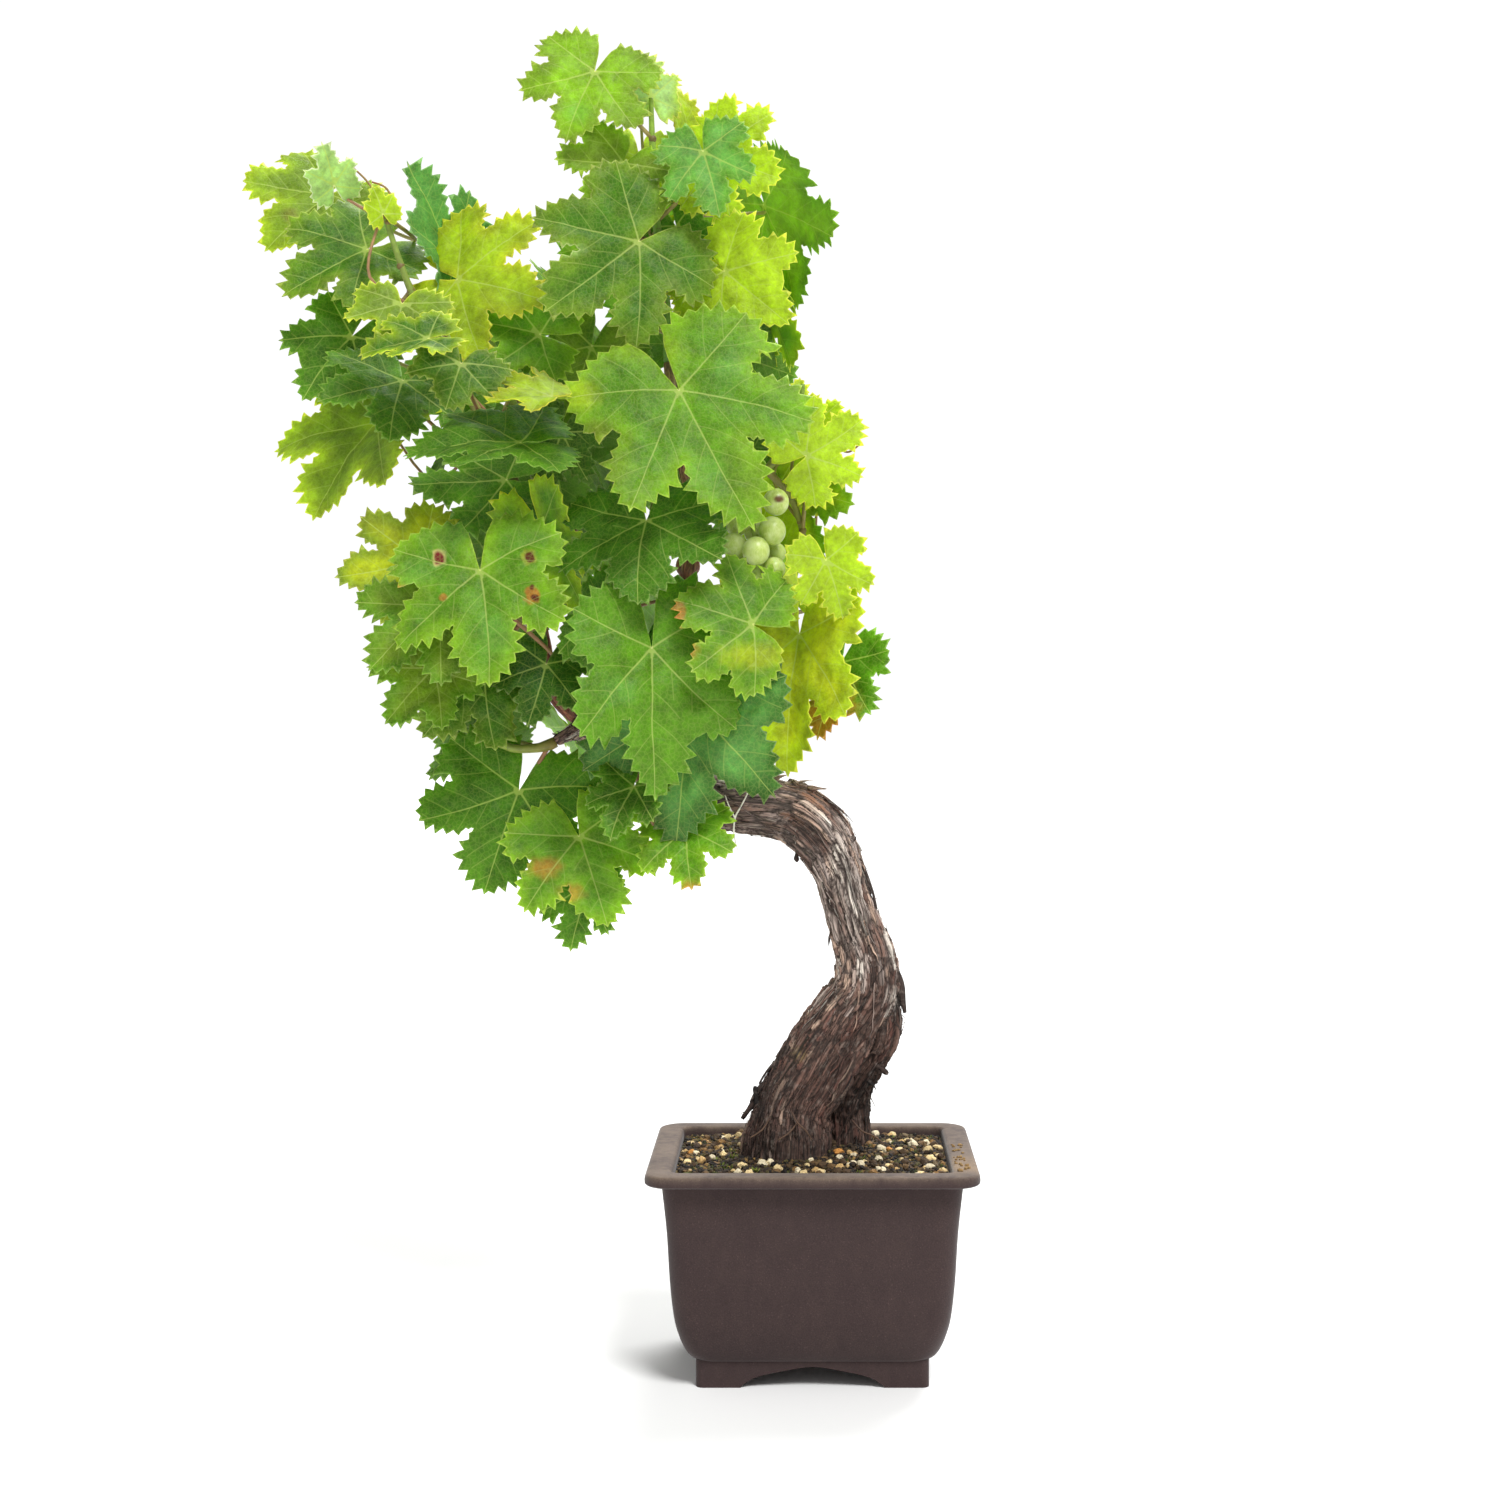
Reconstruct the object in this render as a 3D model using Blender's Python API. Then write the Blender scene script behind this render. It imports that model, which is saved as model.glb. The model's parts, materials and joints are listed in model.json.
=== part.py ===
# Grapevine bonsai in its unglazed stoneware pot, in metres, +Z up, the front towards -Y.
# The plant is laid out as it is seen: a place is a point of the picture and a depth, and
# sight() turns it into a place in space. The origin is under the middle of the whole.

import math
import random

import bmesh
import bpy
from mathutils import Quaternion, Vector
from mathutils.bvhtree import BVHTree
from mathutils.geometry import delaunay_2d_cdt

# The eye, in front of the pot's middle, and the picture that it sees
EYE_DISTANCE = 1.305
EYE_HEIGHT = 0.377
FOCAL = 2465.0
EYE_PX = (812.5, 648.0)
MM = 0.001

# Fitting gap between pieces that touch
GAP = 0.3 * MM

# Pot
POT_HEIGHT = 0.112
RIM_HALF = (0.0850, 0.0730)
MOUTH_HALF = (0.0710, 0.0590)
MOUTH_CORNER = 0.005
RIM_CORNER = 0.014
WALL_CORNER = 0.011
FLOOR_TOP = 0.0200
FLOOR_UNDER = 0.0136
FOOT_CORNER = 0.004
FOOT_HALF = (0.0596, 0.0490)
FOOT_WALL = 0.0095
FOOT_HEIGHT = 0.0140
ARCH_HEIGHT = 0.0108
ARCH_HALF = (0.0355, 0.0240)
DRAIN_HOLE_R = 0.008
DRAIN_HOLE_X = 0.033
# The lip, as height below the top and how far its outer side comes in
LIP_PROFILE = ((0.0060, 0.0012), (0.0048, 0.0), (0.0015, 0.0), (0.0004, 0.0005), (0.0, 0.0017))
# How far the mouth's sides come in by height, from the floor up
MOUTH_PROFILE = ((FLOOR_TOP, 0.0140), (0.0380, 0.0065), (0.1110, 0.0))
MOUTH_FLARE = 0.002
# Half widths of the pot's wall by height, from the underside to below the lip
WALL_PROFILE = ((0.0130, 0.0605), (0.0150, 0.0630), (0.0189, 0.0655), (0.0265, 0.0684),
                (0.0366, 0.0708), (0.0548, 0.0727), (0.0800, 0.0742), (0.1055, 0.0768))

# Drain meshes over the holes
DRAIN_MESH_SIZE = 0.030
DRAIN_MESH_THICK = 0.0009
DRAIN_MESH_CELLS = 3
DRAIN_MESH_OPENING = 0.0062

# Soil: its surface, the mound at the trunk and the relief of its grains
SOIL_TOP = 0.1070
SOIL_MOUND = 0.0055
MOUND_REACH = 0.045
GRAIN_RELIEF = 0.0013
SOIL_CELLS = (15, 12)
GRAIN_JITTER = 0.32
SOIL_CORNER = (0.93, 0.0015)
ROOT_GAP = 0.4 * MM
TRUNK_PLACE = (-0.004, 0.010)

# Leaves: an outline of half a blade, as angle from the tip and radius in blade lengths
LEAF_OUTLINE = ((20, 0.79), (28, 0.53), (37, 0.74), (52, 0.92), (68, 0.78), (79, 0.56),
                (89, 0.73), (111, 0.76), (139, 0.60), (164, 0.42))
YOUNG_OUTLINE = ((19, 0.80), (30, 0.60), (50, 0.90), (75, 0.64), (108, 0.72), (154, 0.48))
MIDRIB_POINT = (0, 0.50)
BLADE_THICK = 0.9 * MM
BLADE_CLEAR = 1.5 * MM
PETIOLE_R = 1.15 * MM
PETIOLE_REACH = 0.045
PETIOLE_SEAT = 0.07
PETIOLE_DROP = 3.5 * MM
NODE_SPACE = 5.0 * MM
STALK_STARTS = 24
STALK_CLEAR = 0.7 * MM
STALK_SHARED = 8.0 * MM
SHARPEST_BEND = -0.15

# How far the front blades are turned about their midribs and tipped to or from the eye
TURN_SPREAD = 14
TIP_SPREAD = 13

# The part of a blade that later ones stay behind
SHOWN_PART = 0.75

# Depth steps that a blade may move by to hang clear of its neighbours
DEPTH_STEPS = (0, 5, 10, 15, -5, 20, 26, -10, 32, 40, -15, 50, -20, 60)
# What is tried in turn: the blade's size, whether it keeps clear of its own shoot's other
# blades too, and whether it stays behind those listed before it
HANG_RULES = ((1.0, True, True), (1.0, False, True), (1.0, True, False), (0.85, True, True),
              (0.85, False, True), (0.85, False, False))
BOWS = ((0.0, 0.0), (0.35, 0.0), (-0.35, 0.0), (0.0, 0.4), (0.0, -0.4), (0.5, 0.5), (-0.5, 0.5),
        (0.5, -0.5), (-0.5, -0.5))


def sight(px, py, depth):
    # The place seen at a picture point, on the upright plane that far behind the middle
    reach = EYE_DISTANCE + depth * MM
    across = (px - EYE_PX[0]) * reach / FOCAL
    return Vector((across, depth * MM, EYE_HEIGHT - (py - EYE_PX[1]) * reach / FOCAL))


def clear_scene():
    for old in list(bpy.data.objects):
        bpy.data.objects.remove(old, do_unlink=True)


def make_material(name, color, roughness):
    material = bpy.data.materials.new(name)
    material.use_nodes = True
    shader = material.node_tree.nodes["Principled BSDF"]
    shader.inputs["Base Color"].default_value = (*color, 1.0)
    shader.inputs["Roughness"].default_value = roughness
    shader.inputs["Metallic"].default_value = 0.0
    material.diffuse_color = (*color, 1.0)
    return material


def add_object(name, bm, home, material=None):
    mesh = bpy.data.meshes.new(name)
    bm.to_mesh(mesh)
    bm.free()
    piece = bpy.data.objects.new(name, mesh)
    home.objects.link(piece)
    if material:
        mesh.materials.append(material)
    return piece


def smooth_route(points, steps):
    # A Catmull-Rom curve through hand-chosen points, whose last value is a radius
    rows = [points[0]] + list(points) + [points[-1]]
    route = []
    for i in range(1, len(rows) - 2):
        before, start, end, after = rows[i - 1:i + 3]
        for k in range(steps):
            t = k / steps
            place = 0.5 * (2 * start[0] + (end[0] - before[0]) * t
                           + (2 * before[0] - 5 * start[0] + 4 * end[0] - after[0]) * t ** 2
                           + (3 * start[0] - before[0] - 3 * end[0] + after[0]) * t ** 3)
            route.append((place, start[1] + (end[1] - start[1]) * t))
    route.append(points[-1])
    return route


def seen_route(points, steps):
    # Picture points with depth and radius in mm
    return smooth_route([(sight(px, py, depth), radius * MM) for px, py, depth, radius in points], steps)


def seated_route(seat, points, radius=None):
    # Face to face with the end of what carries it, straight at first
    (before, wide), (end, thin) = seen_route(seat, 2)[-2:]
    radius = radius or thin
    ahead = (end - before).normalized()
    start = end + ahead * GAP
    bend = start + ahead * STEM_START
    above = [(sight(px, py, depth), thick * MM) for px, py, depth, thick in points]
    return [(start, radius)] + smooth_route([(bend, radius)] + above, 2)


def limb_rings(route, sides, ridge=None, grow=0.0):
    # Rings square to the route, turned as little as possible from one to the next
    steps = [(after[0] - before[0]).normalized() for before, after in zip(route, route[1:])]
    side = Vector((1, 0, 0)) if abs(steps[0].x) < 0.9 else Vector((0, 0, 1))
    rings = []
    for i, (place, radius) in enumerate(route):
        ahead = (steps[max(i - 1, 0)] + steps[min(i, len(steps) - 1)]).normalized()
        side = (side - ahead * side.dot(ahead)).normalized()
        over = ahead.cross(side)
        ring = []
        for k in range(sides):
            angle = 2 * math.pi * k / sides
            reach = radius * (ridge(angle, i / (len(route) - 1)) if ridge else 1.0) + grow
            ring.append(place + side * (reach * math.cos(angle)) + over * (reach * math.sin(angle)))
        rings.append(ring)
    return rings


def loft(rings):
    # A closed skin over rings of like count, with a flat face at each end
    bm = bmesh.new()
    rows = [[bm.verts.new(point) for point in ring] for ring in rings]
    count = len(rows[0])
    for low, high in zip(rows, rows[1:]):
        for i in range(count):
            j = (i + 1) % count
            bm.faces.new((low[i], low[j], high[j], high[i]))
    bm.faces.new(list(reversed(rows[0])))
    bm.faces.new(rows[-1])
    bmesh.ops.triangulate(bm, faces=bm.faces[:])
    return bm


def apply_modifiers(piece):
    bpy.context.view_layer.update()
    deps = bpy.context.evaluated_depsgraph_get()
    mesh = bpy.data.meshes.new_from_object(piece.evaluated_get(deps))
    old = piece.data
    piece.modifiers.clear()
    piece.data = mesh
    mesh.name = piece.name
    bpy.data.meshes.remove(old)


def boolean(piece, others, operation, solver="EXACT"):
    # One cut or union with a collection of pieces, applied, with the pieces then removed
    group = bpy.data.collections.new(piece.name + " operands")
    bpy.context.scene.collection.children.link(group)
    for other in others:
        for home in list(other.users_collection):
            home.objects.unlink(other)
        group.objects.link(other)
        other.hide_render = True
        other.display_type = "WIRE"
    step = piece.modifiers.new(operation.title(), "BOOLEAN")
    step.operation = operation
    step.operand_type = "COLLECTION"
    step.collection = group
    step.solver = solver
    apply_modifiers(piece)
    for other in others:
        bpy.data.objects.remove(other, do_unlink=True)
    bpy.data.collections.remove(group)
    keep_largest(piece)


def keep_largest(piece):
    # A loose scrap or a sealed hollow that a union leaves is dropped
    bm = bmesh.new()
    bm.from_mesh(piece.data)
    left = set(bm.faces)
    bodies = []
    while left:
        front = [left.pop()]
        body = list(front)
        while front:
            for edge in front.pop().edges:
                for face in edge.link_faces:
                    if face in left:
                        left.remove(face)
                        front.append(face)
                        body.append(face)
        bodies.append(body)
    bodies.sort(key=lambda body: sum(face.calc_area() for face in body), reverse=True)
    for body in bodies[1:]:
        bmesh.ops.delete(bm, geom=body, context="FACES")
    bmesh.ops.triangulate(bm, faces=bm.faces[:])
    bm.to_mesh(piece.data)
    bm.free()


def rounded_ring(half_x, half_y, radius, z, arc_steps=3):
    ring = []
    for k, (sign_x, sign_y) in enumerate(((1, 1), (-1, 1), (-1, -1), (1, -1))):
        for i in range(arc_steps + 1):
            angle = math.pi / 2 * (k + i / arc_steps)
            ring.append(Vector((sign_x * (half_x - radius) + radius * math.cos(angle),
                                sign_y * (half_y - radius) + radius * math.sin(angle), z)))
    return ring


def block(size, place):
    bm = bmesh.new()
    bmesh.ops.create_cube(bm, size=1.0)
    bmesh.ops.scale(bm, vec=size, verts=bm.verts[:])
    bmesh.ops.translate(bm, vec=place, verts=bm.verts[:])
    return bm


def round_bar(radius_across, radius_up, length, along_x):
    # A lying bar with an oval section, for the arches between the feet
    bm = bmesh.new()
    bmesh.ops.create_cone(bm, cap_ends=True, segments=20, radius1=1.0, radius2=1.0, depth=length)
    turn = Quaternion((1, 0, 0), math.pi / 2)
    if along_x:
        turn = Quaternion((0, 1, 0), math.pi / 2)
    bmesh.ops.rotate(bm, cent=(0, 0, 0), matrix=turn.to_matrix(), verts=bm.verts[:])
    stretch = (1, radius_across, radius_up) if along_x else (radius_across, 1, radius_up)
    bmesh.ops.scale(bm, vec=stretch, verts=bm.verts[:])
    return bm


def upright_bar(radius, low, high, x):
    bm = bmesh.new()
    bmesh.ops.create_cone(bm, cap_ends=True, segments=14, radius1=radius, radius2=radius,
                          depth=high - low)
    bmesh.ops.translate(bm, vec=(x, 0, (low + high) / 2), verts=bm.verts[:])
    return bm


def mouth_inset(z):
    # How far in the mouth's side is at a height
    for (low, wide), (high, narrow) in zip(MOUTH_PROFILE, MOUTH_PROFILE[1:]):
        if z <= high:
            break
    return wide + (narrow - wide) * (z - low) / (high - low)


def make_pot(home, material):
    depth_less = RIM_HALF[0] - RIM_HALF[1]
    rings = [rounded_ring(half, half - depth_less, WALL_CORNER, z) for z, half in WALL_PROFILE]
    rings += [rounded_ring(RIM_HALF[0] - less, RIM_HALF[1] - less, RIM_CORNER - less, POT_HEIGHT - down)
              for down, less in LIP_PROFILE]
    pot = add_object("pot", loft(rings), home, material)
    foot = add_object("foot ring", loft([rounded_ring(*FOOT_HALF, FOOT_CORNER, 0.0),
                                         rounded_ring(*FOOT_HALF, FOOT_CORNER, FOOT_HEIGHT)]), home)
    boolean(pot, [foot], "UNION")
    pocket = block((2 * (FOOT_HALF[0] - FOOT_WALL), 2 * (FOOT_HALF[1] - FOOT_WALL),
                    2 * FLOOR_UNDER), (0, 0, 0))
    mouth_rings = [rounded_ring(MOUTH_HALF[0] - inset, MOUTH_HALF[1] - inset, MOUTH_CORNER, z)
                   for z, inset in MOUTH_PROFILE]
    mouth_rings.append(rounded_ring(MOUTH_HALF[0] + MOUTH_FLARE, MOUTH_HALF[1] + MOUTH_FLARE,
                                    MOUTH_CORNER + MOUTH_FLARE, POT_HEIGHT + 0.001))
    mouth = loft(mouth_rings)
    cuts = {"pocket": pocket, "mouth": mouth,
            "front arch": round_bar(ARCH_HALF[0], ARCH_HEIGHT, 4 * FOOT_HALF[1], False),
            "side arch": round_bar(ARCH_HALF[1], ARCH_HEIGHT, 4 * FOOT_HALF[0], True)}
    for side in (-1, 1):
        cuts[f"drain hole {side}"] = upright_bar(DRAIN_HOLE_R, FLOOR_UNDER / 2, FLOOR_TOP * 1.2,
                                                 side * DRAIN_HOLE_X)
    boolean(pot, [add_object(name, bm, home) for name, bm in cuts.items()], "DIFFERENCE")
    return pot


def make_drain_mesh(name, side, home, material):
    low = FLOOR_TOP + GAP
    plate = block((DRAIN_MESH_SIZE, DRAIN_MESH_SIZE, DRAIN_MESH_THICK),
                  (side * DRAIN_HOLE_X, 0, low + DRAIN_MESH_THICK / 2))
    sheet = add_object(name, plate, home, material)
    pitch = DRAIN_MESH_SIZE / DRAIN_MESH_CELLS
    cells = []
    for i in range(DRAIN_MESH_CELLS):
        for j in range(DRAIN_MESH_CELLS):
            x = side * DRAIN_HOLE_X + (i - (DRAIN_MESH_CELLS - 1) / 2) * pitch
            y = (j - (DRAIN_MESH_CELLS - 1) / 2) * pitch
            hole = block((DRAIN_MESH_OPENING, DRAIN_MESH_OPENING, 0.01), (x, y, low))
            cells.append(add_object(f"{name} cell {i} {j}", hole, home))
    boolean(sheet, cells, "DIFFERENCE")
    return sheet


# The old wood: picture point, depth and radius in mm, from the root up to the head
TRUNK_ROUTE = ((786, 1205, 0, 18), (788, 1160, 0, 22.5), (790, 1135, 0, 22), (793, 1105, 0, 19.5),
               (810, 1075, 1, 20.5), (826, 1046, 2, 19.8), (845, 1016, 3, 18.0), (864, 988, 3, 16.8),
               (864, 957, 3, 14.8), (856, 930, 3, 13.4), (847, 900, 3, 12.8), (838, 868, 3, 13.8),
               (823, 838, 2, 15.6), (797, 814, 1, 16.2), (765, 805, 0, 15.0), (735, 803, -2, 14.6),
               (703, 797, -3, 13.4), (668, 776, -3, 11.5), (632, 750, -2, 10.6), (598, 728, 0, 10.2),
               (578, 716, 1, 8.6))
# The roots that carry it: a spur to the left, the dark leg on the right and one at the back
ROOT_LEFT_ROUTE = ((788, 1072, 2, 6), (771, 1105, -2, 7), (758, 1140, -3, 8.5), (753, 1175, -3, 7))
ROOT_RIGHT_ROUTE = ((868, 975, 8, 9), (877, 1002, 9, 11.5), (876, 1032, 12, 12.8),
                    (856, 1062, 18, 14.5), (841, 1095, 24, 15.5), (841, 1135, 28, 16),
                    (838, 1185, 28, 13))
ROOT_BACK_ROUTE = ((826, 1050, 14, 10), (804, 1090, 27, 13), (800, 1135, 34, 13), (796, 1180, 35, 9))
# Old pruned spurs on the arm, each a short stub, and the knob on the head
STUBS = (((735, 800, -2, 7), (722, 780, 16, 4.5)), ((640, 757, 0, 7), (655, 785, 8, 5)),
         ((600, 735, 0, 7), (606, 752, -6, 5.5)))
# Peeling strips: how many, half width, length and lift of the tip in mm, thickness, and how
# far out their roots sit in the wood
FLAKES = 10
FLAKE_HALF = (2.2, 3.6)
FLAKE_LONG = (14, 22)
FLAKE_LIFT = (2.5, 4.5)
FLAKE_THICK = 1.6 * MM
FLAKE_SEAT = 0.93
# Canes of last year's wood, above what each is seated on at the head of the arm
CANE_SEATS = {"cane_left": TRUNK_ROUTE, "cane_centre": ((603, 729, 1, 7), (606, 709, 7, 5.6))}
CANE_BASE_R = 4.8 * MM
CANE_ROUTES = {
    "cane_left": ((553, 690, 4, 4.2), (543, 640, 6, 4.0), (530, 585, 6, 3.8),
                  (519, 530, 4, 3.5), (514, 488, 2, 3.1)),
    "cane_centre": ((632, 672, 10, 4.5), (663, 630, 8, 4.4), (684, 588, 4, 4.2),
                    (692, 550, 2, 4.0), (690, 505, 3, 3.8), (682, 450, 6, 3.5), (672, 392, 8, 3.2),
                    (669, 362, 8, 3.0)),
}
# Short side spurs of the canes, each ending flat where a leafy shoot begins
SPURS = {
    "cane_left": (((541, 632, 6, 3.2), (536, 627, -4, 3.2), (528, 622, -11, 2.6)),
                  ((533, 600, 6, 3.2), (540, 592, 15, 3.2), (544, 583, 22, 2.6))),
    "cane_centre": (((680, 596, 5, 3.2), (676, 600, -5, 3.2), (671, 600, -13, 2.6)),
                    ((691, 528, 3, 3.2), (702, 520, 2, 3.2), (714, 512, 0, 2.6)),
                    ((689, 500, 3, 3.2), (690, 492, 12, 3.2), (692, 482, 20, 2.6))),
}
KNOT = (688, 566, 3, 6.5)
TRUNK_SPURS = (((600, 735, 0, 5), (612, 748, -10, 4.4), (622, 757, -18, 2.8)),
               ((590, 722, 0, 6), (572, 733, -4, 4.4), (556, 742, -6, 2.8)))

# Leafy shoots: what each is seated on, and its stem above the seat, as picture point, depth
# and radius in mm
SHOOT_STEMS = {
    "shoot_top": (CANE_ROUTES["cane_centre"],
                  ((667, 320, 6, 2.7), (662, 270, 4, 2.5), (657, 225, 2, 2.2), (654, 180, 2, 1.9),
                   (652, 135, 1, 1.6), (651, 98, 0, 1.2))),
    "shoot_left": (CANE_ROUTES["cane_left"],
                   ((500, 452, 0, 2.7), (474, 405, -2, 2.5), (446, 358, -3, 2.3),
                    (420, 312, -4, 2.0), (400, 262, -5, 1.7), (384, 212, -6, 1.3))),
    "shoot_left_front": (SPURS["cane_left"][0],
                         ((505, 616, -26, 2.4), (480, 606, -34, 2.2), (452, 592, -36, 2.0),
                          (424, 574, -36, 1.6))),
    "shoot_middle": (SPURS["cane_centre"][0],
                     ((655, 588, -26, 2.5), (650, 555, -33, 2.4), (654, 510, -34, 2.2),
                      (664, 462, -34, 2.0), (672, 424, -36, 1.6))),
    "shoot_right": (SPURS["cane_centre"][1],
                    ((740, 492, -3, 2.4), (768, 468, -4, 2.2), (790, 436, -3, 1.9),
                     (800, 405, -2, 1.5), (803, 384, -2, 1.1))),
    "shoot_low": (TRUNK_SPURS[0],
                  ((640, 764, -28, 2.5), (660, 768, -32, 2.2), (676, 778, -33, 1.8))),
    "shoot_low_left": (TRUNK_SPURS[1],
                       ((536, 748, -9, 2.5), (512, 748, -12, 2.2), (488, 738, -14, 1.8))),
    "shoot_back_left": (SPURS["cane_left"][1],
                        ((548, 560, 42, 2.5), (540, 500, 54, 2.4), (522, 430, 58, 2.2),
                         (500, 365, 56, 1.9), (480, 310, 50, 1.5))),
    "shoot_back_right": (SPURS["cane_centre"][2],
                         ((698, 455, 38, 2.5), (704, 400, 48, 2.4), (704, 330, 52, 2.2),
                          (696, 260, 50, 1.9), (690, 205, 44, 1.5))),
}
STEM_START = 3.0 * MM
# A side stem that hangs from the right shoot
SIDE_STEMS = {"shoot_right": (((766, 470, -4, 2.0), (792, 500, 12, 1.8), (808, 556, 17, 1.5),
                               (814, 612, 12, 1.1)),)}

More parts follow.
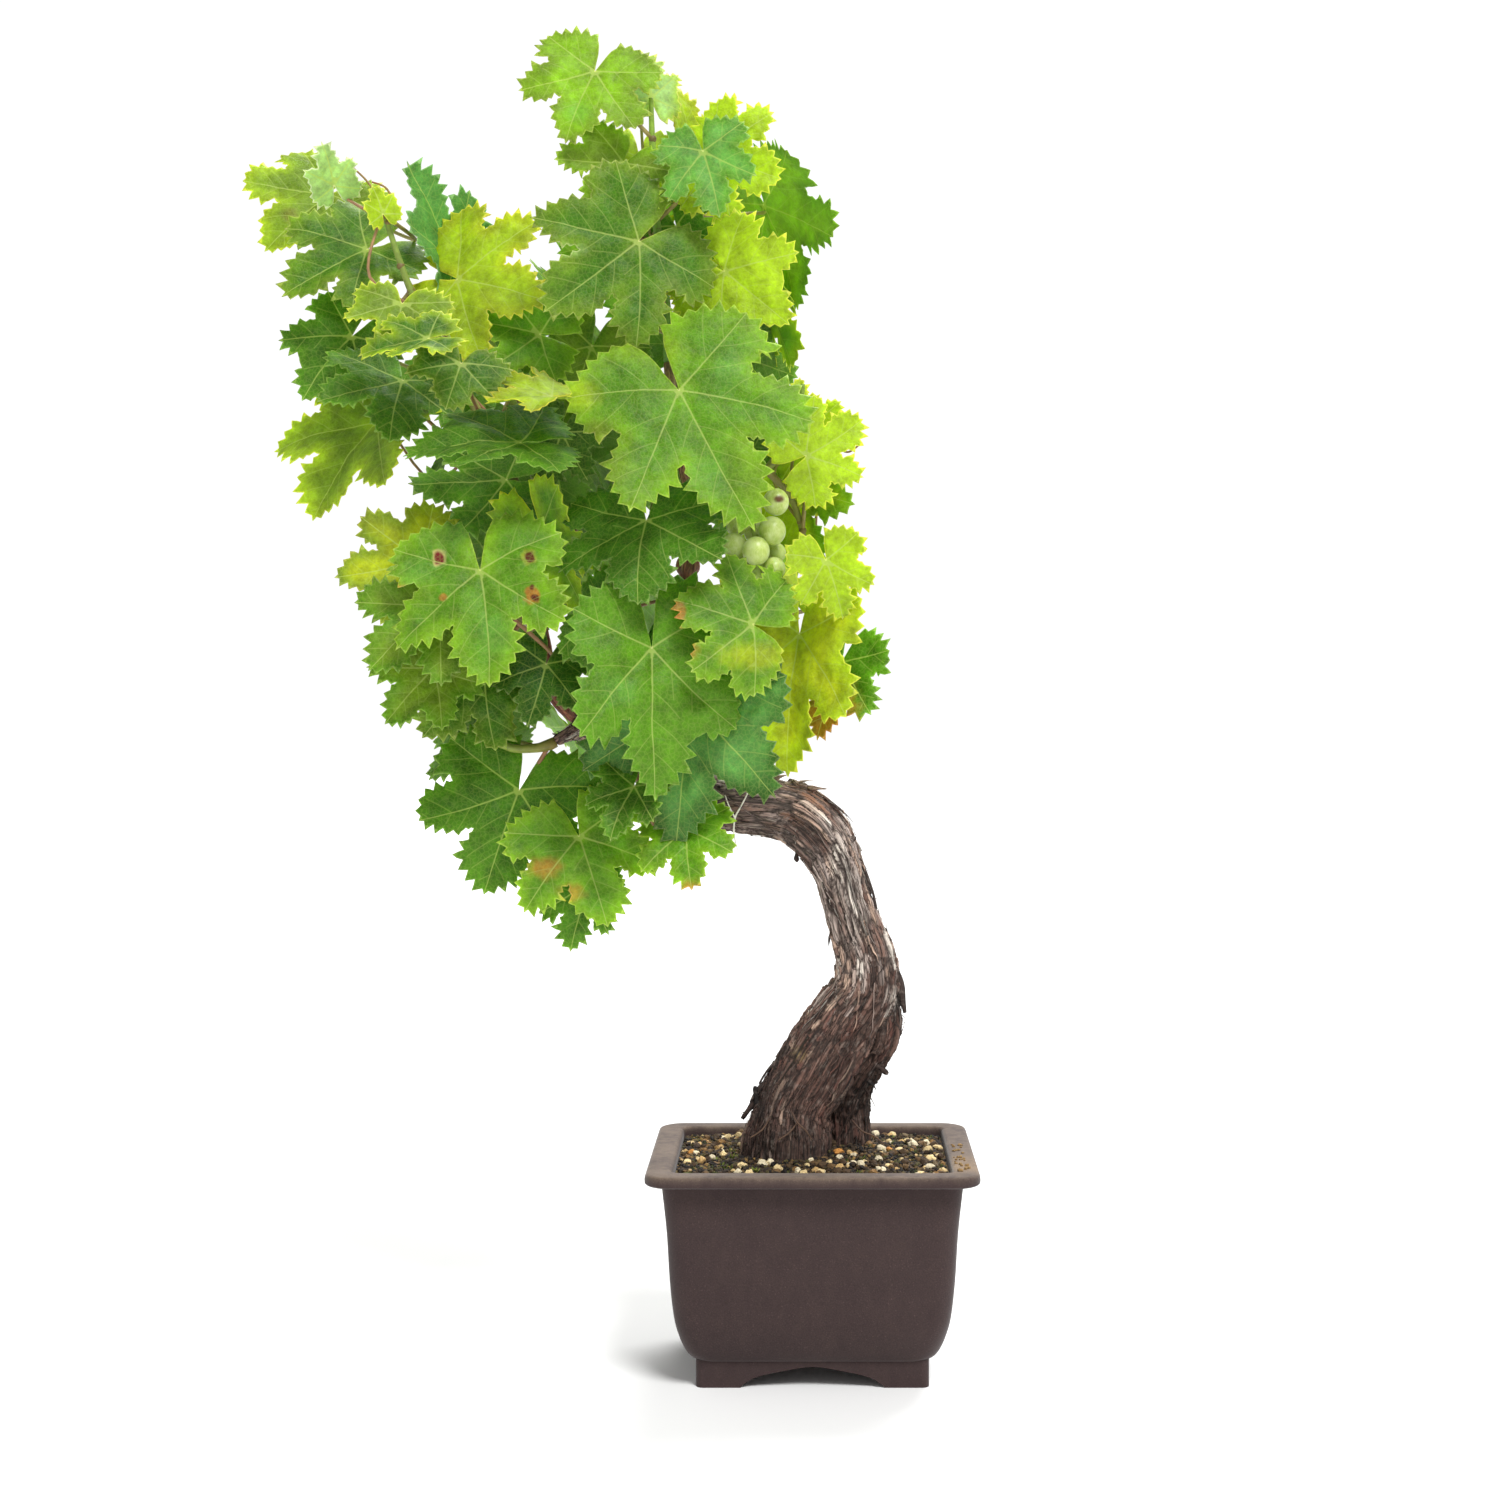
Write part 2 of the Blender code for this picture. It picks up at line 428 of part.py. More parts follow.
# Leaves that the front shows: junction x, y, depth; tip x, y, depth; roll in degrees about the
# midrib; fold, arch, cup and width of the blade. Nearest first, because later ones give way.
LEAVES = (
    ("shoot_middle", 679, 390, -62, 753, 526, -72, 0, 0.10, 0.16, 0.10, 0.86),
    ("shoot_left_front", 480, 570, -68, 489, 684, -76, 0, 0.10, 0.14, 0.12, 0.97),
    ("shoot_low", 652, 648, -60, 656, 797, -66, -12, 0.18, 0.16, 0.10, 0.72),
    ("shoot_right", 753, 624, -58, 676, 600, -60, 8, 0.10, 0.22, 0.34, 1.12),
    ("shoot_middle", 594, 616, -54, 642, 646, -66, 5, 0.12, 0.14, 0.12, 1.30),
    ("shoot_middle", 646, 520, -42, 638, 602, -58, 4, 0.10, 0.12, 0.10, 1.21),
    ("shoot_low", 690, 702, -42, 676, 842, -48, 10, 0.12, 0.14, 0.10, 0.95),
    ("shoot_right", 799, 634, -44, 787, 773, -48, 30, 0.30, 0.14, 0.12, 0.74),
    ("shoot_left_front", 541, 528, -56, 587, 615, -62, 38, 0.34, 0.16, 0.10, 0.74),
    ("shoot_top", 639, 241, -26, 546, 310, -38, 0, 0.14, 0.16, 0.14, 0.91),
    ("shoot_left_front", 438, 608, -48, 370, 668, -56, 6, 0.14, 0.16, 0.12, 0.93),
    ("shoot_left_front", 420, 560, -50, 337, 577, -46, -10, 0.22, 0.14, 0.12, 0.88),
    ("shoot_left", 402, 303, -34, 392, 346, -48, 0, 0.12, 0.16, 0.14, 1.44),
    ("shoot_left", 461, 363, -38, 446, 408, -54, 4, 0.10, 0.16, 0.12, 1.40),
    ("shoot_left", 403, 380, -36, 390, 440, -48, -4, 0.12, 0.16, 0.14, 1.26),
    ("shoot_left", 376, 422, -32, 315, 518, -40, 26, 0.34, 0.16, 0.12, 0.88),
    ("shoot_left", 520, 442, -34, 407, 456, -44, 48, 0.20, 0.18, 0.10, 0.79),
    ("shoot_left", 457, 279, -10, 545, 300, -16, 0, 0.10, 0.14, 0.12, 1.04),
    ("shoot_left", 367, 249, -22, 284, 293, -30, 14, 0.24, 0.20, 0.16, 0.84),
    ("shoot_left", 329, 194, -6, 266, 248, -12, 6, 0.16, 0.18, 0.16, 1.07),
    ("shoot_left", 334, 186, 2, 322, 143, -4, 10, 0.30, 0.12, 0.20, 0.79),
    ("shoot_left", 352, 336, -12, 303, 398, -18, 10, 0.16, 0.18, 0.12, 0.88),
    ("shoot_left", 428, 338, -44, 360, 356, -50, 44, 0.26, 0.16, 0.10, 0.74),
    ("shoot_left", 454, 268, 14, 408, 164, 10, 56, 0.30, 0.12, 0.10, 0.74),
    ("shoot_left", 383, 214, -12, 372, 186, -14, 10, 0.30, 0.10, 0.10, 0.84),
    ("shoot_left", 552, 396, -44, 487, 402, -50, 50, 0.26, 0.12, 0.10, 0.79),
    ("shoot_left", 540, 334, -18, 458, 322, -24, 4, 0.14, 0.16, 0.12, 0.79),
    ("shoot_left", 592, 346, -28, 562, 424, -36, -8, 0.14, 0.16, 0.12, 0.88),
    ("shoot_left", 376, 396, -8, 334, 424, -12, 8, 0.20, 0.12, 0.12, 0.93),
    ("shoot_left", 506, 480, -14, 411, 484, -20, -42, 0.20, 0.14, 0.10, 0.79),
    ("shoot_left", 527, 486, -8, 558, 541, -12, 0, 0.14, 0.12, 0.12, 0.98),
    ("shoot_left", 562, 432, -34, 541, 490, -40, -12, 0.20, 0.14, 0.10, 0.84),
    ("shoot_left_front", 434, 668, -32, 386, 722, -36, 6, 0.16, 0.14, 0.12, 0.93),
    ("shoot_left_front", 484, 672, -26, 424, 736, -30, -6, 0.16, 0.14, 0.12, 0.98),
    ("shoot_left_front", 546, 664, -22, 524, 736, -28, 4, 0.14, 0.14, 0.12, 0.93),
    ("shoot_left_front", 606, 650, -36, 566, 737, -40, 34, 0.24, 0.14, 0.10, 0.84),
    ("shoot_low_left", 519, 790, -22, 485, 891, -30, 0, 0.12, 0.14, 0.12, 1.10),
    ("shoot_low_left", 540, 738, -8, 502, 838, -12, 0, 0.12, 0.14, 0.12, 1.13),
    ("shoot_low", 579, 836, -26, 607, 924, -34, 0, 0.14, 0.14, 0.12, 1.02),
    ("shoot_low", 586, 884, -18, 570, 950, -20, 24, 0.26, 0.12, 0.10, 0.79),
    ("shoot_low", 686, 829, -34, 692, 898, -42, 0, 0.18, 0.20, 0.20, 0.98),
    ("shoot_low", 634, 786, -24, 606, 848, -28, 22, 0.22, 0.14, 0.10, 0.88),
    ("shoot_top", 595, 71, -8, 566, 141, -20, 0, 0.12, 0.16, 0.14, 1.07),
    ("shoot_top", 652, 98, -3, 648, 53, -5, 20, 0.30, 0.12, 0.16, 0.79),
    ("shoot_top", 640, 80, 3, 617, 60, 3, 0, 0.20, 0.12, 0.10, 0.88),
    ("shoot_top", 690, 152, -6, 678, 87, -12, 52, 0.26, 0.14, 0.12, 0.79),
    ("shoot_top", 703, 151, -24, 719, 215, -32, 16, 0.14, 0.14, 0.12, 0.93),
    ("shoot_top", 716, 158, -2, 779, 178, 2, 0, 0.12, 0.12, 0.10, 1.23),
    ("shoot_top", 624, 163, -30, 592, 212, -38, 6, 0.44, 0.14, 0.10, 1.26),
    ("shoot_top", 640, 158, 10, 640, 220, 4, 0, 0.12, 0.12, 0.10, 0.88),
    ("shoot_top", 676, 226, -6, 704, 284, -12, 12, 0.20, 0.14, 0.12, 0.84),
    ("shoot_top", 654, 240, -22, 694, 286, -30, 34, 0.34, 0.20, 0.16, 0.79),
    ("shoot_top", 724, 271, -12, 798, 332, -20, 0, 0.14, 0.16, 0.14, 0.93),
    ("shoot_top", 702, 286, 12, 716, 328, 10, 4, 0.14, 0.12, 0.10, 0.93),
    ("shoot_top", 706, 326, 4, 764, 352, 2, 22, 0.20, 0.14, 0.10, 0.88),
    ("shoot_right", 764, 586, -6, 788, 642, -10, 0, 0.14, 0.12, 0.10, 1.02),
    ("shoot_right", 770, 514, 14, 758, 594, 12, 0, 0.12, 0.12, 0.10, 0.98),
    ("shoot_right", 779, 484, 2, 822, 577, -4, 26, 0.26, 0.16, 0.12, 0.84),
    ("shoot_right", 806, 456, -2, 862, 420, -6, 10, 0.20, 0.14, 0.12, 0.93),
    ("shoot_right", 797, 414, -8, 800, 378, -10, 10, 0.26, 0.12, 0.10, 0.84),
    ("shoot_right", 812, 428, 4, 840, 402, 4, 14, 0.24, 0.12, 0.10, 0.84),
    ("shoot_right", 814, 488, -14, 846, 506, -18, 14, 0.20, 0.12, 0.10, 0.88),
    ("shoot_right", 826, 560, -16, 843, 619, -20, 12, 0.24, 0.12, 0.10, 0.84),
    ("shoot_right", 842, 662, -10, 818, 738, -14, 26, 0.22, 0.12, 0.10, 0.88),
)
YOUNG_LENGTH = 0.030

# Leaves at the back by rule: shoot, how many, blade length and the spread of their stalks
BACK_LEAVES = (("shoot_back_left", 9, 0.058), ("shoot_back_right", 9, 0.056),
               ("shoot_low_left", 2, 0.050), ("shoot_right", 1, 0.046))

# Grapes: picture point, depth in mm and radius in picture points, and their stalk
BERRIES = ((737, 525, -16, 11), (776, 502, -22, 13), (772, 531, -26, 14), (734, 546, -26, 12.5),
           (756, 551, -34, 13.8), (776, 553, -14, 10), (774, 569, -27, 11.5), (751, 574, -26, 11.5),
           (762, 586, -20, 9), (744, 560, -8, 11), (761, 566, -8, 10), (757, 532, -6, 13),
           (752, 512, -24, 10))
SMALL_BERRY = 11.5
PEDICEL_R = 0.75 * MM
BUNCH_SEAT = ((750, 484, -3.4, 1.9), (749, 491, -10, 1.6))
BUNCH_STALK = ((750, 506, -17, 1.5), (753, 525, -19, 1.5), (757, 548, -20, 1.4), (760, 572, -19, 1.0))

# Curling tendrils and a shed petiole, in the node of the shoot that they grow on
TENDRILS = (("shoot_left", ((386, 218, -6, 0.7), (377, 196, -2, 0.7), (366, 180, 0, 0.6),
                            (350, 165, 1, 0.5))),
            ("shoot_left", ((388, 224, -6, 0.7), (393, 204, 2, 0.7), (386, 188, 4, 0.6),
                            (372, 182, 6, 0.5))),
            ("shoot_top", ((665, 300, 5, 0.8), (652, 296, -12, 0.7), (642, 306, -14, 0.6),
                           (636, 322, -12, 0.5))),
            ("shoot_right", ((790, 436, -3, 0.7), (826, 440, 8, 0.7), (846, 452, 14, 0.6),
                             (858, 446, 12, 0.5))))


def bark(angle, along):
    # Long ridges that wind a little up the trunk, fading where it enters the soil
    depth = 0.085 * min(1.0, max(0.0, (along - 0.06) * 9))
    return (1.0 + depth * math.sin(3 * angle + 5.0 * along + 0.6)
            + depth * 0.8 * math.sin(5 * angle - 9.0 * along))


def trunk_lofts(grow=0.0):
    lofts = [loft(limb_rings(seen_route(TRUNK_ROUTE, 1), 14, bark, grow))]
    for route in (ROOT_LEFT_ROUTE, ROOT_RIGHT_ROUTE, ROOT_BACK_ROUTE):
        lofts.append(loft(limb_rings(seen_route(route, 1), 7, None, grow)))
    return lofts


def bark_flakes(rng):
    # Peeling strips, thin wedges whose root is sunk in the wood and whose tip stands off
    route = seen_route(TRUNK_ROUTE, 4)
    flakes = []
    for i in range(FLAKES):
        k = int(len(route) * (0.22 + 0.62 * i / FLAKES))
        place, radius = route[k]
        ahead = (route[k + 1][0] - place).normalized()
        around = rng.uniform(0, 2 * math.pi)
        side = Quaternion(ahead, around) @ ahead.orthogonal().normalized()
        hang = -ahead if rng.random() < 0.7 else ahead
        wide = ahead.cross(side) * rng.uniform(*FLAKE_HALF) * MM
        root = place + side * radius * FLAKE_SEAT
        tip = root + hang * rng.uniform(*FLAKE_LONG) * MM + side * rng.uniform(*FLAKE_LIFT) * MM
        thick = side * FLAKE_THICK / 2
        flakes.append(loft([[root - wide - thick, root + wide - thick, root + wide + thick,
                             root - wide + thick],
                            [tip - wide * 0.4 - thick * 0.6, tip + wide * 0.4 - thick * 0.6,
                             tip + wide * 0.4 + thick * 0.6, tip - wide * 0.4 + thick * 0.6]]))
    return flakes


def trunk_bodies():
    lofts = trunk_lofts()
    for stub in STUBS + TRUNK_SPURS + (CANE_SEATS["cane_centre"],):
        lofts.append(loft(limb_rings(seen_route(stub, 2), 8)))
    return lofts + bark_flakes(random.Random(7))


def cane_bodies(name):
    route = seated_route(CANE_SEATS[name], CANE_ROUTES[name], CANE_BASE_R)
    bodies = [loft(limb_rings(route, 8))]
    bodies += [loft(limb_rings(seen_route(spur, 2), 6)) for spur in SPURS[name]]
    if name == "cane_centre":
        knot = bmesh.new()
        bmesh.ops.create_icosphere(knot, subdivisions=1, radius=KNOT[3] * MM)
        bmesh.ops.translate(knot, vec=sight(*KNOT[:3]), verts=knot.verts[:])
        bodies.append(knot)
    return bodies


def grown_together(name, bodies, home, material):
    # One piece out of the bodies that pass into each other
    piece = add_object(name, bodies[0], home, material)
    others = [add_object(f"{name} part {i}", bm, home) for i, bm in enumerate(bodies[1:])]
    boolean(piece, others, "UNION", "MANIFOLD")
    return piece


def soil_height(x, y):
    away = math.hypot(x - TRUNK_PLACE[0], y - TRUNK_PLACE[1])
    return SOIL_TOP + SOIL_MOUND * math.exp(-(away / MOUND_REACH) ** 2)


def make_soil(home, material):
    # A filled block whose top is a sheet of grains, with a hole that the root stands in
    rng = random.Random(11)
    half = [size - GAP for size in MOUTH_HALF]
    bm = bmesh.new()
    nx, ny = SOIL_CELLS
    bmesh.ops.create_grid(bm, x_segments=nx, y_segments=ny, size=1.0)
    corner_start, corner_draw = SOIL_CORNER
    for vert in bm.verts:
        u, v = vert.co.x, vert.co.y
        edge = abs(u) > 0.999 or abs(v) > 0.999
        if not edge:
            u += rng.uniform(-GRAIN_JITTER, GRAIN_JITTER) * 2 / nx
            v += rng.uniform(-GRAIN_JITTER, GRAIN_JITTER) * 2 / ny
        z = soil_height(u * half[0], v * half[1])
        z += 0.0 if edge else rng.uniform(-GRAIN_RELIEF, GRAIN_RELIEF)
        # The pot's inner corners are rounded, so the sheet's corners are drawn in
        corner = max(0.0, abs(u) - corner_start) * max(0.0, abs(v) - corner_start)
        less = corner_draw * corner / (1 - corner_start) ** 2
        inset = mouth_inset(z)
        vert.co = (u * (half[0] - inset) - math.copysign(less, u),
                   v * (half[1] - inset) - math.copysign(less, v), z)
    for z in (MOUTH_PROFILE[1][0], FLOOR_TOP + GAP + DRAIN_MESH_THICK + GAP):
        rim = [edge for edge in bm.edges if edge.is_boundary]
        skirt = bmesh.ops.extrude_edge_only(bm, edges=rim)["geom"]
        for vert in (item for item in skirt if isinstance(item, bmesh.types.BMVert)):
            deeper = mouth_inset(z) - mouth_inset(vert.co.z)
            vert.co.x -= math.copysign(deeper, vert.co.x)
            vert.co.y -= math.copysign(deeper, vert.co.y)
            vert.co.z = z
    bmesh.ops.contextual_create(bm, geom=[edge for edge in bm.edges if edge.is_boundary])
    bmesh.ops.recalc_face_normals(bm, faces=bm.faces[:])
    bmesh.ops.triangulate(bm, faces=bm.faces[:])
    soil = add_object("soil", bm, home, material)
    holes = [add_object(f"root hole {i}", cut, home) for i, cut in enumerate(trunk_lofts(ROOT_GAP))]
    boolean(soil, holes, "DIFFERENCE")
    return soil


def polar(degrees, radius):
    angle = math.radians(degrees)
    return radius * math.sin(angle), radius * math.cos(angle)


class Blade:
    # One leaf blade: a flat outline in blade lengths, bent and set at its junction

    def __init__(self, junction, tip, facing, roll, bend, width, rng):
        self.junction = junction
        self.length = (tip - junction).length
        self.along = (tip - junction).normalized()
        out = (facing - self.along * facing.dot(self.along)).normalized()
        self.out = Quaternion(self.along, math.radians(roll)) @ out
        self.across = self.along.cross(self.out)
        self.fold, self.arch, self.cup = bend
        self.width = width
        self.wave = rng.uniform(0.035, 0.065)
        self.phase = rng.uniform(0, 2 * math.pi)
        self.twist = rng.uniform(-0.10, 0.10)
        self.seat_shift = Vector([rng.uniform(-0.4, 0.4) * MM for axis in range(3)])
        young = self.length < YOUNG_LENGTH
        half = YOUNG_OUTLINE if young else LEAF_OUTLINE
        ring = [(0, 1.0)] + [(a, r * rng.uniform(0.95, 1.05)) for a, r in half]
        ring += [(180, 0.0)] + [(-a, r * rng.uniform(0.95, 1.05)) for a, r in reversed(half)]
        self.outline = [polar(a, r) for a, r in ring]

    def place(self, x, y, off=0.0):
        # Fold along the midrib, an arch from junction to tip, a cup across and a waved margin
        radius = math.hypot(x, y)
        around = math.atan2(x, y)
        lift = self.fold * (math.hypot(x, 0.08) - 0.08) + self.arch * y * (1 - y) - self.cup * x * x
        lift += self.wave * radius * radius * math.sin(4 * around + self.phase) * abs(x) * 2
        lift += self.twist * x * y
        spread = x * self.width
        offset = self.across * spread + self.along * y + self.out * lift
        return self.junction + offset * self.length + self.out * off

    def flat_mesh(self):
        # Split along the midrib, from the junction through its middle to the tip
        points = self.outline + [polar(*MIDRIB_POINT)]
        count = len(self.outline)
        edges = [(i, (i + 1) % count) for i in range(count)] + [(0, count), (count, count // 2)]
        verts, edges, faces = delaunay_2d_cdt([Vector(p) for p in points], edges, [], 1, 1e-6)[:3]
        return [tuple(v) for v in verts], faces

    def sheet(self, thick):
        # The bent blade as a closed body of even thickness
        flat, faces = self.flat_mesh()
        bm = bmesh.new()
        verts = [bm.verts.new(self.place(x, y, -thick / 2)) for x, y in flat]
        for face in faces:
            bm.faces.new([verts[i] for i in face])
        bmesh.ops.recalc_face_normals(bm, faces=bm.faces[:])
        bm.normal_update()
        if sum((f.normal.dot(self.out) * f.calc_area() for f in bm.faces)) < 0:
            bmesh.ops.reverse_faces(bm, faces=bm.faces[:])
        lower = {v: bm.verts.new(v.co) for v in list(bm.verts)}
        upper_faces = bm.faces[:]
        normals = {v: v.normal.copy() for v in lower}
        rim = [edge for edge in bm.edges if edge.is_boundary]
        for face in upper_faces:
            bm.faces.new([lower[v] for v in reversed(face.verts[:])])
        for edge in rim:
            loop = edge.link_loops[0]
            start, end = loop.vert, loop.link_loop_next.vert
            bm.faces.new((end, start, lower[start]))
            bm.faces.new((end, lower[start], lower[end]))
        for vert, normal in normals.items():
            vert.co += normal * thick
        bm.normal_update()
        return bm

    def middle_tree(self):
        flat, faces = self.flat_mesh()
        return BVHTree.FromPolygons([self.place(x, y) for x, y in flat], faces)

    def moved(self, shift, size):
        # The same blade further along the line of sight, so that it is seen in the same place
        eye = Vector((0, -EYE_DISTANCE, EYE_HEIGHT))
        other = object.__new__(Blade)
        other.__dict__.update(self.__dict__)
        scale = 1 + shift * MM / (self.junction.y + EYE_DISTANCE)
        other.junction = eye + (self.junction - eye) * scale
        other.length = self.length * scale * size
        return other


def petiole_route(blade, start, aside, bow):
    # From the stem, out beside it, and to the blade from behind, just past its junction
    end = blade.place(0, PETIOLE_SEAT)
    behind = end - blade.out * PETIOLE_DROP
    span = (behind - start).length
    radius = PETIOLE_R * (0.8 if blade.length < YOUNG_LENGTH else 1.0)
    route = [(start, radius * 1.2), (behind, radius), (end, radius)]
    if any(bow):
        middle = start.lerp(behind, 0.45) + aside * (bow[0] * span) + Vector((0, 0, bow[1] * span))
        route.insert(1, (middle, radius))
    return route


class Canopy:
    # What is already placed, so that each further leaf hangs clear of it

    def __init__(self):
        self.solid = []
        self.blades = []
        self.stalks = []
        self.starts = []
        self.shown = []

    def take(self, owner, bodies):
        self.solid += [(BVHTree.FromBMesh(bm), owner) for bm in bodies]

    def blade_hits(self, shell, node, own_counts):
        near = self.solid + [item for item in self.blades + self.stalks
                             if own_counts or item[1] != node]
        return any(shell.overlap(tree) for tree, owner in near)

    def hides(self, blade):
        # Whether it would come between the eye and what is listed before it
        tree = blade.middle_tree()
        eye = Vector((0, -EYE_DISTANCE, EYE_HEIGHT))
        for point in self.shown:
            if tree.ray_cast(point, (eye - point).normalized(), EYE_DISTANCE)[0]:
                return True
        return False

    def stalk_hits(self, route, node, own_counts):
        # A stalk may meet its own stem, and the stalks that start beside it only near the stem
        steps = [(after[0] - before[0]).normalized() for before, after in zip(route, route[1:])]
        if any(first.dot(second) < SHARPEST_BEND for first, second in zip(steps, steps[1:])):
            return True
        wide = [(place, radius + STALK_CLEAR) for place, radius in route[:-1]]
        tree = BVHTree.FromBMesh(loft(limb_rings(wide, 3)))
        near = [item for item in self.solid + self.stalks if item[1] != node]
        near += [item for item in self.blades if own_counts or item[1] != node]
        if any(tree.overlap(other) for other, owner in near):
            return True
        (start, radius), (after, thin) = wide[:2]
        first = (after - start).length
        clear_of_stem = start.lerp(after, min(STALK_SHARED / first, 0.5))
        outer = BVHTree.FromBMesh(loft(limb_rings([(clear_of_stem, radius)] + wide[1:], 3)))
        return any(outer.overlap(other) for other, owner in self.stalks if owner == node)

    def stalk_for(self, blade, node, stems, own_counts):
        places = [stem[i][0].lerp(stem[i + 1][0], share) for stem in stems
                  for i in range(1, len(stem) - 1) for share in (0.15, 0.5, 0.85)]

        def cost(place):
            # The usual stalk length, from below, and away from where others already start
            away = place - blade.junction
            near = sum((place - used).length < NODE_SPACE for used in self.starts)
            return abs(away.length - PETIOLE_REACH) + 0.5 * max(0.0, away.z) + near * NODE_SPACE

        for start in sorted(places, key=cost)[:STALK_STARTS]:
            aside = (blade.junction - start).cross(blade.out)
            aside = aside.normalized() if aside.length > 1e-6 else blade.across
            for bow in BOWS:
                route = petiole_route(blade, start + blade.seat_shift, aside, bow)
                if not self.stalk_hits(route, node, own_counts):
                    self.starts.append(start)
                    return route
        return None

    def hang(self, blade, node, stems):
        for size, own_counts, ordered in HANG_RULES:
            for shift in DEPTH_STEPS:
                trial = blade.moved(shift, size)
                shell = BVHTree.FromBMesh(trial.sheet(2 * BLADE_CLEAR))
                if self.blade_hits(shell, node, own_counts) or (ordered and self.hides(trial)):
                    continue
                route = self.stalk_for(trial, node, stems, own_counts)
                if route:
                    self.blades.append((trial.middle_tree(), node))
                    self.stalks.append((BVHTree.FromBMesh(loft(limb_rings(route, 3))), node))
                    self.shown += [trial.place(x * SHOWN_PART, y * SHOWN_PART)
                                   for x, y in trial.outline]
                    return trial, route
        return None


def front_blades():
    for i, (node, jx, jy, jd, tx, ty, td, roll, fold, arch, cup, width) in enumerate(LEAVES):
        rng = random.Random(100 + i)
        # No two blades lie alike: each is turned a little more, and widened to be seen as wide
        turn = roll + rng.uniform(-TURN_SPREAD, TURN_SPREAD)
        width *= min(1.35, math.cos(math.radians(roll)) / math.cos(math.radians(turn)))
        dip = td + rng.uniform(-TIP_SPREAD, TIP_SPREAD)
        yield node, Blade(sight(jx, jy, jd), sight(tx, ty, dip), Vector((0, -1, 0.10)), turn,
                          (fold, arch, cup), width, rng)


def back_blades(stems):
    # Outward and hanging, turned from side to side up each stem
    for node, count, length in BACK_LEAVES:
        rng = random.Random(node)
        stem = stems[node][0]
        for i in range(count):
            place = stem[1 + int((len(stem) - 2) * (i + 0.5) / count)][0]
            turn = (-70, 55, -20, 80, 15)[i % 5] + rng.uniform(-14, 14)
            outward = Quaternion((0, 0, 1), math.radians(-turn)) @ Vector((0, 1, 0))
            junction = place + outward * rng.uniform(30, 44) * MM
            junction += Vector((0, 0, rng.uniform(4, 20) * MM))
            hang = (Vector((0, 0, -1)) + outward * rng.uniform(0.25, 0.6)
                    + outward.cross(Vector((0, 0, 1))) * rng.uniform(-0.5, 0.5)).normalized()
            size = length * rng.uniform(0.85, 1.12)
            bend = (rng.uniform(0.08, 0.2), rng.uniform(0.12, 0.2), 0.12)
            yield node, Blade(junction, junction + hang * size, outward + Vector((0, 0, 0.35)),
                              rng.uniform(-12, 12), bend, rng.uniform(1.0, 1.15), rng)


def shoot_bodies(name, stems, leaves):
    bodies = [loft(limb_rings(stem, 5)) for stem in stems]
    for blade, route in leaves:
        bodies += [blade.sheet(BLADE_THICK), loft(limb_rings(route, 3))]
    bodies += [loft(limb_rings(seen_route(points, 2), 3)) for node, points in TENDRILS if node == name]
    if name == "shoot_right":
        bodies.append(loft(limb_rings(seen_route(BUNCH_SEAT, 1), 5)))
    return bodies


def berry_mesh(berry, subdivisions):
    px, py, depth, radius = berry
    bm = bmesh.new()
    bmesh.ops.create_icosphere(bm, subdivisions=subdivisions, radius=1.0)
    size = radius * (EYE_DISTANCE + depth * MM) / FOCAL
    bmesh.ops.scale(bm, vec=(size, size, size * 1.06), verts=bm.verts[:])
    bmesh.ops.translate(bm, vec=sight(px, py, depth), verts=bm.verts[:])
    return bm


def bunch_bodies():
    stalk = seated_route(BUNCH_SEAT, BUNCH_STALK)
    bodies = [loft(limb_rings(stalk, 5))]
    for berry in BERRIES:
        middle = sight(*berry[:3])
        nearest = min((place for place, radius in stalk[2:]), key=lambda p: (p - middle).length)
        pedicel = [(nearest, PEDICEL_R), (middle.lerp(nearest, 0.35), PEDICEL_R)]
        bodies += [berry_mesh(berry, 2 if berry[3] > SMALL_BERRY else 1), loft(limb_rings(pedicel, 3))]
    return bodies


def stand_on_origin(pieces):
    # The whole is moved so that the middle of its box stands on the origin
    corners = [vert.co for piece in pieces for vert in piece.data.vertices]
    low = [min(corner[axis] for corner in corners) for axis in range(3)]
    high = [max(corner[axis] for corner in corners) for axis in range(3)]
    shift = Vector((-(low[0] + high[0]) / 2, -(low[1] + high[1]) / 2, -low[2]))
    for piece in pieces:
        for vert in piece.data.vertices:
            vert.co += shift


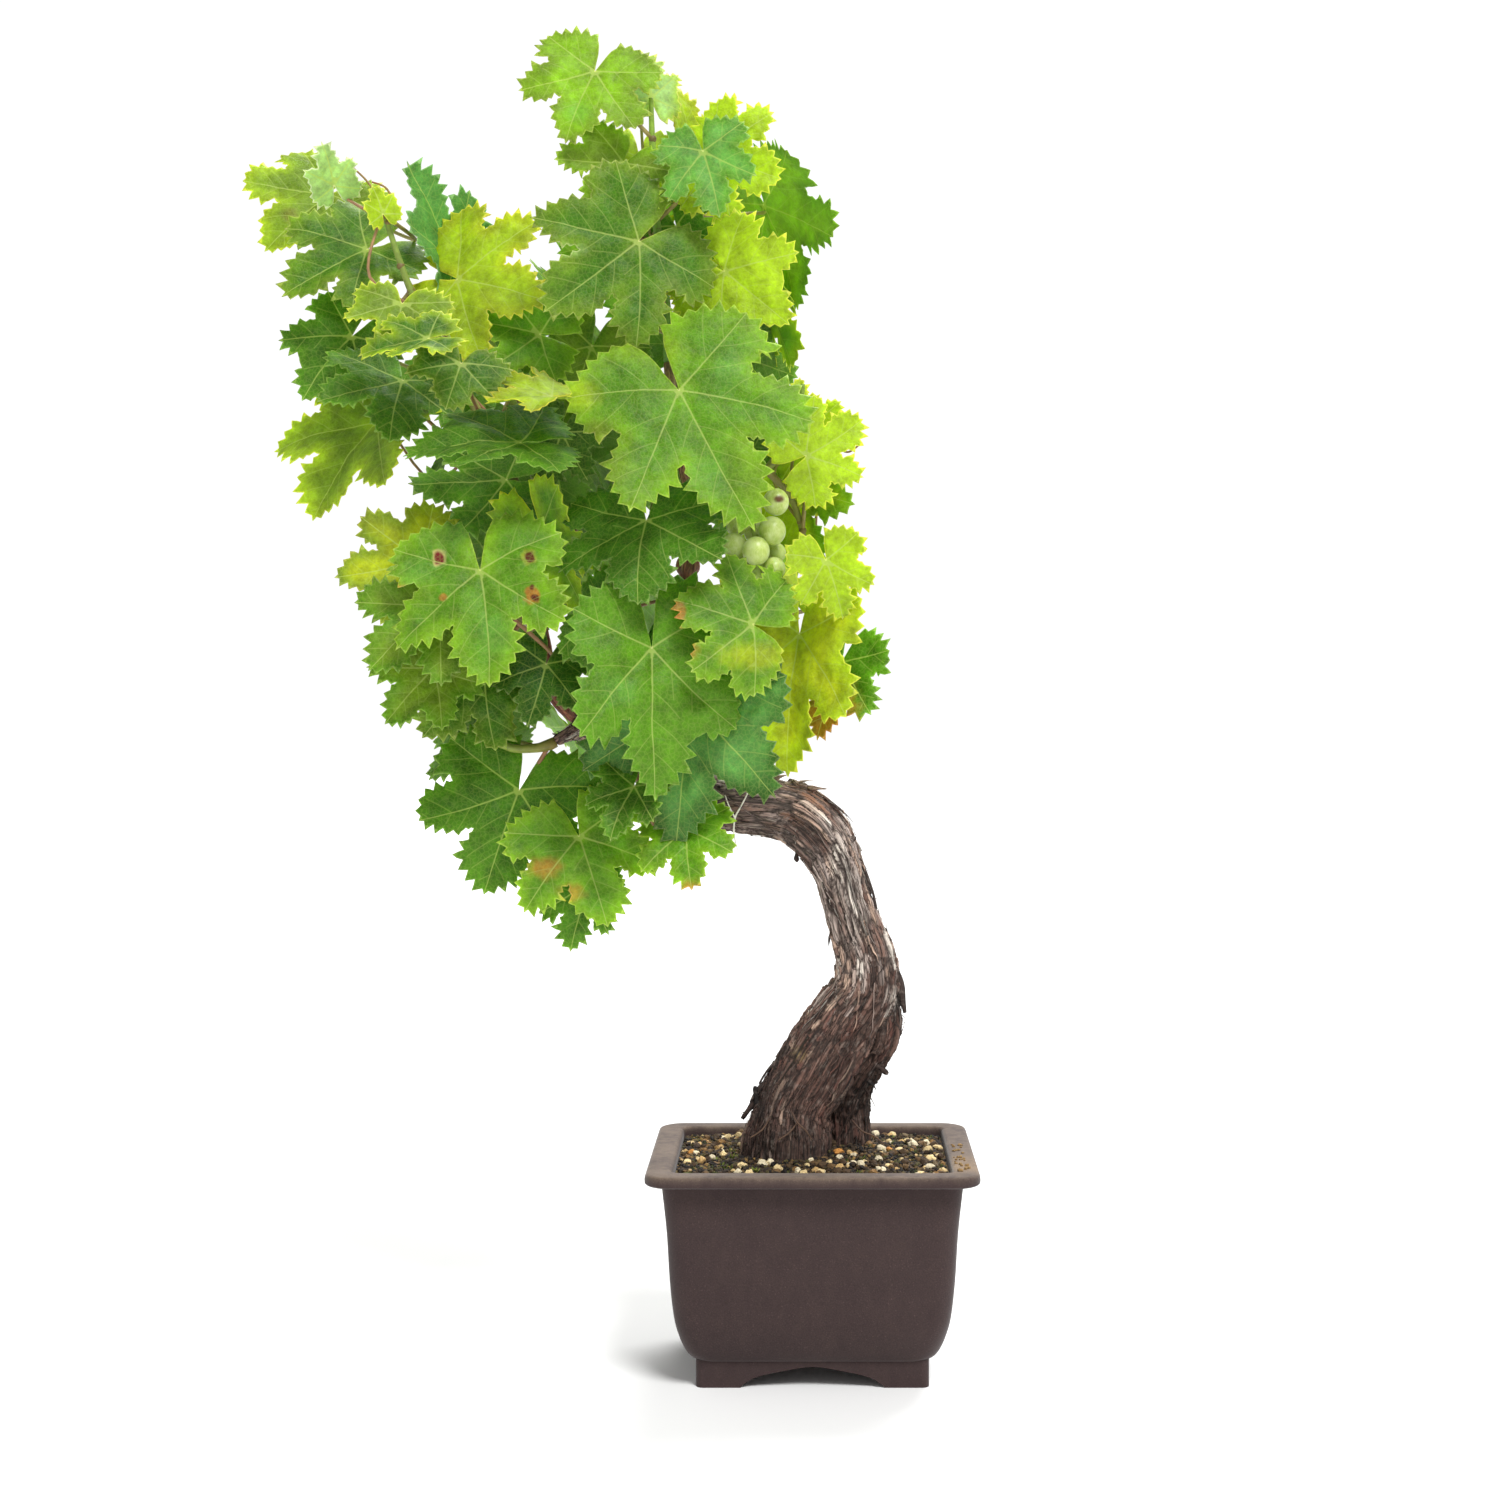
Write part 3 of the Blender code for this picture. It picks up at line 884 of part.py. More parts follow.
def main():
    clear_scene()
    home = bpy.data.collections.new("grapevine bonsai")
    bpy.context.scene.collection.children.link(home)
    stoneware = make_material("brown stoneware", (0.070, 0.045, 0.040), 0.75)
    plastic = make_material("drain mesh plastic", (0.02, 0.02, 0.02), 0.5)
    earth = make_material("gritty soil", (0.060, 0.045, 0.025), 0.95)
    wood = make_material("old vine bark", (0.130, 0.080, 0.055), 0.9)
    cane_wood = make_material("cane bark", (0.260, 0.090, 0.045), 0.6)
    foliage = make_material("vine leaf", (0.150, 0.320, 0.030), 0.5)
    grape = make_material("green grape", (0.420, 0.520, 0.180), 0.3)

    pieces = [make_pot(home, stoneware),
              make_drain_mesh("drain_mesh_left", -1, home, plastic),
              make_drain_mesh("drain_mesh_right", 1, home, plastic),
              make_soil(home, earth),
              grown_together("trunk", trunk_bodies(), home, wood)]
    pieces += [grown_together(name, cane_bodies(name), home, cane_wood) for name in CANE_ROUTES]
    pieces.append(grown_together("grape_bunch", bunch_bodies(), home, grape))

    # What the leaves hang clear of: the wood, the bunch and every green stem
    stems = {name: [seated_route(*stem)] + [seen_route(side, 2) for side in SIDE_STEMS.get(name, ())]
             for name, stem in SHOOT_STEMS.items()}
    canopy = Canopy()
    canopy.take("trunk", trunk_bodies())
    canopy.take("grape_bunch", bunch_bodies())
    canopy.shown += [sight(*berry[:3]) for berry in BERRIES]
    for name in CANE_ROUTES:
        canopy.take(name, cane_bodies(name))
    for name in stems:
        canopy.take(name, shoot_bodies(name, stems[name], []))

    leaves = {name: [] for name in stems}
    for node, blade in list(front_blades()) + list(back_blades(stems)):
        leaves[node].append(canopy.hang(blade, node, stems[node]))
    for name in stems:
        hung = [leaf for leaf in leaves[name] if leaf]
        pieces.append(grown_together(name, shoot_bodies(name, stems[name], hung), home, foliage))
    stand_on_origin(pieces)


main()
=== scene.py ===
import functools
import json
import math
import random
from collections import Counter

import bmesh
import bpy
import numpy as np
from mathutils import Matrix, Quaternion, Vector, noise
from mathutils.bvhtree import BVHTree
from mathutils.geometry import delaunay_2d_cdt

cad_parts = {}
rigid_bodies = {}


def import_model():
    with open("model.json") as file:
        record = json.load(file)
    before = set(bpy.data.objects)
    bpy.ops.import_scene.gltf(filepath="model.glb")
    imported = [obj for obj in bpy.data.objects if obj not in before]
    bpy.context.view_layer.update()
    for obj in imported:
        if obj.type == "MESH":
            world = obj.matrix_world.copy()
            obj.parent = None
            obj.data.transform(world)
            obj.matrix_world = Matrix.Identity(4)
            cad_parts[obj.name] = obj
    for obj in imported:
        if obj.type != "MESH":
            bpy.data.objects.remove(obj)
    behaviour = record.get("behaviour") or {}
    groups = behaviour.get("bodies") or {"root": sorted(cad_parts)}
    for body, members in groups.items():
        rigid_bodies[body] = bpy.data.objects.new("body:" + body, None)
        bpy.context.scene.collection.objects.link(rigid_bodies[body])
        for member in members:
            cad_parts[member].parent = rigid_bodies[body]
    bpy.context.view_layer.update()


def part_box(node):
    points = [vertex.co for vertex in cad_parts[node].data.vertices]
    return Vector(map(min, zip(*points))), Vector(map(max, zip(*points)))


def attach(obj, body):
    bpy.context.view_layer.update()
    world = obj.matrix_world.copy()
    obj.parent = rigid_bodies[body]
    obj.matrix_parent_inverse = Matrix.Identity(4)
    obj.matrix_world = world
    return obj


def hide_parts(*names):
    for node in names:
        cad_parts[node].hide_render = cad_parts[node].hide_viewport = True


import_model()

# Grapevine bonsai in its pot. Places are picture points with a depth, as the plant was drawn,
# and sight() turns them into places in space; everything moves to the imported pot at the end.
noise.seed_set(7)  # noise_vector() would otherwise start from the clock
mm = 0.001
gap = 0.3 * mm
eye = {"distance": 1.305, "height": 0.377, "focal": 2465.0, "middle": (812.5, 648.0),
       "frame": 1500, "sensor": 36}
potLow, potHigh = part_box("pot")
eyeAt = Vector((0, -eye["distance"], eye["height"]))
home = Vector(((potLow.x + potHigh.x) / 2, (potLow.y + potHigh.y) / 2, 0.0))


@functools.cache
def linear(hexCode):
    # sRGB hex to linear
    parts = [int(hexCode[i:i + 2], 16) / 255 for i in (1, 3, 5)]
    return tuple(part / 12.92 if part <= 0.04045 else ((part + 0.055) / 1.055) ** 2.4
                 for part in parts)


def colour(hexCode):
    return (*linear(hexCode), 1.0)


def clamp(value):
    return min(1.0, max(0.0, value))


def mixed(first, second, share):
    share = clamp(share)
    (a, b, c), (d, e, f) = first, second
    return a + (d - a) * share, b + (e - b) * share, c + (f - c) * share


def perMm(size):
    # The scale of a pattern in object space whose features are that many mm
    return 1000.0 / size


def addNode(tree, kind, inputs=(), stops=None, out=0, **settings):
    # One node with its settings, its inputs' values or links by name or in order, and its
    # ramp's stops; it gives the output that is asked for
    made = tree.nodes.new("ShaderNode" + kind)
    for name, value in settings.items():
        setattr(made, name, value)
    for name, value in inputs.items() if isinstance(inputs, dict) else enumerate(inputs):
        if isinstance(value, bpy.types.NodeSocket):
            tree.links.new(value, made.inputs[name])
        else:
            made.inputs[name].default_value = value
    if stops:
        marks = made.color_ramp.elements
        while len(marks) < len(stops):
            marks.new(0.5)
        for mark, (place, value) in zip(marks, stops):
            mark.position = place
            mark.color = colour(value) if isinstance(value, str) else (value, value, value, 1.0)
    return made.outputs[out]


# What a colour Mix node is told, and one that multiplies; its first input is the share and its
# sixth and seventh are the colours
rgba = {"data_type": "RGBA", "out": 2}
times = {**rgba, "blend_type": "MULTIPLY"}


def dress(tree, shader, tone, relief, strength, distance):
    # The colour over the surface, if it varies, and the bump
    if tone:
        tree.links.new(tone, shader.inputs["Base Color"])
    bump = addNode(tree, "Bump", {"Height": relief, "Strength": strength, "Distance": distance})
    tree.links.new(bump, shader.inputs["Normal"])


def startMaterial(name, **values):
    # A Principled material with its plain values set on the shader's own sockets
    material = bpy.data.materials.new(name)
    material.use_nodes = True
    tree = material.node_tree
    shader = tree.nodes["Principled BSDF"]
    for socket, value in values.items():
        shader.inputs[socket.replace("_", " ")].default_value = value
    return material, tree, shader


def addPiece(name, bm, material, nodes=(), smooth=True):
    # A finished bmesh as a piece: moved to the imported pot, riding on the part's one body
    bmesh.ops.translate(bm, vec=home, verts=bm.verts[:])
    mesh = bpy.data.meshes.new(name)
    bm.to_mesh(mesh)
    bm.free()
    if smooth:
        mesh.shade_smooth()
    mesh.materials.append(material)
    piece = bpy.data.objects.new(name, mesh)
    bpy.context.scene.collection.objects.link(piece)
    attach(piece, "root")
    if nodes:
        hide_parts(*nodes)
    return piece


def meshWith(bm, name, modifier, **settings):
    # The bmesh with one modifier applied, as a new bmesh
    mesh = bpy.data.meshes.new(name)
    bm.to_mesh(mesh)
    bm.free()
    holder = bpy.data.objects.new(name, mesh)
    bpy.context.scene.collection.objects.link(holder)
    step = holder.modifiers.new(name, modifier)
    for key, value in settings.items():
        setattr(step, key, value)
    bpy.context.view_layer.update()
    solved = holder.evaluated_get(bpy.context.evaluated_depsgraph_get()).to_mesh()
    result = bmesh.new()
    result.from_mesh(solved)
    bpy.data.objects.remove(holder, do_unlink=True)
    bpy.data.meshes.remove(mesh)
    return result


def skinRows(bm, rows):
    # Faces between rows of corners of like count, and one at each end
    for low, high in zip(rows, rows[1:]):
        for i in range(len(low)):
            j = (i + 1) % len(low)
            bm.faces.new((low[i], low[j], high[j], high[i]))
    bm.faces.new(rows[0][::-1])
    bm.faces.new(rows[-1])


def addLayer(bm, name, kind="float"):
    layers = getattr(bm.verts.layers, kind)
    return layers.get(name) or layers.new(name)


def ovalAway(px, py, mark):
    # How far a picture point is from a mark's middle, in its half sizes
    return math.hypot((px - mark[0]) / mark[2], (py - mark[1]) / mark[3])


def toPicture(place):
    # Where a place in plan space is seen in the picture
    reach = eye["distance"] + place.y
    across = place.x * eye["focal"] / reach + eye["middle"][0]
    return across, eye["middle"][1] - (place.z - eye["height"]) * eye["focal"] / reach


# How the leaves were hung; sizes in metres, a blade's outline as angle from its tip and
# radius in blade lengths. These decide where every blade lies, so they are the solid's own.
leafPlan = {
    "outline": ((20, 0.79), (28, 0.53), (37, 0.74), (52, 0.92), (68, 0.78), (79, 0.56),
                (89, 0.73), (111, 0.76), (139, 0.60), (164, 0.42)),
    "young": ((19, 0.80), (30, 0.60), (50, 0.90), (75, 0.64), (108, 0.72), (154, 0.48)),
    "youngLength": 0.030, "midrib": (0, 0.50), "thick": 0.9 * mm, "clear": 1.5 * mm,
    "stalkR": 1.15 * mm, "stalkReach": 0.045, "stalkSeat": 0.07, "stalkDrop": 3.5 * mm,
    "nodeSpace": 5.0 * mm, "starts": 24, "stalkClear": 0.7 * mm, "stalkShared": 8.0 * mm,
    "sharpest": -0.15, "stemStart": 3.0 * mm, "turn": 14, "tip": 13, "shown": 0.75,
    "depthSteps": (0, 5, 10, 15, -5, 20, 26, -10, 32, 40, -15, 50, -20, 60),
    "rules": ((1.0, True, True), (1.0, False, True), (1.0, True, False), (0.85, True, True),
              (0.85, False, True), (0.85, False, False)),
    "bows": ((0.0, 0.0), (0.35, 0.0), (-0.35, 0.0), (0.0, 0.4), (0.0, -0.4), (0.5, 0.5), (-0.5, 0.5),
             (0.5, -0.5), (-0.5, -0.5)),
}
# Flakes of bark on the solid's trunk, and the radius above which its berries have more faces
flakePlan = {"count": 10, "half": (2.2, 3.6), "long": (14, 22), "lift": (2.5, 4.5),
             "thick": 1.6 * mm, "seat": 0.93}
smallBerry = 11.5
pedicelR = 0.75 * mm

# The limbs as rows of picture point, depth and radius in mm. A root is named by its side, and
# a cane, spur or shoot stands on the limb that is named before it.
trunkRoute = ((786, 1205, 0, 18), (788, 1160, 0, 22.5), (790, 1135, 0, 22), (793, 1105, 0, 19.5),
              (810, 1075, 1, 20.5), (826, 1046, 2, 19.8), (845, 1016, 3, 18.0), (864, 988, 3, 16.8),
              (864, 957, 3, 14.8), (856, 930, 3, 13.4), (847, 900, 3, 12.8), (838, 868, 3, 13.8),
              (823, 838, 2, 15.6), (797, 814, 1, 16.2), (765, 805, 0, 15.0), (735, 803, -2, 14.6),
              (703, 797, -3, 13.4), (668, 776, -3, 11.5), (632, 750, -2, 10.6), (598, 728, 0, 10.2),
              (578, 716, 1, 8.6))
rootLeft = ((788, 1072, 2, 6), (771, 1105, -2, 7), (758, 1140, -3, 8.5), (753, 1175, -3, 7))
rootRight = ((868, 975, 8, 9), (877, 1002, 9, 11.5), (876, 1032, 12, 12.8), (856, 1062, 18, 14.5),
             (841, 1095, 24, 15.5), (841, 1135, 28, 16), (838, 1185, 28, 13))
rootBack = ((826, 1050, 14, 10), (804, 1090, 27, 13), (800, 1135, 34, 13), (796, 1180, 35, 9))
stubs = (((735, 800, -2, 7), (722, 780, 16, 4.5)), ((640, 757, 0, 7), (655, 785, 8, 5)),
         ((600, 735, 0, 7), (606, 752, -6, 5.5)))
caneSeats = {"cane_left": trunkRoute, "cane_centre": ((603, 729, 1, 7), (606, 709, 7, 5.6))}
caneBaseR = 4.8 * mm
caneRoutes = {
    "cane_left": ((553, 690, 4, 4.2), (543, 640, 6, 4.0), (530, 585, 6, 3.8),
                  (519, 530, 4, 3.5), (514, 488, 2, 3.1)),
    "cane_centre": ((632, 672, 10, 4.5), (663, 630, 8, 4.4), (684, 588, 4, 4.2),
                    (692, 550, 2, 4.0), (690, 505, 3, 3.8), (682, 450, 6, 3.5), (672, 392, 8, 3.2),
                    (669, 362, 8, 3.0)),
}
spurs = {
    "cane_left": (((541, 632, 6, 3.2), (536, 627, -4, 3.2), (528, 622, -11, 2.6)),
                  ((533, 600, 6, 3.2), (540, 592, 15, 3.2), (544, 583, 22, 2.6))),
    "cane_centre": (((680, 596, 5, 3.2), (676, 600, -5, 3.2), (671, 600, -13, 2.6)),
                    ((691, 528, 3, 3.2), (702, 520, 2, 3.2), (714, 512, 0, 2.6)),
                    ((689, 500, 3, 3.2), (690, 492, 12, 3.2), (692, 482, 20, 2.6))),
}
caneKnot = (688, 566, 3, 6.5)
trunkSpurs = (((600, 735, 0, 5), (612, 748, -10, 4.4), (622, 757, -18, 2.8)),
              ((590, 722, 0, 6), (572, 733, -4, 4.4), (556, 742, -6, 2.8)))
shootStems = {
    "shoot_top": (caneRoutes["cane_centre"],
                  ((667, 320, 6, 2.7), (662, 270, 4, 2.5), (657, 225, 2, 2.2), (654, 180, 2, 1.9),
                   (652, 135, 1, 1.6), (651, 98, 0, 1.2))),
    "shoot_left": (caneRoutes["cane_left"],
                   ((500, 452, 0, 2.7), (474, 405, -2, 2.5), (446, 358, -3, 2.3),
                    (420, 312, -4, 2.0), (400, 262, -5, 1.7), (384, 212, -6, 1.3))),
    "shoot_left_front": (spurs["cane_left"][0],
                         ((505, 616, -26, 2.4), (480, 606, -34, 2.2), (452, 592, -36, 2.0),
                          (424, 574, -36, 1.6))),
    "shoot_middle": (spurs["cane_centre"][0],
                     ((655, 588, -26, 2.5), (650, 555, -33, 2.4), (654, 510, -34, 2.2),
                      (664, 462, -34, 2.0), (672, 424, -36, 1.6))),
    "shoot_right": (spurs["cane_centre"][1],
                    ((740, 492, -3, 2.4), (768, 468, -4, 2.2), (790, 436, -3, 1.9),
                     (800, 405, -2, 1.5), (803, 384, -2, 1.1))),
    "shoot_low": (trunkSpurs[0],
                  ((640, 764, -28, 2.5), (660, 768, -32, 2.2), (676, 778, -33, 1.8))),
    "shoot_low_left": (trunkSpurs[1],
                       ((536, 748, -9, 2.5), (512, 748, -12, 2.2), (488, 738, -14, 1.8))),
    "shoot_back_left": (spurs["cane_left"][1],
                        ((548, 560, 42, 2.5), (540, 500, 54, 2.4), (522, 430, 58, 2.2),
                         (500, 365, 56, 1.9), (480, 310, 50, 1.5))),
    "shoot_back_right": (spurs["cane_centre"][2],
                         ((698, 455, 38, 2.5), (704, 400, 48, 2.4), (704, 330, 52, 2.2),
                          (696, 260, 50, 1.9), (690, 205, 44, 1.5))),
}
sideStems = {"shoot_right": (((766, 470, -4, 2.0), (792, 500, 12, 1.8), (808, 556, 17, 1.5),
                              (814, 612, 12, 1.1)),)}
# The leaves that the photograph shows: shoot, where the junction and the tip are seen with
# their depths in mm, roll in degrees, fold, arch, cup and width, and the tones from its middle
# to its margin. The lime and yellow of the leaves at the top and on the right are partly their
# young colour and partly painted glow of light coming through them.
leafRows = (
    # Sheen and blue tones in these rows are painted reflection, the pale blue-green shine of the waxy
    # top
    ("middle", 679, 390, -62, 753, 526, -72, 0, 0.1, 0.16, 0.1, 0.86, "fresh bright"),
    ("left_front", 480, 570, -68, 489, 684, -76, 0, 0.1, 0.14, 0.12, 0.97, "fresh bright"),
    ("low", 652, 648, -60, 656, 797, -66, -12, 0.18, 0.16, 0.1, 0.72, "fresh fresh"),
    ("right", 753, 624, -58, 676, 600, -60, 8, 0.1, 0.22, 0.34, 1.12, "fresh bright"),
    ("middle", 594, 616, -54, 642, 646, -66, 5, 0.12, 0.14, 0.12, 1.3, "green fresh"),
    ("middle", 646, 520, -42, 638, 602, -58, 4, 0.1, 0.12, 0.1, 1.21, "green green"),
    ("low", 690, 702, -42, 676, 842, -48, 10, 0.12, 0.14, 0.1, 0.95, "blue deep"),
    ("right", 799, 634, -44, 787, 773, -48, 30, 0.3, 0.14, 0.12, 0.74, "yellow lime"),
    ("left_front", 541, 528, -56, 587, 615, -62, 38, 0.34, 0.16, 0.1, 0.74, "fresh lime"),
    ("top", 639, 241, -26, 546, 310, -38, 0, 0.14, 0.16, 0.14, 0.91, "green olive"),
    ("left_front", 438, 608, -48, 370, 668, -56, 6, 0.14, 0.16, 0.12, 0.93, "olive fresh"),
    ("left_front", 420, 560, -50, 337, 577, -46, -10, 0.22, 0.14, 0.12, 0.88, "yellow olive"),
    ("left", 402, 303, -34, 392, 346, -48, 0, 0.12, 0.16, 0.14, 1.44, "olive lime"),
    ("left", 461, 363, -38, 446, 408, -54, 4, 0.1, 0.16, 0.12, 1.4, "green olive"),
    ("left", 403, 380, -36, 390, 440, -48, -4, 0.12, 0.16, 0.14, 1.26, "green fresh"),
    ("left", 376, 422, -32, 315, 518, -40, 26, 0.34, 0.16, 0.12, 0.88, "olive lime"),
    ("left", 520, 442, -34, 407, 456, -44, 48, 0.2, 0.18, 0.1, 0.79, "green fresh"),
    ("left", 457, 279, -10, 545, 300, -16, 0, 0.1, 0.14, 0.12, 1.04, "lime yellow"),
    ("left", 367, 249, -22, 284, 293, -30, 14, 0.24, 0.2, 0.16, 0.84, "green olive"),
    ("left", 329, 194, -6, 266, 248, -12, 6, 0.16, 0.18, 0.16, 1.07, "olive lime"),
    ("left", 334, 186, 2, 322, 143, -4, 10, 0.3, 0.12, 0.2, 0.79, "pale pale"),
    ("left", 352, 336, -12, 303, 398, -18, 10, 0.16, 0.18, 0.12, 0.88, "green fresh"),
    ("left", 428, 338, -44, 360, 356, -50, 44, 0.26, 0.16, 0.1, 0.74, "green lime"),
    ("left", 454, 268, 14, 408, 164, 10, 56, 0.3, 0.12, 0.1, 0.74, "blue blue"),
    ("left", 383, 214, -12, 372, 186, -14, 10, 0.3, 0.1, 0.1, 0.84, "lime lime"),
    ("left", 552, 396, -44, 487, 402, -50, 50, 0.26, 0.12, 0.1, 0.79, "lime yellow"),
    ("left", 540, 334, -18, 458, 322, -24, 4, 0.14, 0.16, 0.12, 0.79, "fresh bright"),
    ("left", 592, 346, -28, 562, 424, -36, -8, 0.14, 0.16, 0.12, 0.88, "olive green"),
    ("left", 376, 396, -8, 334, 424, -12, 8, 0.2, 0.12, 0.12, 0.93, "lime lime"),
    ("left", 506, 480, -14, 411, 484, -20, -42, 0.2, 0.14, 0.1, 0.79, "green fresh"),
    ("left", 527, 486, -8, 558, 541, -12, 0, 0.14, 0.12, 0.12, 0.98, "deep green"),
    ("left", 562, 432, -34, 541, 490, -40, -12, 0.2, 0.14, 0.1, 0.84, "moss moss"),
    ("left_front", 434, 668, -32, 386, 722, -36, 6, 0.16, 0.14, 0.12, 0.93, "olive fresh"),
    ("left_front", 484, 672, -26, 424, 736, -30, -6, 0.16, 0.14, 0.12, 0.98, "green olive"),
    ("left_front", 546, 664, -22, 524, 736, -28, 4, 0.14, 0.14, 0.12, 0.93, "deep moss"),
    ("left_front", 606, 650, -36, 566, 737, -40, 34, 0.24, 0.14, 0.1, 0.84, "green fresh"),
    ("low_left", 519, 790, -22, 485, 891, -30, 0, 0.12, 0.14, 0.12, 1.1, "green fresh"),
    ("low_left", 540, 738, -8, 502, 838, -12, 0, 0.12, 0.14, 0.12, 1.13, "green fresh"),
    ("low", 579, 836, -26, 607, 924, -34, 0, 0.14, 0.14, 0.12, 1.02, "fresh bright"),
    ("low", 586, 884, -18, 570, 950, -20, 24, 0.26, 0.12, 0.1, 0.79, "green fresh"),
    ("low", 686, 829, -34, 692, 898, -42, 0, 0.18, 0.2, 0.2, 0.98, "fresh bright"),
    ("low", 634, 786, -24, 606, 848, -28, 22, 0.22, 0.14, 0.1, 0.88, "green fresh"),
    ("top", 595, 71, -8, 566, 141, -20, 0, 0.12, 0.16, 0.14, 1.07, "bright olive"),
    ("top", 652, 98, -3, 648, 53, -5, 20, 0.3, 0.12, 0.16, 0.79, "pale lime"),
    ("top", 640, 80, 3, 617, 60, 3, 0, 0.2, 0.12, 0.1, 0.88, "lime lime"),
    ("top", 690, 152, -6, 678, 87, -12, 52, 0.26, 0.14, 0.12, 0.79, "lime yellow"),
    ("top", 703, 151, -24, 719, 215, -32, 16, 0.14, 0.14, 0.12, 0.93, "sheen fresh"),
    ("top", 716, 158, -2, 779, 178, 2, 0, 0.12, 0.12, 0.1, 1.23, "lime lime"),
    ("top", 624, 163, -30, 592, 212, -38, 6, 0.44, 0.14, 0.1, 1.26, "olive bright"),
    ("top", 640, 158, 10, 640, 220, 4, 0, 0.12, 0.12, 0.1, 0.88, "lime lime"),
    ("top", 676, 226, -6, 704, 284, -12, 12, 0.2, 0.14, 0.12, 0.84, "green fresh"),
    ("top", 654, 240, -22, 694, 286, -30, 34, 0.34, 0.2, 0.16, 0.79, "bright lime"),
    ("top", 724, 271, -12, 798, 332, -20, 0, 0.14, 0.16, 0.14, 0.93, "lime lime"),
    ("top", 702, 286, 12, 716, 328, 10, 4, 0.14, 0.12, 0.1, 0.93, "lime yellow"),
    ("top", 706, 326, 4, 764, 352, 2, 22, 0.2, 0.14, 0.1, 0.88, "fresh lime"),
    ("right", 764, 586, -6, 788, 642, -10, 0, 0.14, 0.12, 0.1, 1.02, "bright lime"),
    ("right", 770, 514, 14, 758, 594, 12, 0, 0.12, 0.12, 0.1, 0.98, "green fresh"),
    ("right", 779, 484, 2, 822, 577, -4, 26, 0.26, 0.16, 0.12, 0.84, "lime fresh"),
    ("right", 806, 456, -2, 862, 420, -6, 10, 0.2, 0.14, 0.12, 0.93, "lime lime"),
    ("right", 797, 414, -8, 800, 378, -10, 10, 0.26, 0.12, 0.1, 0.84, "lime yellow"),
    ("right", 812, 428, 4, 840, 402, 4, 14, 0.24, 0.12, 0.1, 0.84, "lime lime"),
    ("right", 814, 488, -14, 846, 506, -18, 14, 0.2, 0.12, 0.1, 0.88, "yellow lime"),
    ("right", 826, 560, -16, 843, 619, -20, 12, 0.24, 0.12, 0.1, 0.84, "lime lime"),
    ("right", 842, 662, -10, 818, 738, -14, 26, 0.22, 0.12, 0.1, 0.88, "green fresh"),
)
# Those at the back and under the arm: shoot, how many, and length in metres
backLeaves = (("shoot_back_left", 9, 0.058), ("shoot_back_right", 9, 0.056),
              ("shoot_low_left", 2, 0.050), ("shoot_right", 1, 0.046))
# Berries: picture point, depth in mm and radius in picture points
berries = ((737, 525, -16, 11), (776, 502, -22, 13), (772, 531, -26, 14), (734, 546, -26, 12.5),
           (756, 551, -34, 13.8), (776, 553, -14, 10), (774, 569, -27, 11.5), (751, 574, -26, 11.5),
           (762, 586, -20, 9), (744, 560, -8, 11), (761, 566, -8, 10), (757, 532, -6, 13),
           (752, 512, -24, 10))
bunchSeat = ((750, 484, -3.4, 1.9), (749, 491, -10, 1.6))
bunchStalk = ((750, 506, -17, 1.5), (753, 525, -19, 1.5), (757, 548, -20, 1.4), (760, 572, -19, 1.0))
tendrils = (("shoot_left", ((386, 218, -6, 0.7), (377, 196, -2, 0.7), (366, 180, 0, 0.6),
                            (350, 165, 1, 0.5))),
            ("shoot_left", ((388, 224, -6, 0.7), (393, 204, 2, 0.7), (386, 188, 4, 0.6),
                            (372, 182, 6, 0.5))),
            ("shoot_top", ((665, 300, 5, 0.8), (652, 296, -12, 0.7), (642, 306, -14, 0.6),
                           (636, 322, -12, 0.5))),
            ("shoot_right", ((790, 436, -3, 0.7), (826, 440, 8, 0.7), (846, 452, 14, 0.6),
                             (858, 446, 12, 0.5))))


def sight(px, py, depth):
    # The place seen at a picture point, on the upright plane that far behind the middle
    reach = eye["distance"] + depth * mm
    across = (px - eye["middle"][0]) * reach / eye["focal"]
    return Vector((across, depth * mm, eye["height"] - (py - eye["middle"][1]) * reach
                   / eye["focal"]))


def smoothRoute(points, steps):
    # A Catmull-Rom curve through given points, whose last value is a radius
    rows = [points[0]] + list(points) + [points[-1]]
    route = []
    for i in range(1, len(rows) - 2):
        before, start, end, after = rows[i - 1:i + 3]
        for k in range(steps):
            t = k / steps
            place = 0.5 * (2 * start[0] + (end[0] - before[0]) * t
                           + (2 * before[0] - 5 * start[0] + 4 * end[0] - after[0]) * t ** 2
                           + (3 * start[0] - before[0] - 3 * end[0] + after[0]) * t ** 3)
            route.append((place, start[1] + (end[1] - start[1]) * t))
    route.append(points[-1])
    return route


def seenRoute(points, steps):
    # Picture points with depth and radius in mm
    return smoothRoute([(sight(px, py, depth), radius * mm) for px, py, depth, radius in points],
                       steps)


def seatedRoute(seat, points, radius=None, steps=2):
    # Face to face with the end of what carries it, straight at first
    (before, wide), (end, thin) = seenRoute(seat, 2)[-2:]
    radius = radius or thin
    ahead = (end - before).normalized()
    start = end + ahead * gap
    bend = start + ahead * leafPlan["stemStart"]
    above = [(sight(px, py, depth), thick * mm) for px, py, depth, thick in points]
    return [(start, radius)] + smoothRoute([(bend, radius)] + above, steps)


def limbFrames(route):
    # Along a limb, turned as little as possible from one to the next: place, radius, along,
    # side, over and the distance from its start
    steps = [(after[0] - before[0]).normalized() for before, after in zip(route, route[1:])]
    side = Vector((1, 0, 0)) if abs(steps[0].x) < 0.9 else Vector((0, 0, 1))
    frames, travelled = [], 0.0
    for i, (place, radius) in enumerate(route):
        ahead = (steps[max(i - 1, 0)] + steps[min(i, len(steps) - 1)]).normalized()
        side = (side - ahead * side.dot(ahead)).normalized()
        travelled += (place - route[max(i - 1, 0)][0]).length
        frames.append((place, radius, ahead, side, ahead.cross(side), travelled))
    return frames


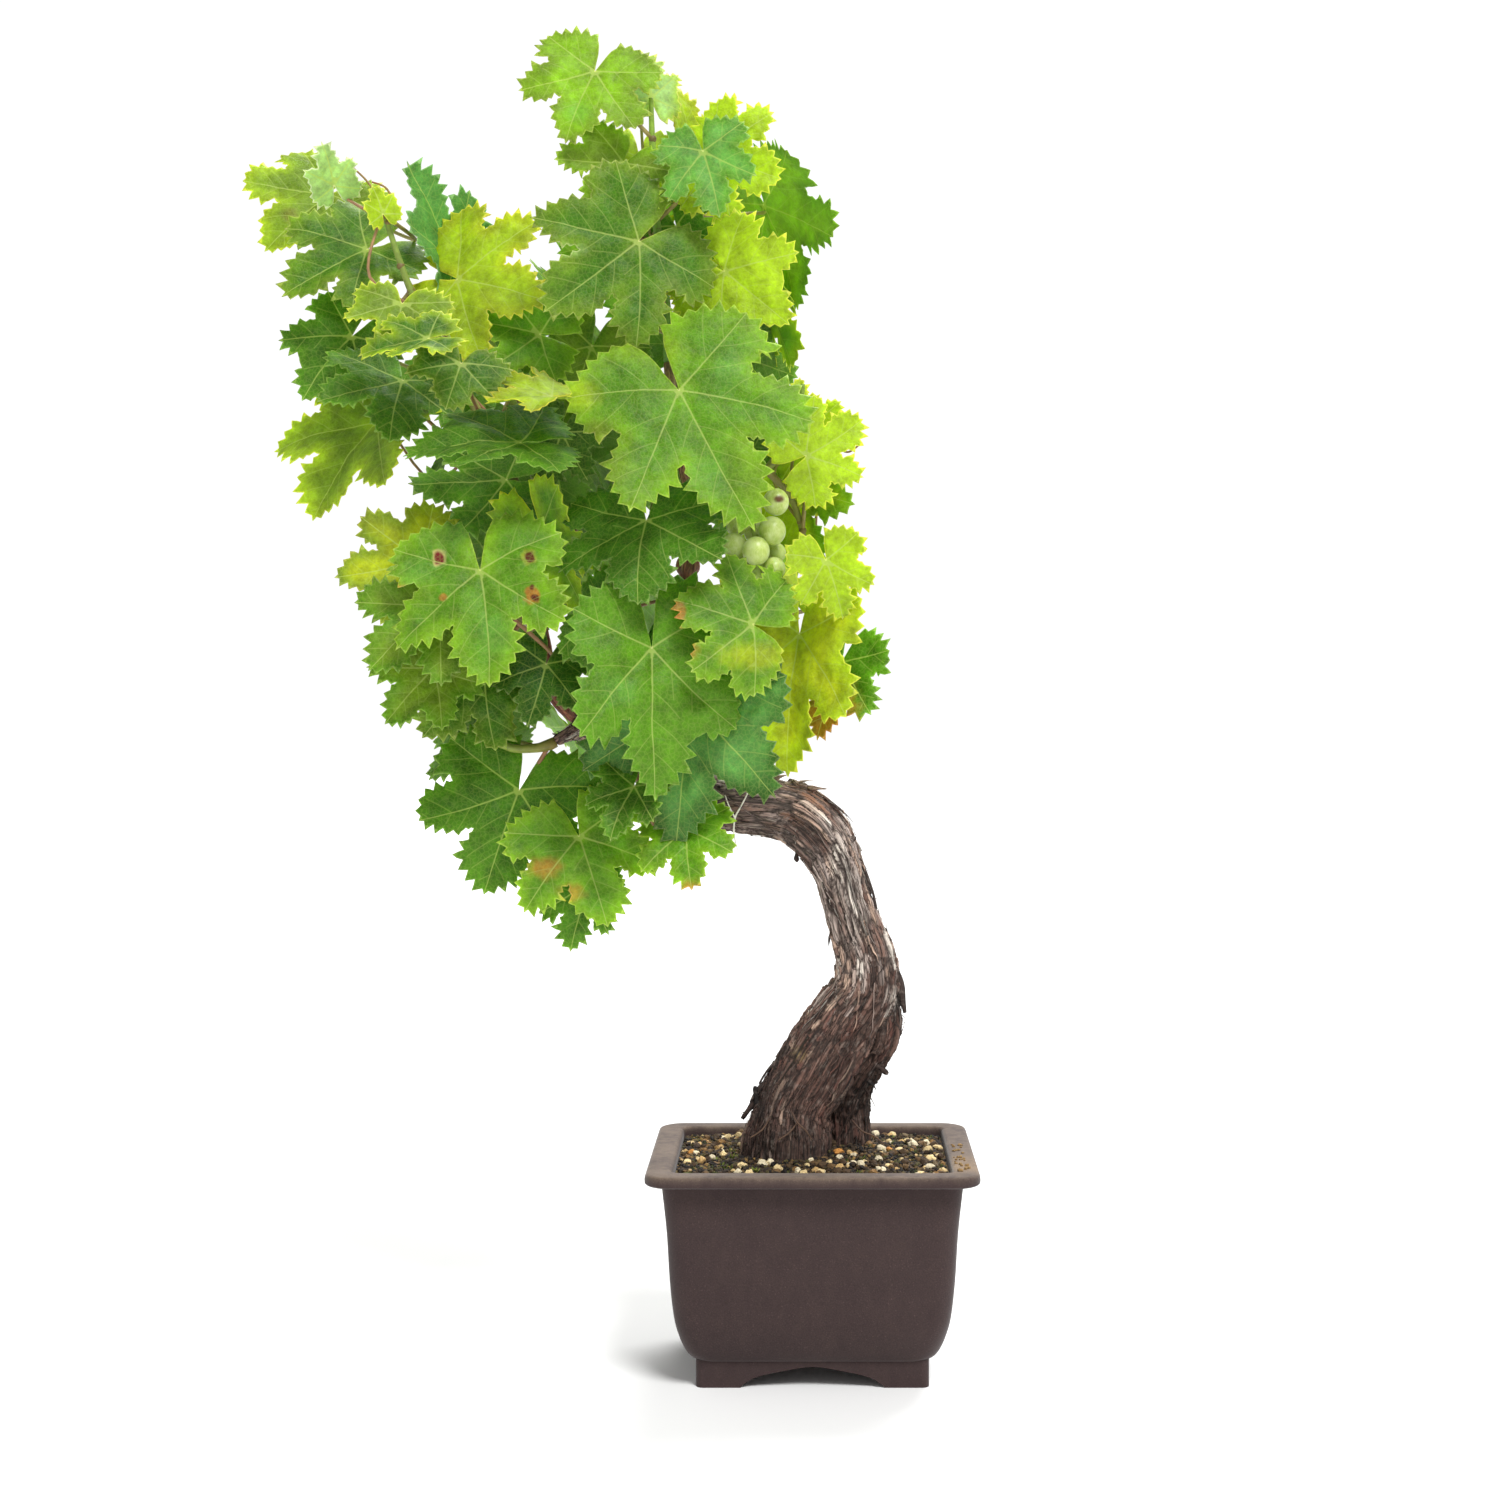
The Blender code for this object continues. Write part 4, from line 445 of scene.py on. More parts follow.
def limbRings(route, sides, ridge=None, grow=0.0):
    # Rings square to the route
    rings = []
    for i, (place, radius, ahead, side, over, travelled) in enumerate(limbFrames(route)):
        ring = []
        for k in range(sides):
            angle = 2 * math.pi * k / sides
            reach = radius * (ridge(angle, i / (len(route) - 1)) if ridge else 1.0) + grow
            ring.append(place + side * (reach * math.cos(angle)) + over * (reach * math.sin(angle)))
        rings.append(ring)
    return rings


def loft(rings):
    # A closed skin over rings of like count, with a flat face at each end
    bm = bmesh.new()
    skinRows(bm, [[bm.verts.new(point) for point in ring] for ring in rings])
    bmesh.ops.triangulate(bm, faces=bm.faces[:])
    return bm


def bark(angle, along):
    # Long ridges that wind a little up the trunk, fading where it enters the soil
    depth = 0.085 * clamp((along - 0.06) * 9)
    return (1.0 + depth * math.sin(3 * angle + 5.0 * along + 0.6)
            + depth * 0.8 * math.sin(5 * angle - 9.0 * along))


def trunkLofts(grow=0.0):
    lofts = [loft(limbRings(seenRoute(trunkRoute, 1), 14, bark, grow))]
    for route in (rootLeft, rootRight, rootBack):
        lofts.append(loft(limbRings(seenRoute(route, 1), 7, None, grow)))
    return lofts


def barkFlakes(rng):
    # Peeling strips, thin wedges whose root is sunk in the wood and whose tip stands off
    route = seenRoute(trunkRoute, 4)
    flakes = []
    for i in range(flakePlan["count"]):
        k = int(len(route) * (0.22 + 0.62 * i / flakePlan["count"]))
        place, radius = route[k]
        ahead = (route[k + 1][0] - place).normalized()
        around = rng.uniform(0, 2 * math.pi)
        side = Quaternion(ahead, around) @ ahead.orthogonal().normalized()
        hang = -ahead if rng.random() < 0.7 else ahead
        wide = ahead.cross(side) * rng.uniform(*flakePlan["half"]) * mm
        root = place + side * radius * flakePlan["seat"]
        tip = (root + hang * rng.uniform(*flakePlan["long"]) * mm
               + side * rng.uniform(*flakePlan["lift"]) * mm)
        thick = side * flakePlan["thick"] / 2
        flakes.append(loft([[root - wide - thick, root + wide - thick, root + wide + thick,
                             root - wide + thick],
                            [tip - wide * 0.4 - thick * 0.6, tip + wide * 0.4 - thick * 0.6,
                             tip + wide * 0.4 + thick * 0.6, tip - wide * 0.4 + thick * 0.6]]))
    return flakes


def trunkBodies():
    lofts = trunkLofts()
    for stub in stubs + trunkSpurs + (caneSeats["cane_centre"],):
        lofts.append(loft(limbRings(seenRoute(stub, 2), 8)))
    return lofts + barkFlakes(random.Random(7))


def caneBodies(name):
    route = seatedRoute(caneSeats[name], caneRoutes[name], caneBaseR)
    bodies = [loft(limbRings(route, 8))]
    bodies += [loft(limbRings(seenRoute(spur, 2), 6)) for spur in spurs[name]]
    if name == "cane_centre":
        bodies.append(caneJoint(1))
    return bodies


def polar(degrees, radius):
    angle = math.radians(degrees)
    return radius * math.sin(angle), radius * math.cos(angle)


class Blade:
    # One leaf blade: a flat outline in blade lengths, bent and set at its junction

    def __init__(self, junction, tip, facing, roll, bend, width, rng):
        self.junction = junction
        self.length = (tip - junction).length
        self.along = (tip - junction).normalized()
        out = (facing - self.along * facing.dot(self.along)).normalized()
        self.out = Quaternion(self.along, math.radians(roll)) @ out
        self.across = self.along.cross(self.out)
        self.fold, self.arch, self.cup = bend
        self.width = width
        self.wave = rng.uniform(0.035, 0.065)
        self.phase = rng.uniform(0, 2 * math.pi)
        self.twist = rng.uniform(-0.10, 0.10)
        self.seatShift = Vector([rng.uniform(-0.4, 0.4) * mm for axis in range(3)])
        young = self.length < leafPlan["youngLength"]
        half = leafPlan["young"] if young else leafPlan["outline"]
        ring = [(0, 1.0)] + [(a, r * rng.uniform(0.95, 1.05)) for a, r in half]
        ring += [(180, 0.0)] + [(-a, r * rng.uniform(0.95, 1.05)) for a, r in reversed(half)]
        self.outline = [polar(a, r) for a, r in ring]

    def place(self, x, y, off=0.0):
        # Fold along the midrib, an arch from junction to tip, a cup across and a waved margin
        radius = math.hypot(x, y)
        around = math.atan2(x, y)
        lift = self.fold * (math.hypot(x, 0.08) - 0.08) + self.arch * y * (1 - y) - self.cup * x * x
        lift += self.wave * radius * radius * math.sin(4 * around + self.phase) * abs(x) * 2
        lift += self.twist * x * y
        spread = x * self.width
        offset = self.across * spread + self.along * y + self.out * lift
        return self.junction + offset * self.length + self.out * off

    def flatMesh(self):
        # Split along the midrib, from the junction through its middle to the tip
        points = self.outline + [polar(*leafPlan["midrib"])]
        count = len(self.outline)
        edges = [(i, (i + 1) % count) for i in range(count)] + [(0, count), (count, count // 2)]
        verts, edges, faces = delaunay_2d_cdt([Vector(p) for p in points], edges, [], 1, 1e-6)[:3]
        return [tuple(v) for v in verts], faces

    def sheet(self, thick):
        return self.closedSheet(*self.flatMesh(), thick)

    def closedSheet(self, flat, faces, thick, lifts=None):
        # The bent blade as a closed body of even thickness, its upper corners listed first
        bm = bmesh.new()
        lifts = lifts or [0.0] * len(flat)
        verts = [bm.verts.new(self.place(x, y, lift - thick / 2)) for (x, y),
                 lift in zip(flat, lifts)]
        for face in faces:
            bm.faces.new([verts[i] for i in face])
        bmesh.ops.recalc_face_normals(bm, faces=bm.faces[:])
        bm.normal_update()
        if sum((f.normal.dot(self.out) * f.calc_area() for f in bm.faces)) < 0:
            bmesh.ops.reverse_faces(bm, faces=bm.faces[:])
        lower = {v: bm.verts.new(v.co) for v in list(bm.verts)}
        upperFaces = bm.faces[:]
        normals = {v: v.normal.copy() for v in lower}
        rim = [edge for edge in bm.edges if edge.is_boundary]
        for face in upperFaces:
            bm.faces.new([lower[v] for v in reversed(face.verts[:])])
        for edge in rim:
            loop = edge.link_loops[0]
            start, end = loop.vert, loop.link_loop_next.vert
            bm.faces.new((end, start, lower[start]))
            bm.faces.new((end, lower[start], lower[end]))
        for vert, normal in normals.items():
            vert.co += normal * thick
        bm.normal_update()
        return bm

    def middleTree(self):
        flat, faces = self.flatMesh()
        return BVHTree.FromPolygons([self.place(x, y) for x, y in flat], faces)

    def moved(self, shift, size):
        # The same blade further along the line of sight, so that it is seen in the same place
        other = object.__new__(Blade)
        other.__dict__.update(self.__dict__)
        scale = 1 + shift * mm / (self.junction.y + eye["distance"])
        other.junction = eyeAt + (self.junction - eyeAt) * scale
        other.length = self.length * scale * size
        return other


def petioleRoute(blade, place, bow):
    # From the stem, out beside it, and to the blade from behind, just past its junction
    aside = (blade.junction - place).cross(blade.out)
    aside = aside.normalized() if aside.length > 1e-6 else blade.across
    start = place + blade.seatShift
    end = blade.place(0, leafPlan["stalkSeat"])
    behind = end - blade.out * leafPlan["stalkDrop"]
    span = (behind - start).length
    radius = leafPlan["stalkR"] * (0.8 if blade.length < leafPlan["youngLength"] else 1.0)
    route = [(start, radius * 1.2), (behind, radius), (end, radius)]
    if any(bow):
        middle = start.lerp(behind, 0.45) + aside * (bow[0] * span) + Vector((0, 0, bow[1] * span))
        route.insert(1, (middle, radius))
    return route


class Canopy:
    # What is already placed, so that each further leaf hangs clear of it

    def __init__(self):
        self.solid = []
        self.blades = []
        self.stalks = []
        self.starts = []
        self.shown = []

    def take(self, owner, bodies):
        self.solid += [(BVHTree.FromBMesh(bm), owner) for bm in bodies]

    def bladeHits(self, shell, node, ownCounts):
        near = self.solid + [item for item in self.blades + self.stalks
                             if ownCounts or item[1] != node]
        return any(shell.overlap(tree) for tree, owner in near)

    def hides(self, blade):
        # Whether it would come between the eye and what is listed before it
        tree = blade.middleTree()
        for point in self.shown:
            if tree.ray_cast(point, (eyeAt - point).normalized(), eye["distance"])[0]:
                return True
        return False

    def stalkHits(self, route, node, ownCounts):
        # A stalk may meet its own stem, and the stalks that start beside it only near the stem
        steps = [(after[0] - before[0]).normalized() for before, after in zip(route, route[1:])]
        if any(first.dot(second) < leafPlan["sharpest"] for first, second in zip(steps, steps[1:])):
            return True
        wide = [(place, radius + leafPlan["stalkClear"]) for place, radius in route[:-1]]
        tree = BVHTree.FromBMesh(loft(limbRings(wide, 3)))
        near = [item for item in self.solid + self.stalks if item[1] != node]
        near += [item for item in self.blades if ownCounts or item[1] != node]
        if any(tree.overlap(other) for other, owner in near):
            return True
        (start, radius), (after, thin) = wide[:2]
        first = (after - start).length
        clearOfStem = start.lerp(after, min(leafPlan["stalkShared"] / first, 0.5))
        outer = BVHTree.FromBMesh(loft(limbRings([(clearOfStem, radius)] + wide[1:], 3)))
        return any(outer.overlap(other) for other, owner in self.stalks if owner == node)

    def stalkFor(self, blade, node, stems, ownCounts):
        places = [stem[i][0].lerp(stem[i + 1][0], share) for stem in stems
                  for i in range(1, len(stem) - 1) for share in (0.15, 0.5, 0.85)]

        def cost(place):
            # The usual stalk length, from below, and away from where others already start
            away = place - blade.junction
            near = sum((place - used).length < leafPlan["nodeSpace"] for used in self.starts)
            usual = abs(away.length - leafPlan["stalkReach"]) + 0.5 * max(0.0, away.z)
            return usual + near * leafPlan["nodeSpace"]

        for start in sorted(places, key=cost)[:leafPlan["starts"]]:
            for bow in leafPlan["bows"]:
                route = petioleRoute(blade, start, bow)
                if not self.stalkHits(route, node, ownCounts):
                    self.starts.append(start)
                    return route
        return None

    def hang(self, blade, node, stems):
        for size, ownCounts, ordered in leafPlan["rules"]:
            for shift in leafPlan["depthSteps"]:
                trial = blade.moved(shift, size)
                shell = BVHTree.FromBMesh(trial.sheet(2 * leafPlan["clear"]))
                if self.bladeHits(shell, node, ownCounts) or (ordered and self.hides(trial)):
                    continue
                route = self.stalkFor(trial, node, stems, ownCounts)
                if route:
                    self.blades.append((trial.middleTree(), node))
                    self.stalks.append((BVHTree.FromBMesh(loft(limbRings(route, 3))), node))
                    self.shown += [trial.place(x * leafPlan["shown"], y * leafPlan["shown"])
                                   for x, y in trial.outline]
                    return trial, route
        return None


def frontBlades():
    for i, row in enumerate(leafRows):
        name, jx, jy, jd, tx, ty, td, roll, fold, arch, cup, width = row[:12]
        rng = random.Random(100 + i)
        # No two blades lie alike: each is turned a little more, and widened to be seen as wide
        turn = roll + rng.uniform(-leafPlan["turn"], leafPlan["turn"])
        width *= min(1.35, math.cos(math.radians(roll)) / math.cos(math.radians(turn)))
        dip = td + rng.uniform(-leafPlan["tip"], leafPlan["tip"])
        yield "shoot_" + name, Blade(sight(jx, jy, jd), sight(tx, ty, dip), Vector((0, -1, 0.10)),
                                     turn, (fold, arch, cup), width, rng)


def backBlades(stems):
    # Outward and hanging, turned from side to side up each stem
    for node, count, length in backLeaves:
        rng = random.Random(node)
        stem = stems[node][0]
        for i in range(count):
            place = stem[1 + int((len(stem) - 2) * (i + 0.5) / count)][0]
            turn = (-70, 55, -20, 80, 15)[i % 5] + rng.uniform(-14, 14)
            outward = Quaternion((0, 0, 1), math.radians(-turn)) @ Vector((0, 1, 0))
            junction = place + outward * rng.uniform(30, 44) * mm
            junction += Vector((0, 0, rng.uniform(4, 20) * mm))
            hang = (Vector((0, 0, -1)) + outward * rng.uniform(0.25, 0.6)
                    + outward.cross(Vector((0, 0, 1))) * rng.uniform(-0.5, 0.5)).normalized()
            size = length * rng.uniform(0.85, 1.12)
            bend = (rng.uniform(0.08, 0.2), rng.uniform(0.12, 0.2), 0.12)
            yield node, Blade(junction, junction + hang * size, outward + Vector((0, 0, 0.35)),
                              rng.uniform(-12, 12), bend, rng.uniform(1.0, 1.15), rng)


def shootBodies(name, stems, leaves):
    bodies = [loft(limbRings(stem, 5)) for stem in stems]
    for blade, route in leaves:
        bodies += [blade.sheet(leafPlan["thick"]), loft(limbRings(route, 3))]
    bodies += [loft(limbRings(seenRoute(points, 2), 3)) for node, points in tendrils if node == name]
    if name == "shoot_right":
        bodies.append(loft(limbRings(seenRoute(bunchSeat, 1), 5)))
    return bodies


def berryMesh(berry, subdivisions):
    px, py, depth, radius = berry
    bm = bmesh.new()
    bmesh.ops.create_icosphere(bm, subdivisions=subdivisions, radius=1.0)
    size = radius * (eye["distance"] + depth * mm) / eye["focal"]
    bmesh.ops.scale(bm, vec=(size, size, size * 1.06), verts=bm.verts[:])
    bmesh.ops.translate(bm, vec=sight(px, py, depth), verts=bm.verts[:])
    return bm


def bunchBodies():
    stalk = seatedRoute(bunchSeat, bunchStalk)
    bodies = [loft(limbRings(stalk, 5))]
    for berry in berries:
        middle = sight(*berry[:3])
        nearest = min((place for place, radius in stalk[2:]), key=lambda p: (p - middle).length)
        pedicel = [(nearest, pedicelR), (middle.lerp(nearest, 0.35), pedicelR)]
        bodies += [berryMesh(berry, 2 if berry[3] > smallBerry else 1), loft(limbRings(pedicel, 3))]
    return bodies


# Pot: sizes in metres, as heights and half widths
potSize = {
    "height": 0.112, "rimHalf": (0.0850, 0.0730), "mouthHalf": (0.0710, 0.0590),
    "mouthCorner": 0.005, "rimCorner": 0.014, "wallCorner": 0.011,
    "footHalf": (0.0596, 0.0490), "footCorner": 0.004, "footWall": 0.0095, "footHeight": 0.0140,
    "floorUnder": 0.0136, "drainR": 0.008, "drainX": 0.033,
    # the lip, as depth below the top and how far its outer side comes in
    "lip": ((0.0062, 0.0030), (0.0058, 0.0010), (0.0050, 0.0001), (0.0036, 0.0), (0.0018, 0.0002),
            (0.0009, 0.0006), (0.0003, 0.0013), (0.0, 0.0024)),
    # how far the mouth's sides come in by height, then the rounded edge of the rim
    "mouth": ((0.0200, 0.0140), (0.0380, 0.0065), (0.1090, 0.0), (0.1105, -0.0003),
              (0.1114, -0.0009), (0.1119, -0.0018), (0.1130, -0.0040)),
    "wall": ((0.0130, 0.0605), (0.0150, 0.0630), (0.0189, 0.0655), (0.0265, 0.0684),
             (0.0366, 0.0708), (0.0548, 0.0727), (0.0800, 0.0742), (0.1055, 0.0768)),
    # half an arch between the feet, out from its middle and up, for the front and the sides
    "arch": ((0.0370, -0.001), (0.0366, 0.0004), (0.0352, 0.0017), (0.0330, 0.0032), (0.0303, 0.0048),
             (0.0260, 0.0062), (0.0200, 0.0076), (0.0130, 0.0089), (0.0060, 0.0102), (0.0, 0.0108)),
    "sideArch": 0.68, "edge": 0.0005, "arcSteps": 9,
}


def roundedRing(halfX, halfY, radius, z):
    steps = potSize["arcSteps"]
    ring = []
    for k, (signX, signY) in enumerate(((1, 1), (-1, 1), (-1, -1), (1, -1))):
        for i in range(steps + 1):
            angle = math.pi / 2 * (k + i / steps)
            ring.append(Vector((signX * (halfX - radius) + radius * math.cos(angle),
                                signY * (halfY - radius) + radius * math.sin(angle), z)))
    return ring


def mouthInset(z):
    rows = potSize["mouth"]
    for (low, wide), (high, narrow) in zip(rows, rows[1:]):
        if z <= high:
            break
    return wide + (narrow - wide) * (z - low) / (high - low)


def easedRows(rows, steps):
    # More rows between the given ones, on a smooth curve
    points = [(Vector((wide, height, 0.0)), 0.0) for height, wide in rows]
    return [(place.y, place.x) for place, none in smoothRoute(points, steps)]


def archBar(share, length, alongX):
    # The space between two feet, as a long bar with a bracket's outline
    half = potSize["arch"]
    outline = [(x * share, z) for x, z in half] + [(-x * share, z) for x, z in reversed(half[:-1])]
    bm = bmesh.new()
    corners = [bm.verts.new((0, x, z) if alongX else (x, 0, z)) for x, z in outline]
    face = bm.faces.new(corners)
    side = Vector((length, 0, 0)) if alongX else Vector((0, length, 0))
    bmesh.ops.translate(bm, vec=-side / 2, verts=corners)
    grown = bmesh.ops.extrude_face_region(bm, geom=[face])["geom"]
    bmesh.ops.translate(bm, vec=side, verts=[v for v in grown if isinstance(v, bmesh.types.BMVert)])
    bmesh.ops.recalc_face_normals(bm, faces=bm.faces[:])
    return bm


def box(size, place):
    bm = bmesh.new()
    bmesh.ops.create_cube(bm, size=1.0)
    bmesh.ops.scale(bm, vec=size, verts=bm.verts[:])
    bmesh.ops.translate(bm, vec=place, verts=bm.verts[:])
    return bm


def combined(bm, cutters, operation, solver="EXACT"):
    # One union or cut with several bodies
    group = bpy.data.collections.new("operands")
    bpy.context.scene.collection.children.link(group)
    for cutter in cutters:
        mesh = bpy.data.meshes.new("operand")
        cutter.to_mesh(mesh)
        cutter.free()
        group.objects.link(bpy.data.objects.new("operand", mesh))
    result = meshWith(bm, "combined", "BOOLEAN", operation=operation, operand_type="COLLECTION",
                      collection=group, solver=solver)
    for operand in list(group.objects):
        bpy.data.meshes.remove(operand.data)
    bpy.data.collections.remove(group)
    return result


def stonewareMaterial():
    # Unglazed stoneware, pressed and fired: matt, with fine grit in the body, faint upright
    # wiping marks, a rim paler where it faces up, and dried mineral stains at one corner
    look = {"body": "#3A2C2B", "dark": "#352727", "light": "#40312F", "rim": "#706053",
            "stain": "#A28768", "gritMm": 0.7, "cloudMm": 26, "wipeMm": 5,
            "stainAt": (home.x + 0.078, home.y - 0.040, 0.112)}
    material, tree, shader = startMaterial("unglazed stoneware", Roughness=0.8,
                                           Specular_IOR_Level=0.3, Sheen_Weight=0.2,
                                           Sheen_Roughness=0.4)
    place = addNode(tree, "TexCoord", out="Object")
    upright = addNode(tree, "Mapping", {"Vector": place, "Scale": (1.0, 1.0, 0.4)})
    cloud = addNode(tree, "TexNoise", {"Vector": place, "Scale": perMm(look["cloudMm"]),
                                       "Detail": 3.0})
    wipe = addNode(tree, "TexNoise", {"Vector": upright, "Scale": perMm(look["wipeMm"]),
                                      "Detail": 5.0, "Roughness": 0.6})
    grit = addNode(tree, "TexNoise", {"Vector": place, "Scale": perMm(look["gritMm"]), "Detail": 2.0})
    blend = addNode(tree, "Math", (cloud, wipe), operation="ADD")
    spread = addNode(tree, "MapRange", (blend, 0.50, 1.50))
    body = addNode(tree, "ValToRGB", (spread,),
                   [(0.0, look["dark"]), (0.5, look["body"]), (1.0, look["light"])])
    # The rim's flat top and the lip are paler where they face up
    height = addNode(tree, "SeparateXYZ", (place,), out="Z")
    facing = addNode(tree, "SeparateXYZ",
                     (addNode(tree, "NewGeometry", out="Normal"),), out="Z")
    high = addNode(tree, "MapRange", (height, 0.1070, 0.1115))
    flat = addNode(tree, "MapRange", (facing, -0.4, 0.9))
    upFacingTop = addNode(tree, "Math", (high, flat), operation="MULTIPLY")
    upFacingTop = addNode(tree, "Math", (upFacingTop, spread), operation="MULTIPLY")
    upFacingShare = addNode(tree, "MapRange", (upFacingTop, 0.0, 0.62))
    rimmed = addNode(tree, "Mix", {0: upFacingShare, 6: body, 7: colour(look["rim"])}, **rgba)
    away = addNode(tree, "VectorMath", (place, look["stainAt"]), operation="DISTANCE", out="Value")
    ragged = addNode(tree, "Math", (wipe, 0.030), operation="MULTIPLY")
    edge = addNode(tree, "Math", (away, ragged), operation="ADD")
    stain = addNode(tree, "MapRange", (edge, 0.040, 0.024))
    stain = addNode(tree, "Math", (stain, upFacingTop), operation="MULTIPLY")
    stained = addNode(tree, "Mix", {0: stain, 6: rimmed, 7: colour(look["stain"])}, **rgba)
    specks = addNode(tree, "ValToRGB", (grit,), [(0.30, 0.80), (0.52, 1.0), (0.66, 1.10),
                                                 (0.74, 1.7)])
    finish = addNode(tree, "Mix", {0: 1.0, 6: stained, 7: specks}, **times)
    relief = addNode(tree, "Math", (wipe, grit), operation="ADD")
    dress(tree, shader, finish, relief, 0.35, 0.0003)
    return material


def makePot():
    size = potSize
    less = size["rimHalf"][0] - size["rimHalf"][1]
    rings = [roundedRing(half, half - less, size["wallCorner"], z) for z,
             half in easedRows(size["wall"], 4)]
    rings += [roundedRing(size["rimHalf"][0] - inward, size["rimHalf"][1] - inward,
                          size["rimCorner"] - inward, size["height"] - down)
              for down, inward in size["lip"]]
    body = loft(rings)
    foot = loft([roundedRing(*size["footHalf"], size["footCorner"], 0.0),
                 roundedRing(*size["footHalf"], size["footCorner"], size["footHeight"])])
    body = combined(body, [foot], "UNION")
    pocket = box([2 * (half - size["footWall"]) for half in size["footHalf"]]
                 + [2 * size["floorUnder"]], (0, 0, 0))
    mouth = loft([roundedRing(size["mouthHalf"][0] - inset, size["mouthHalf"][1] - inset,
                              size["mouthCorner"] + max(0.0, -inset), z) for z,
                  inset in size["mouth"]])
    cuts = [pocket, mouth, archBar(1.0, 4 * size["footHalf"][1], False),
            archBar(size["sideArch"], 4 * size["footHalf"][0], True)]
    for side in (-1, 1):
        hole = bmesh.new()
        bmesh.ops.create_cone(hole, cap_ends=True, segments=32, radius1=size["drainR"],
                              radius2=size["drainR"], depth=0.02)
        bmesh.ops.translate(hole, vec=(side * size["drainX"], 0, 0.017), verts=hole.verts[:])
        cuts.append(hole)
    body = combined(body, cuts, "DIFFERENCE")
    bmesh.ops.remove_doubles(body, verts=body.verts[:], dist=0.00002)
    piece = addPiece("pot_body", body, stonewareMaterial(), ["pot"])
    soften = piece.modifiers.new("soft edges", "BEVEL")
    soften.width, soften.segments, soften.limit_method = size["edge"], 2, "ANGLE"
    soften.angle_limit = math.radians(38)
    piece.data.set_sharp_from_angle(angle=math.radians(40))


def meshMaterial():
    # Moulded polyethylene mesh over the drain holes: black and slightly dull
    material, tree, shader = startMaterial("moulded plastic mesh", Roughness=0.5,
                                           Base_Color=colour("#1A1A1B"))
    grain = addNode(tree, "TexNoise",
                    {"Vector": addNode(tree, "TexCoord", out="Object"),
                     "Scale": perMm(0.6)})
    dress(tree, shader, None, grain, 0.3, 0.0001)
    return material


# Soil: its surface, and the grit that lies on it
soilLook = {
    "top": 0.1070, "mound": 0.0055, "moundReach": 0.045, "trunkAt": (-0.004, 0.010),
    "cellMm": 1.5, "relief": 0.0016, "seed": 21,
    # lumps to the metre, how far it lies low, from where and how far its corners are drawn in,
    # and the heights of its skirt inside the pot
    "lumps": (190, 420), "sunk": 0.0004, "cornerFrom": 0.93, "cornerIn": 0.0015,
    "skirt": (0.0380, 0.0215),
    # how many grains and their size in mm
    "pebbles": (190, (2.6, 5.6)), "grit": (2500, (1.2, 3.4)),
    # those on the right side of the rim: how many, where in mm, how much smaller and dustier
    "spilled": 34, "spillX": (73.5, 80), "spillY": (-60, 14), "spillSize": 0.8,
    "dust": "#B8945E", "dusty": 0.6,
    "pebbleTones": (("#E3C993", 5), ("#EADBB8", 5), ("#C9A56C", 3), ("#6B5130", 5), ("#4A3722", 6),
                    ("#8A673A", 3), ("#C98A42", 1), ("#77654A", 1)),
    "gritTones": (("#30241A", 8), ("#3E2E1C", 8), ("#17100B", 14), ("#4E3C22", 6), ("#6A5330", 3),
                  ("#4C4420", 5), ("#8A6C3A", 2), ("#CDB07A", 1)),
    "mossTones": ("#4E5A1E", "#6A7726", "#869436"), "mossClumps": 46,
    "mossBlades": (10, 22), "mossHigh": (1.2, 2.8), "mossSpread": 1.3,
}


def soilHeight(x, y):
    away = math.hypot(x - soilLook["trunkAt"][0], y - soilLook["trunkAt"][1])
    return soilLook["top"] + soilLook["mound"] * math.exp(-(away / soilLook["moundReach"]) ** 2)


def earthMaterial():
    # Moist grit and peat: nearly black between the grains, browner and mossy where it is dry
    material, tree, shader = startMaterial("moist potting grit", Roughness=0.9)
    place = addNode(tree, "TexCoord", out="Object")
    lumps = addNode(tree, "TexVoronoi", {"Vector": place, "Scale": perMm(2.6)}, out="Distance")
    patches = addNode(tree, "TexNoise", {"Vector": place, "Scale": perMm(14), "Detail": 4.0})
    grain = addNode(tree, "SeparateColor", (lumps.node.outputs["Color"],))
    brown = addNode(tree, "ValToRGB", (grain,),
                    [(0.0, "#140E09"), (0.45, "#33251A"), (0.8, "#5A4428"), (1.0, "#80633C")])
    mossy = addNode(tree, "MapRange", (patches, 0.56, 0.70))
    tone = addNode(tree, "Mix", {0: mossy, 6: brown, 7: colour("#4E5420")}, **rgba)
    dress(tree, shader, tone, lumps, 0.8, 0.0012)
    return material


def stoneMaterial(name, roughness):
    # Dry baked clay and pumice grit: each grain its own tone, dusty and pitted
    material, tree, shader = startMaterial(name, Roughness=roughness)
    place = addNode(tree, "TexCoord", out="Object")
    tone = addNode(tree, "Attribute", attribute_name="tint", out="Color")
    pits = addNode(tree, "TexNoise", {"Vector": place, "Scale": perMm(0.9), "Detail": 4.0})
    dust = addNode(tree, "ValToRGB", (pits,), [(0.34, 0.62), (0.5, 1.0), (0.7, 1.15)])
    finish = addNode(tree, "Mix", {0: 1.0, 6: tone, 7: dust}, **times)
    dress(tree, shader, finish, pits, 0.7, 0.0004)
    return material


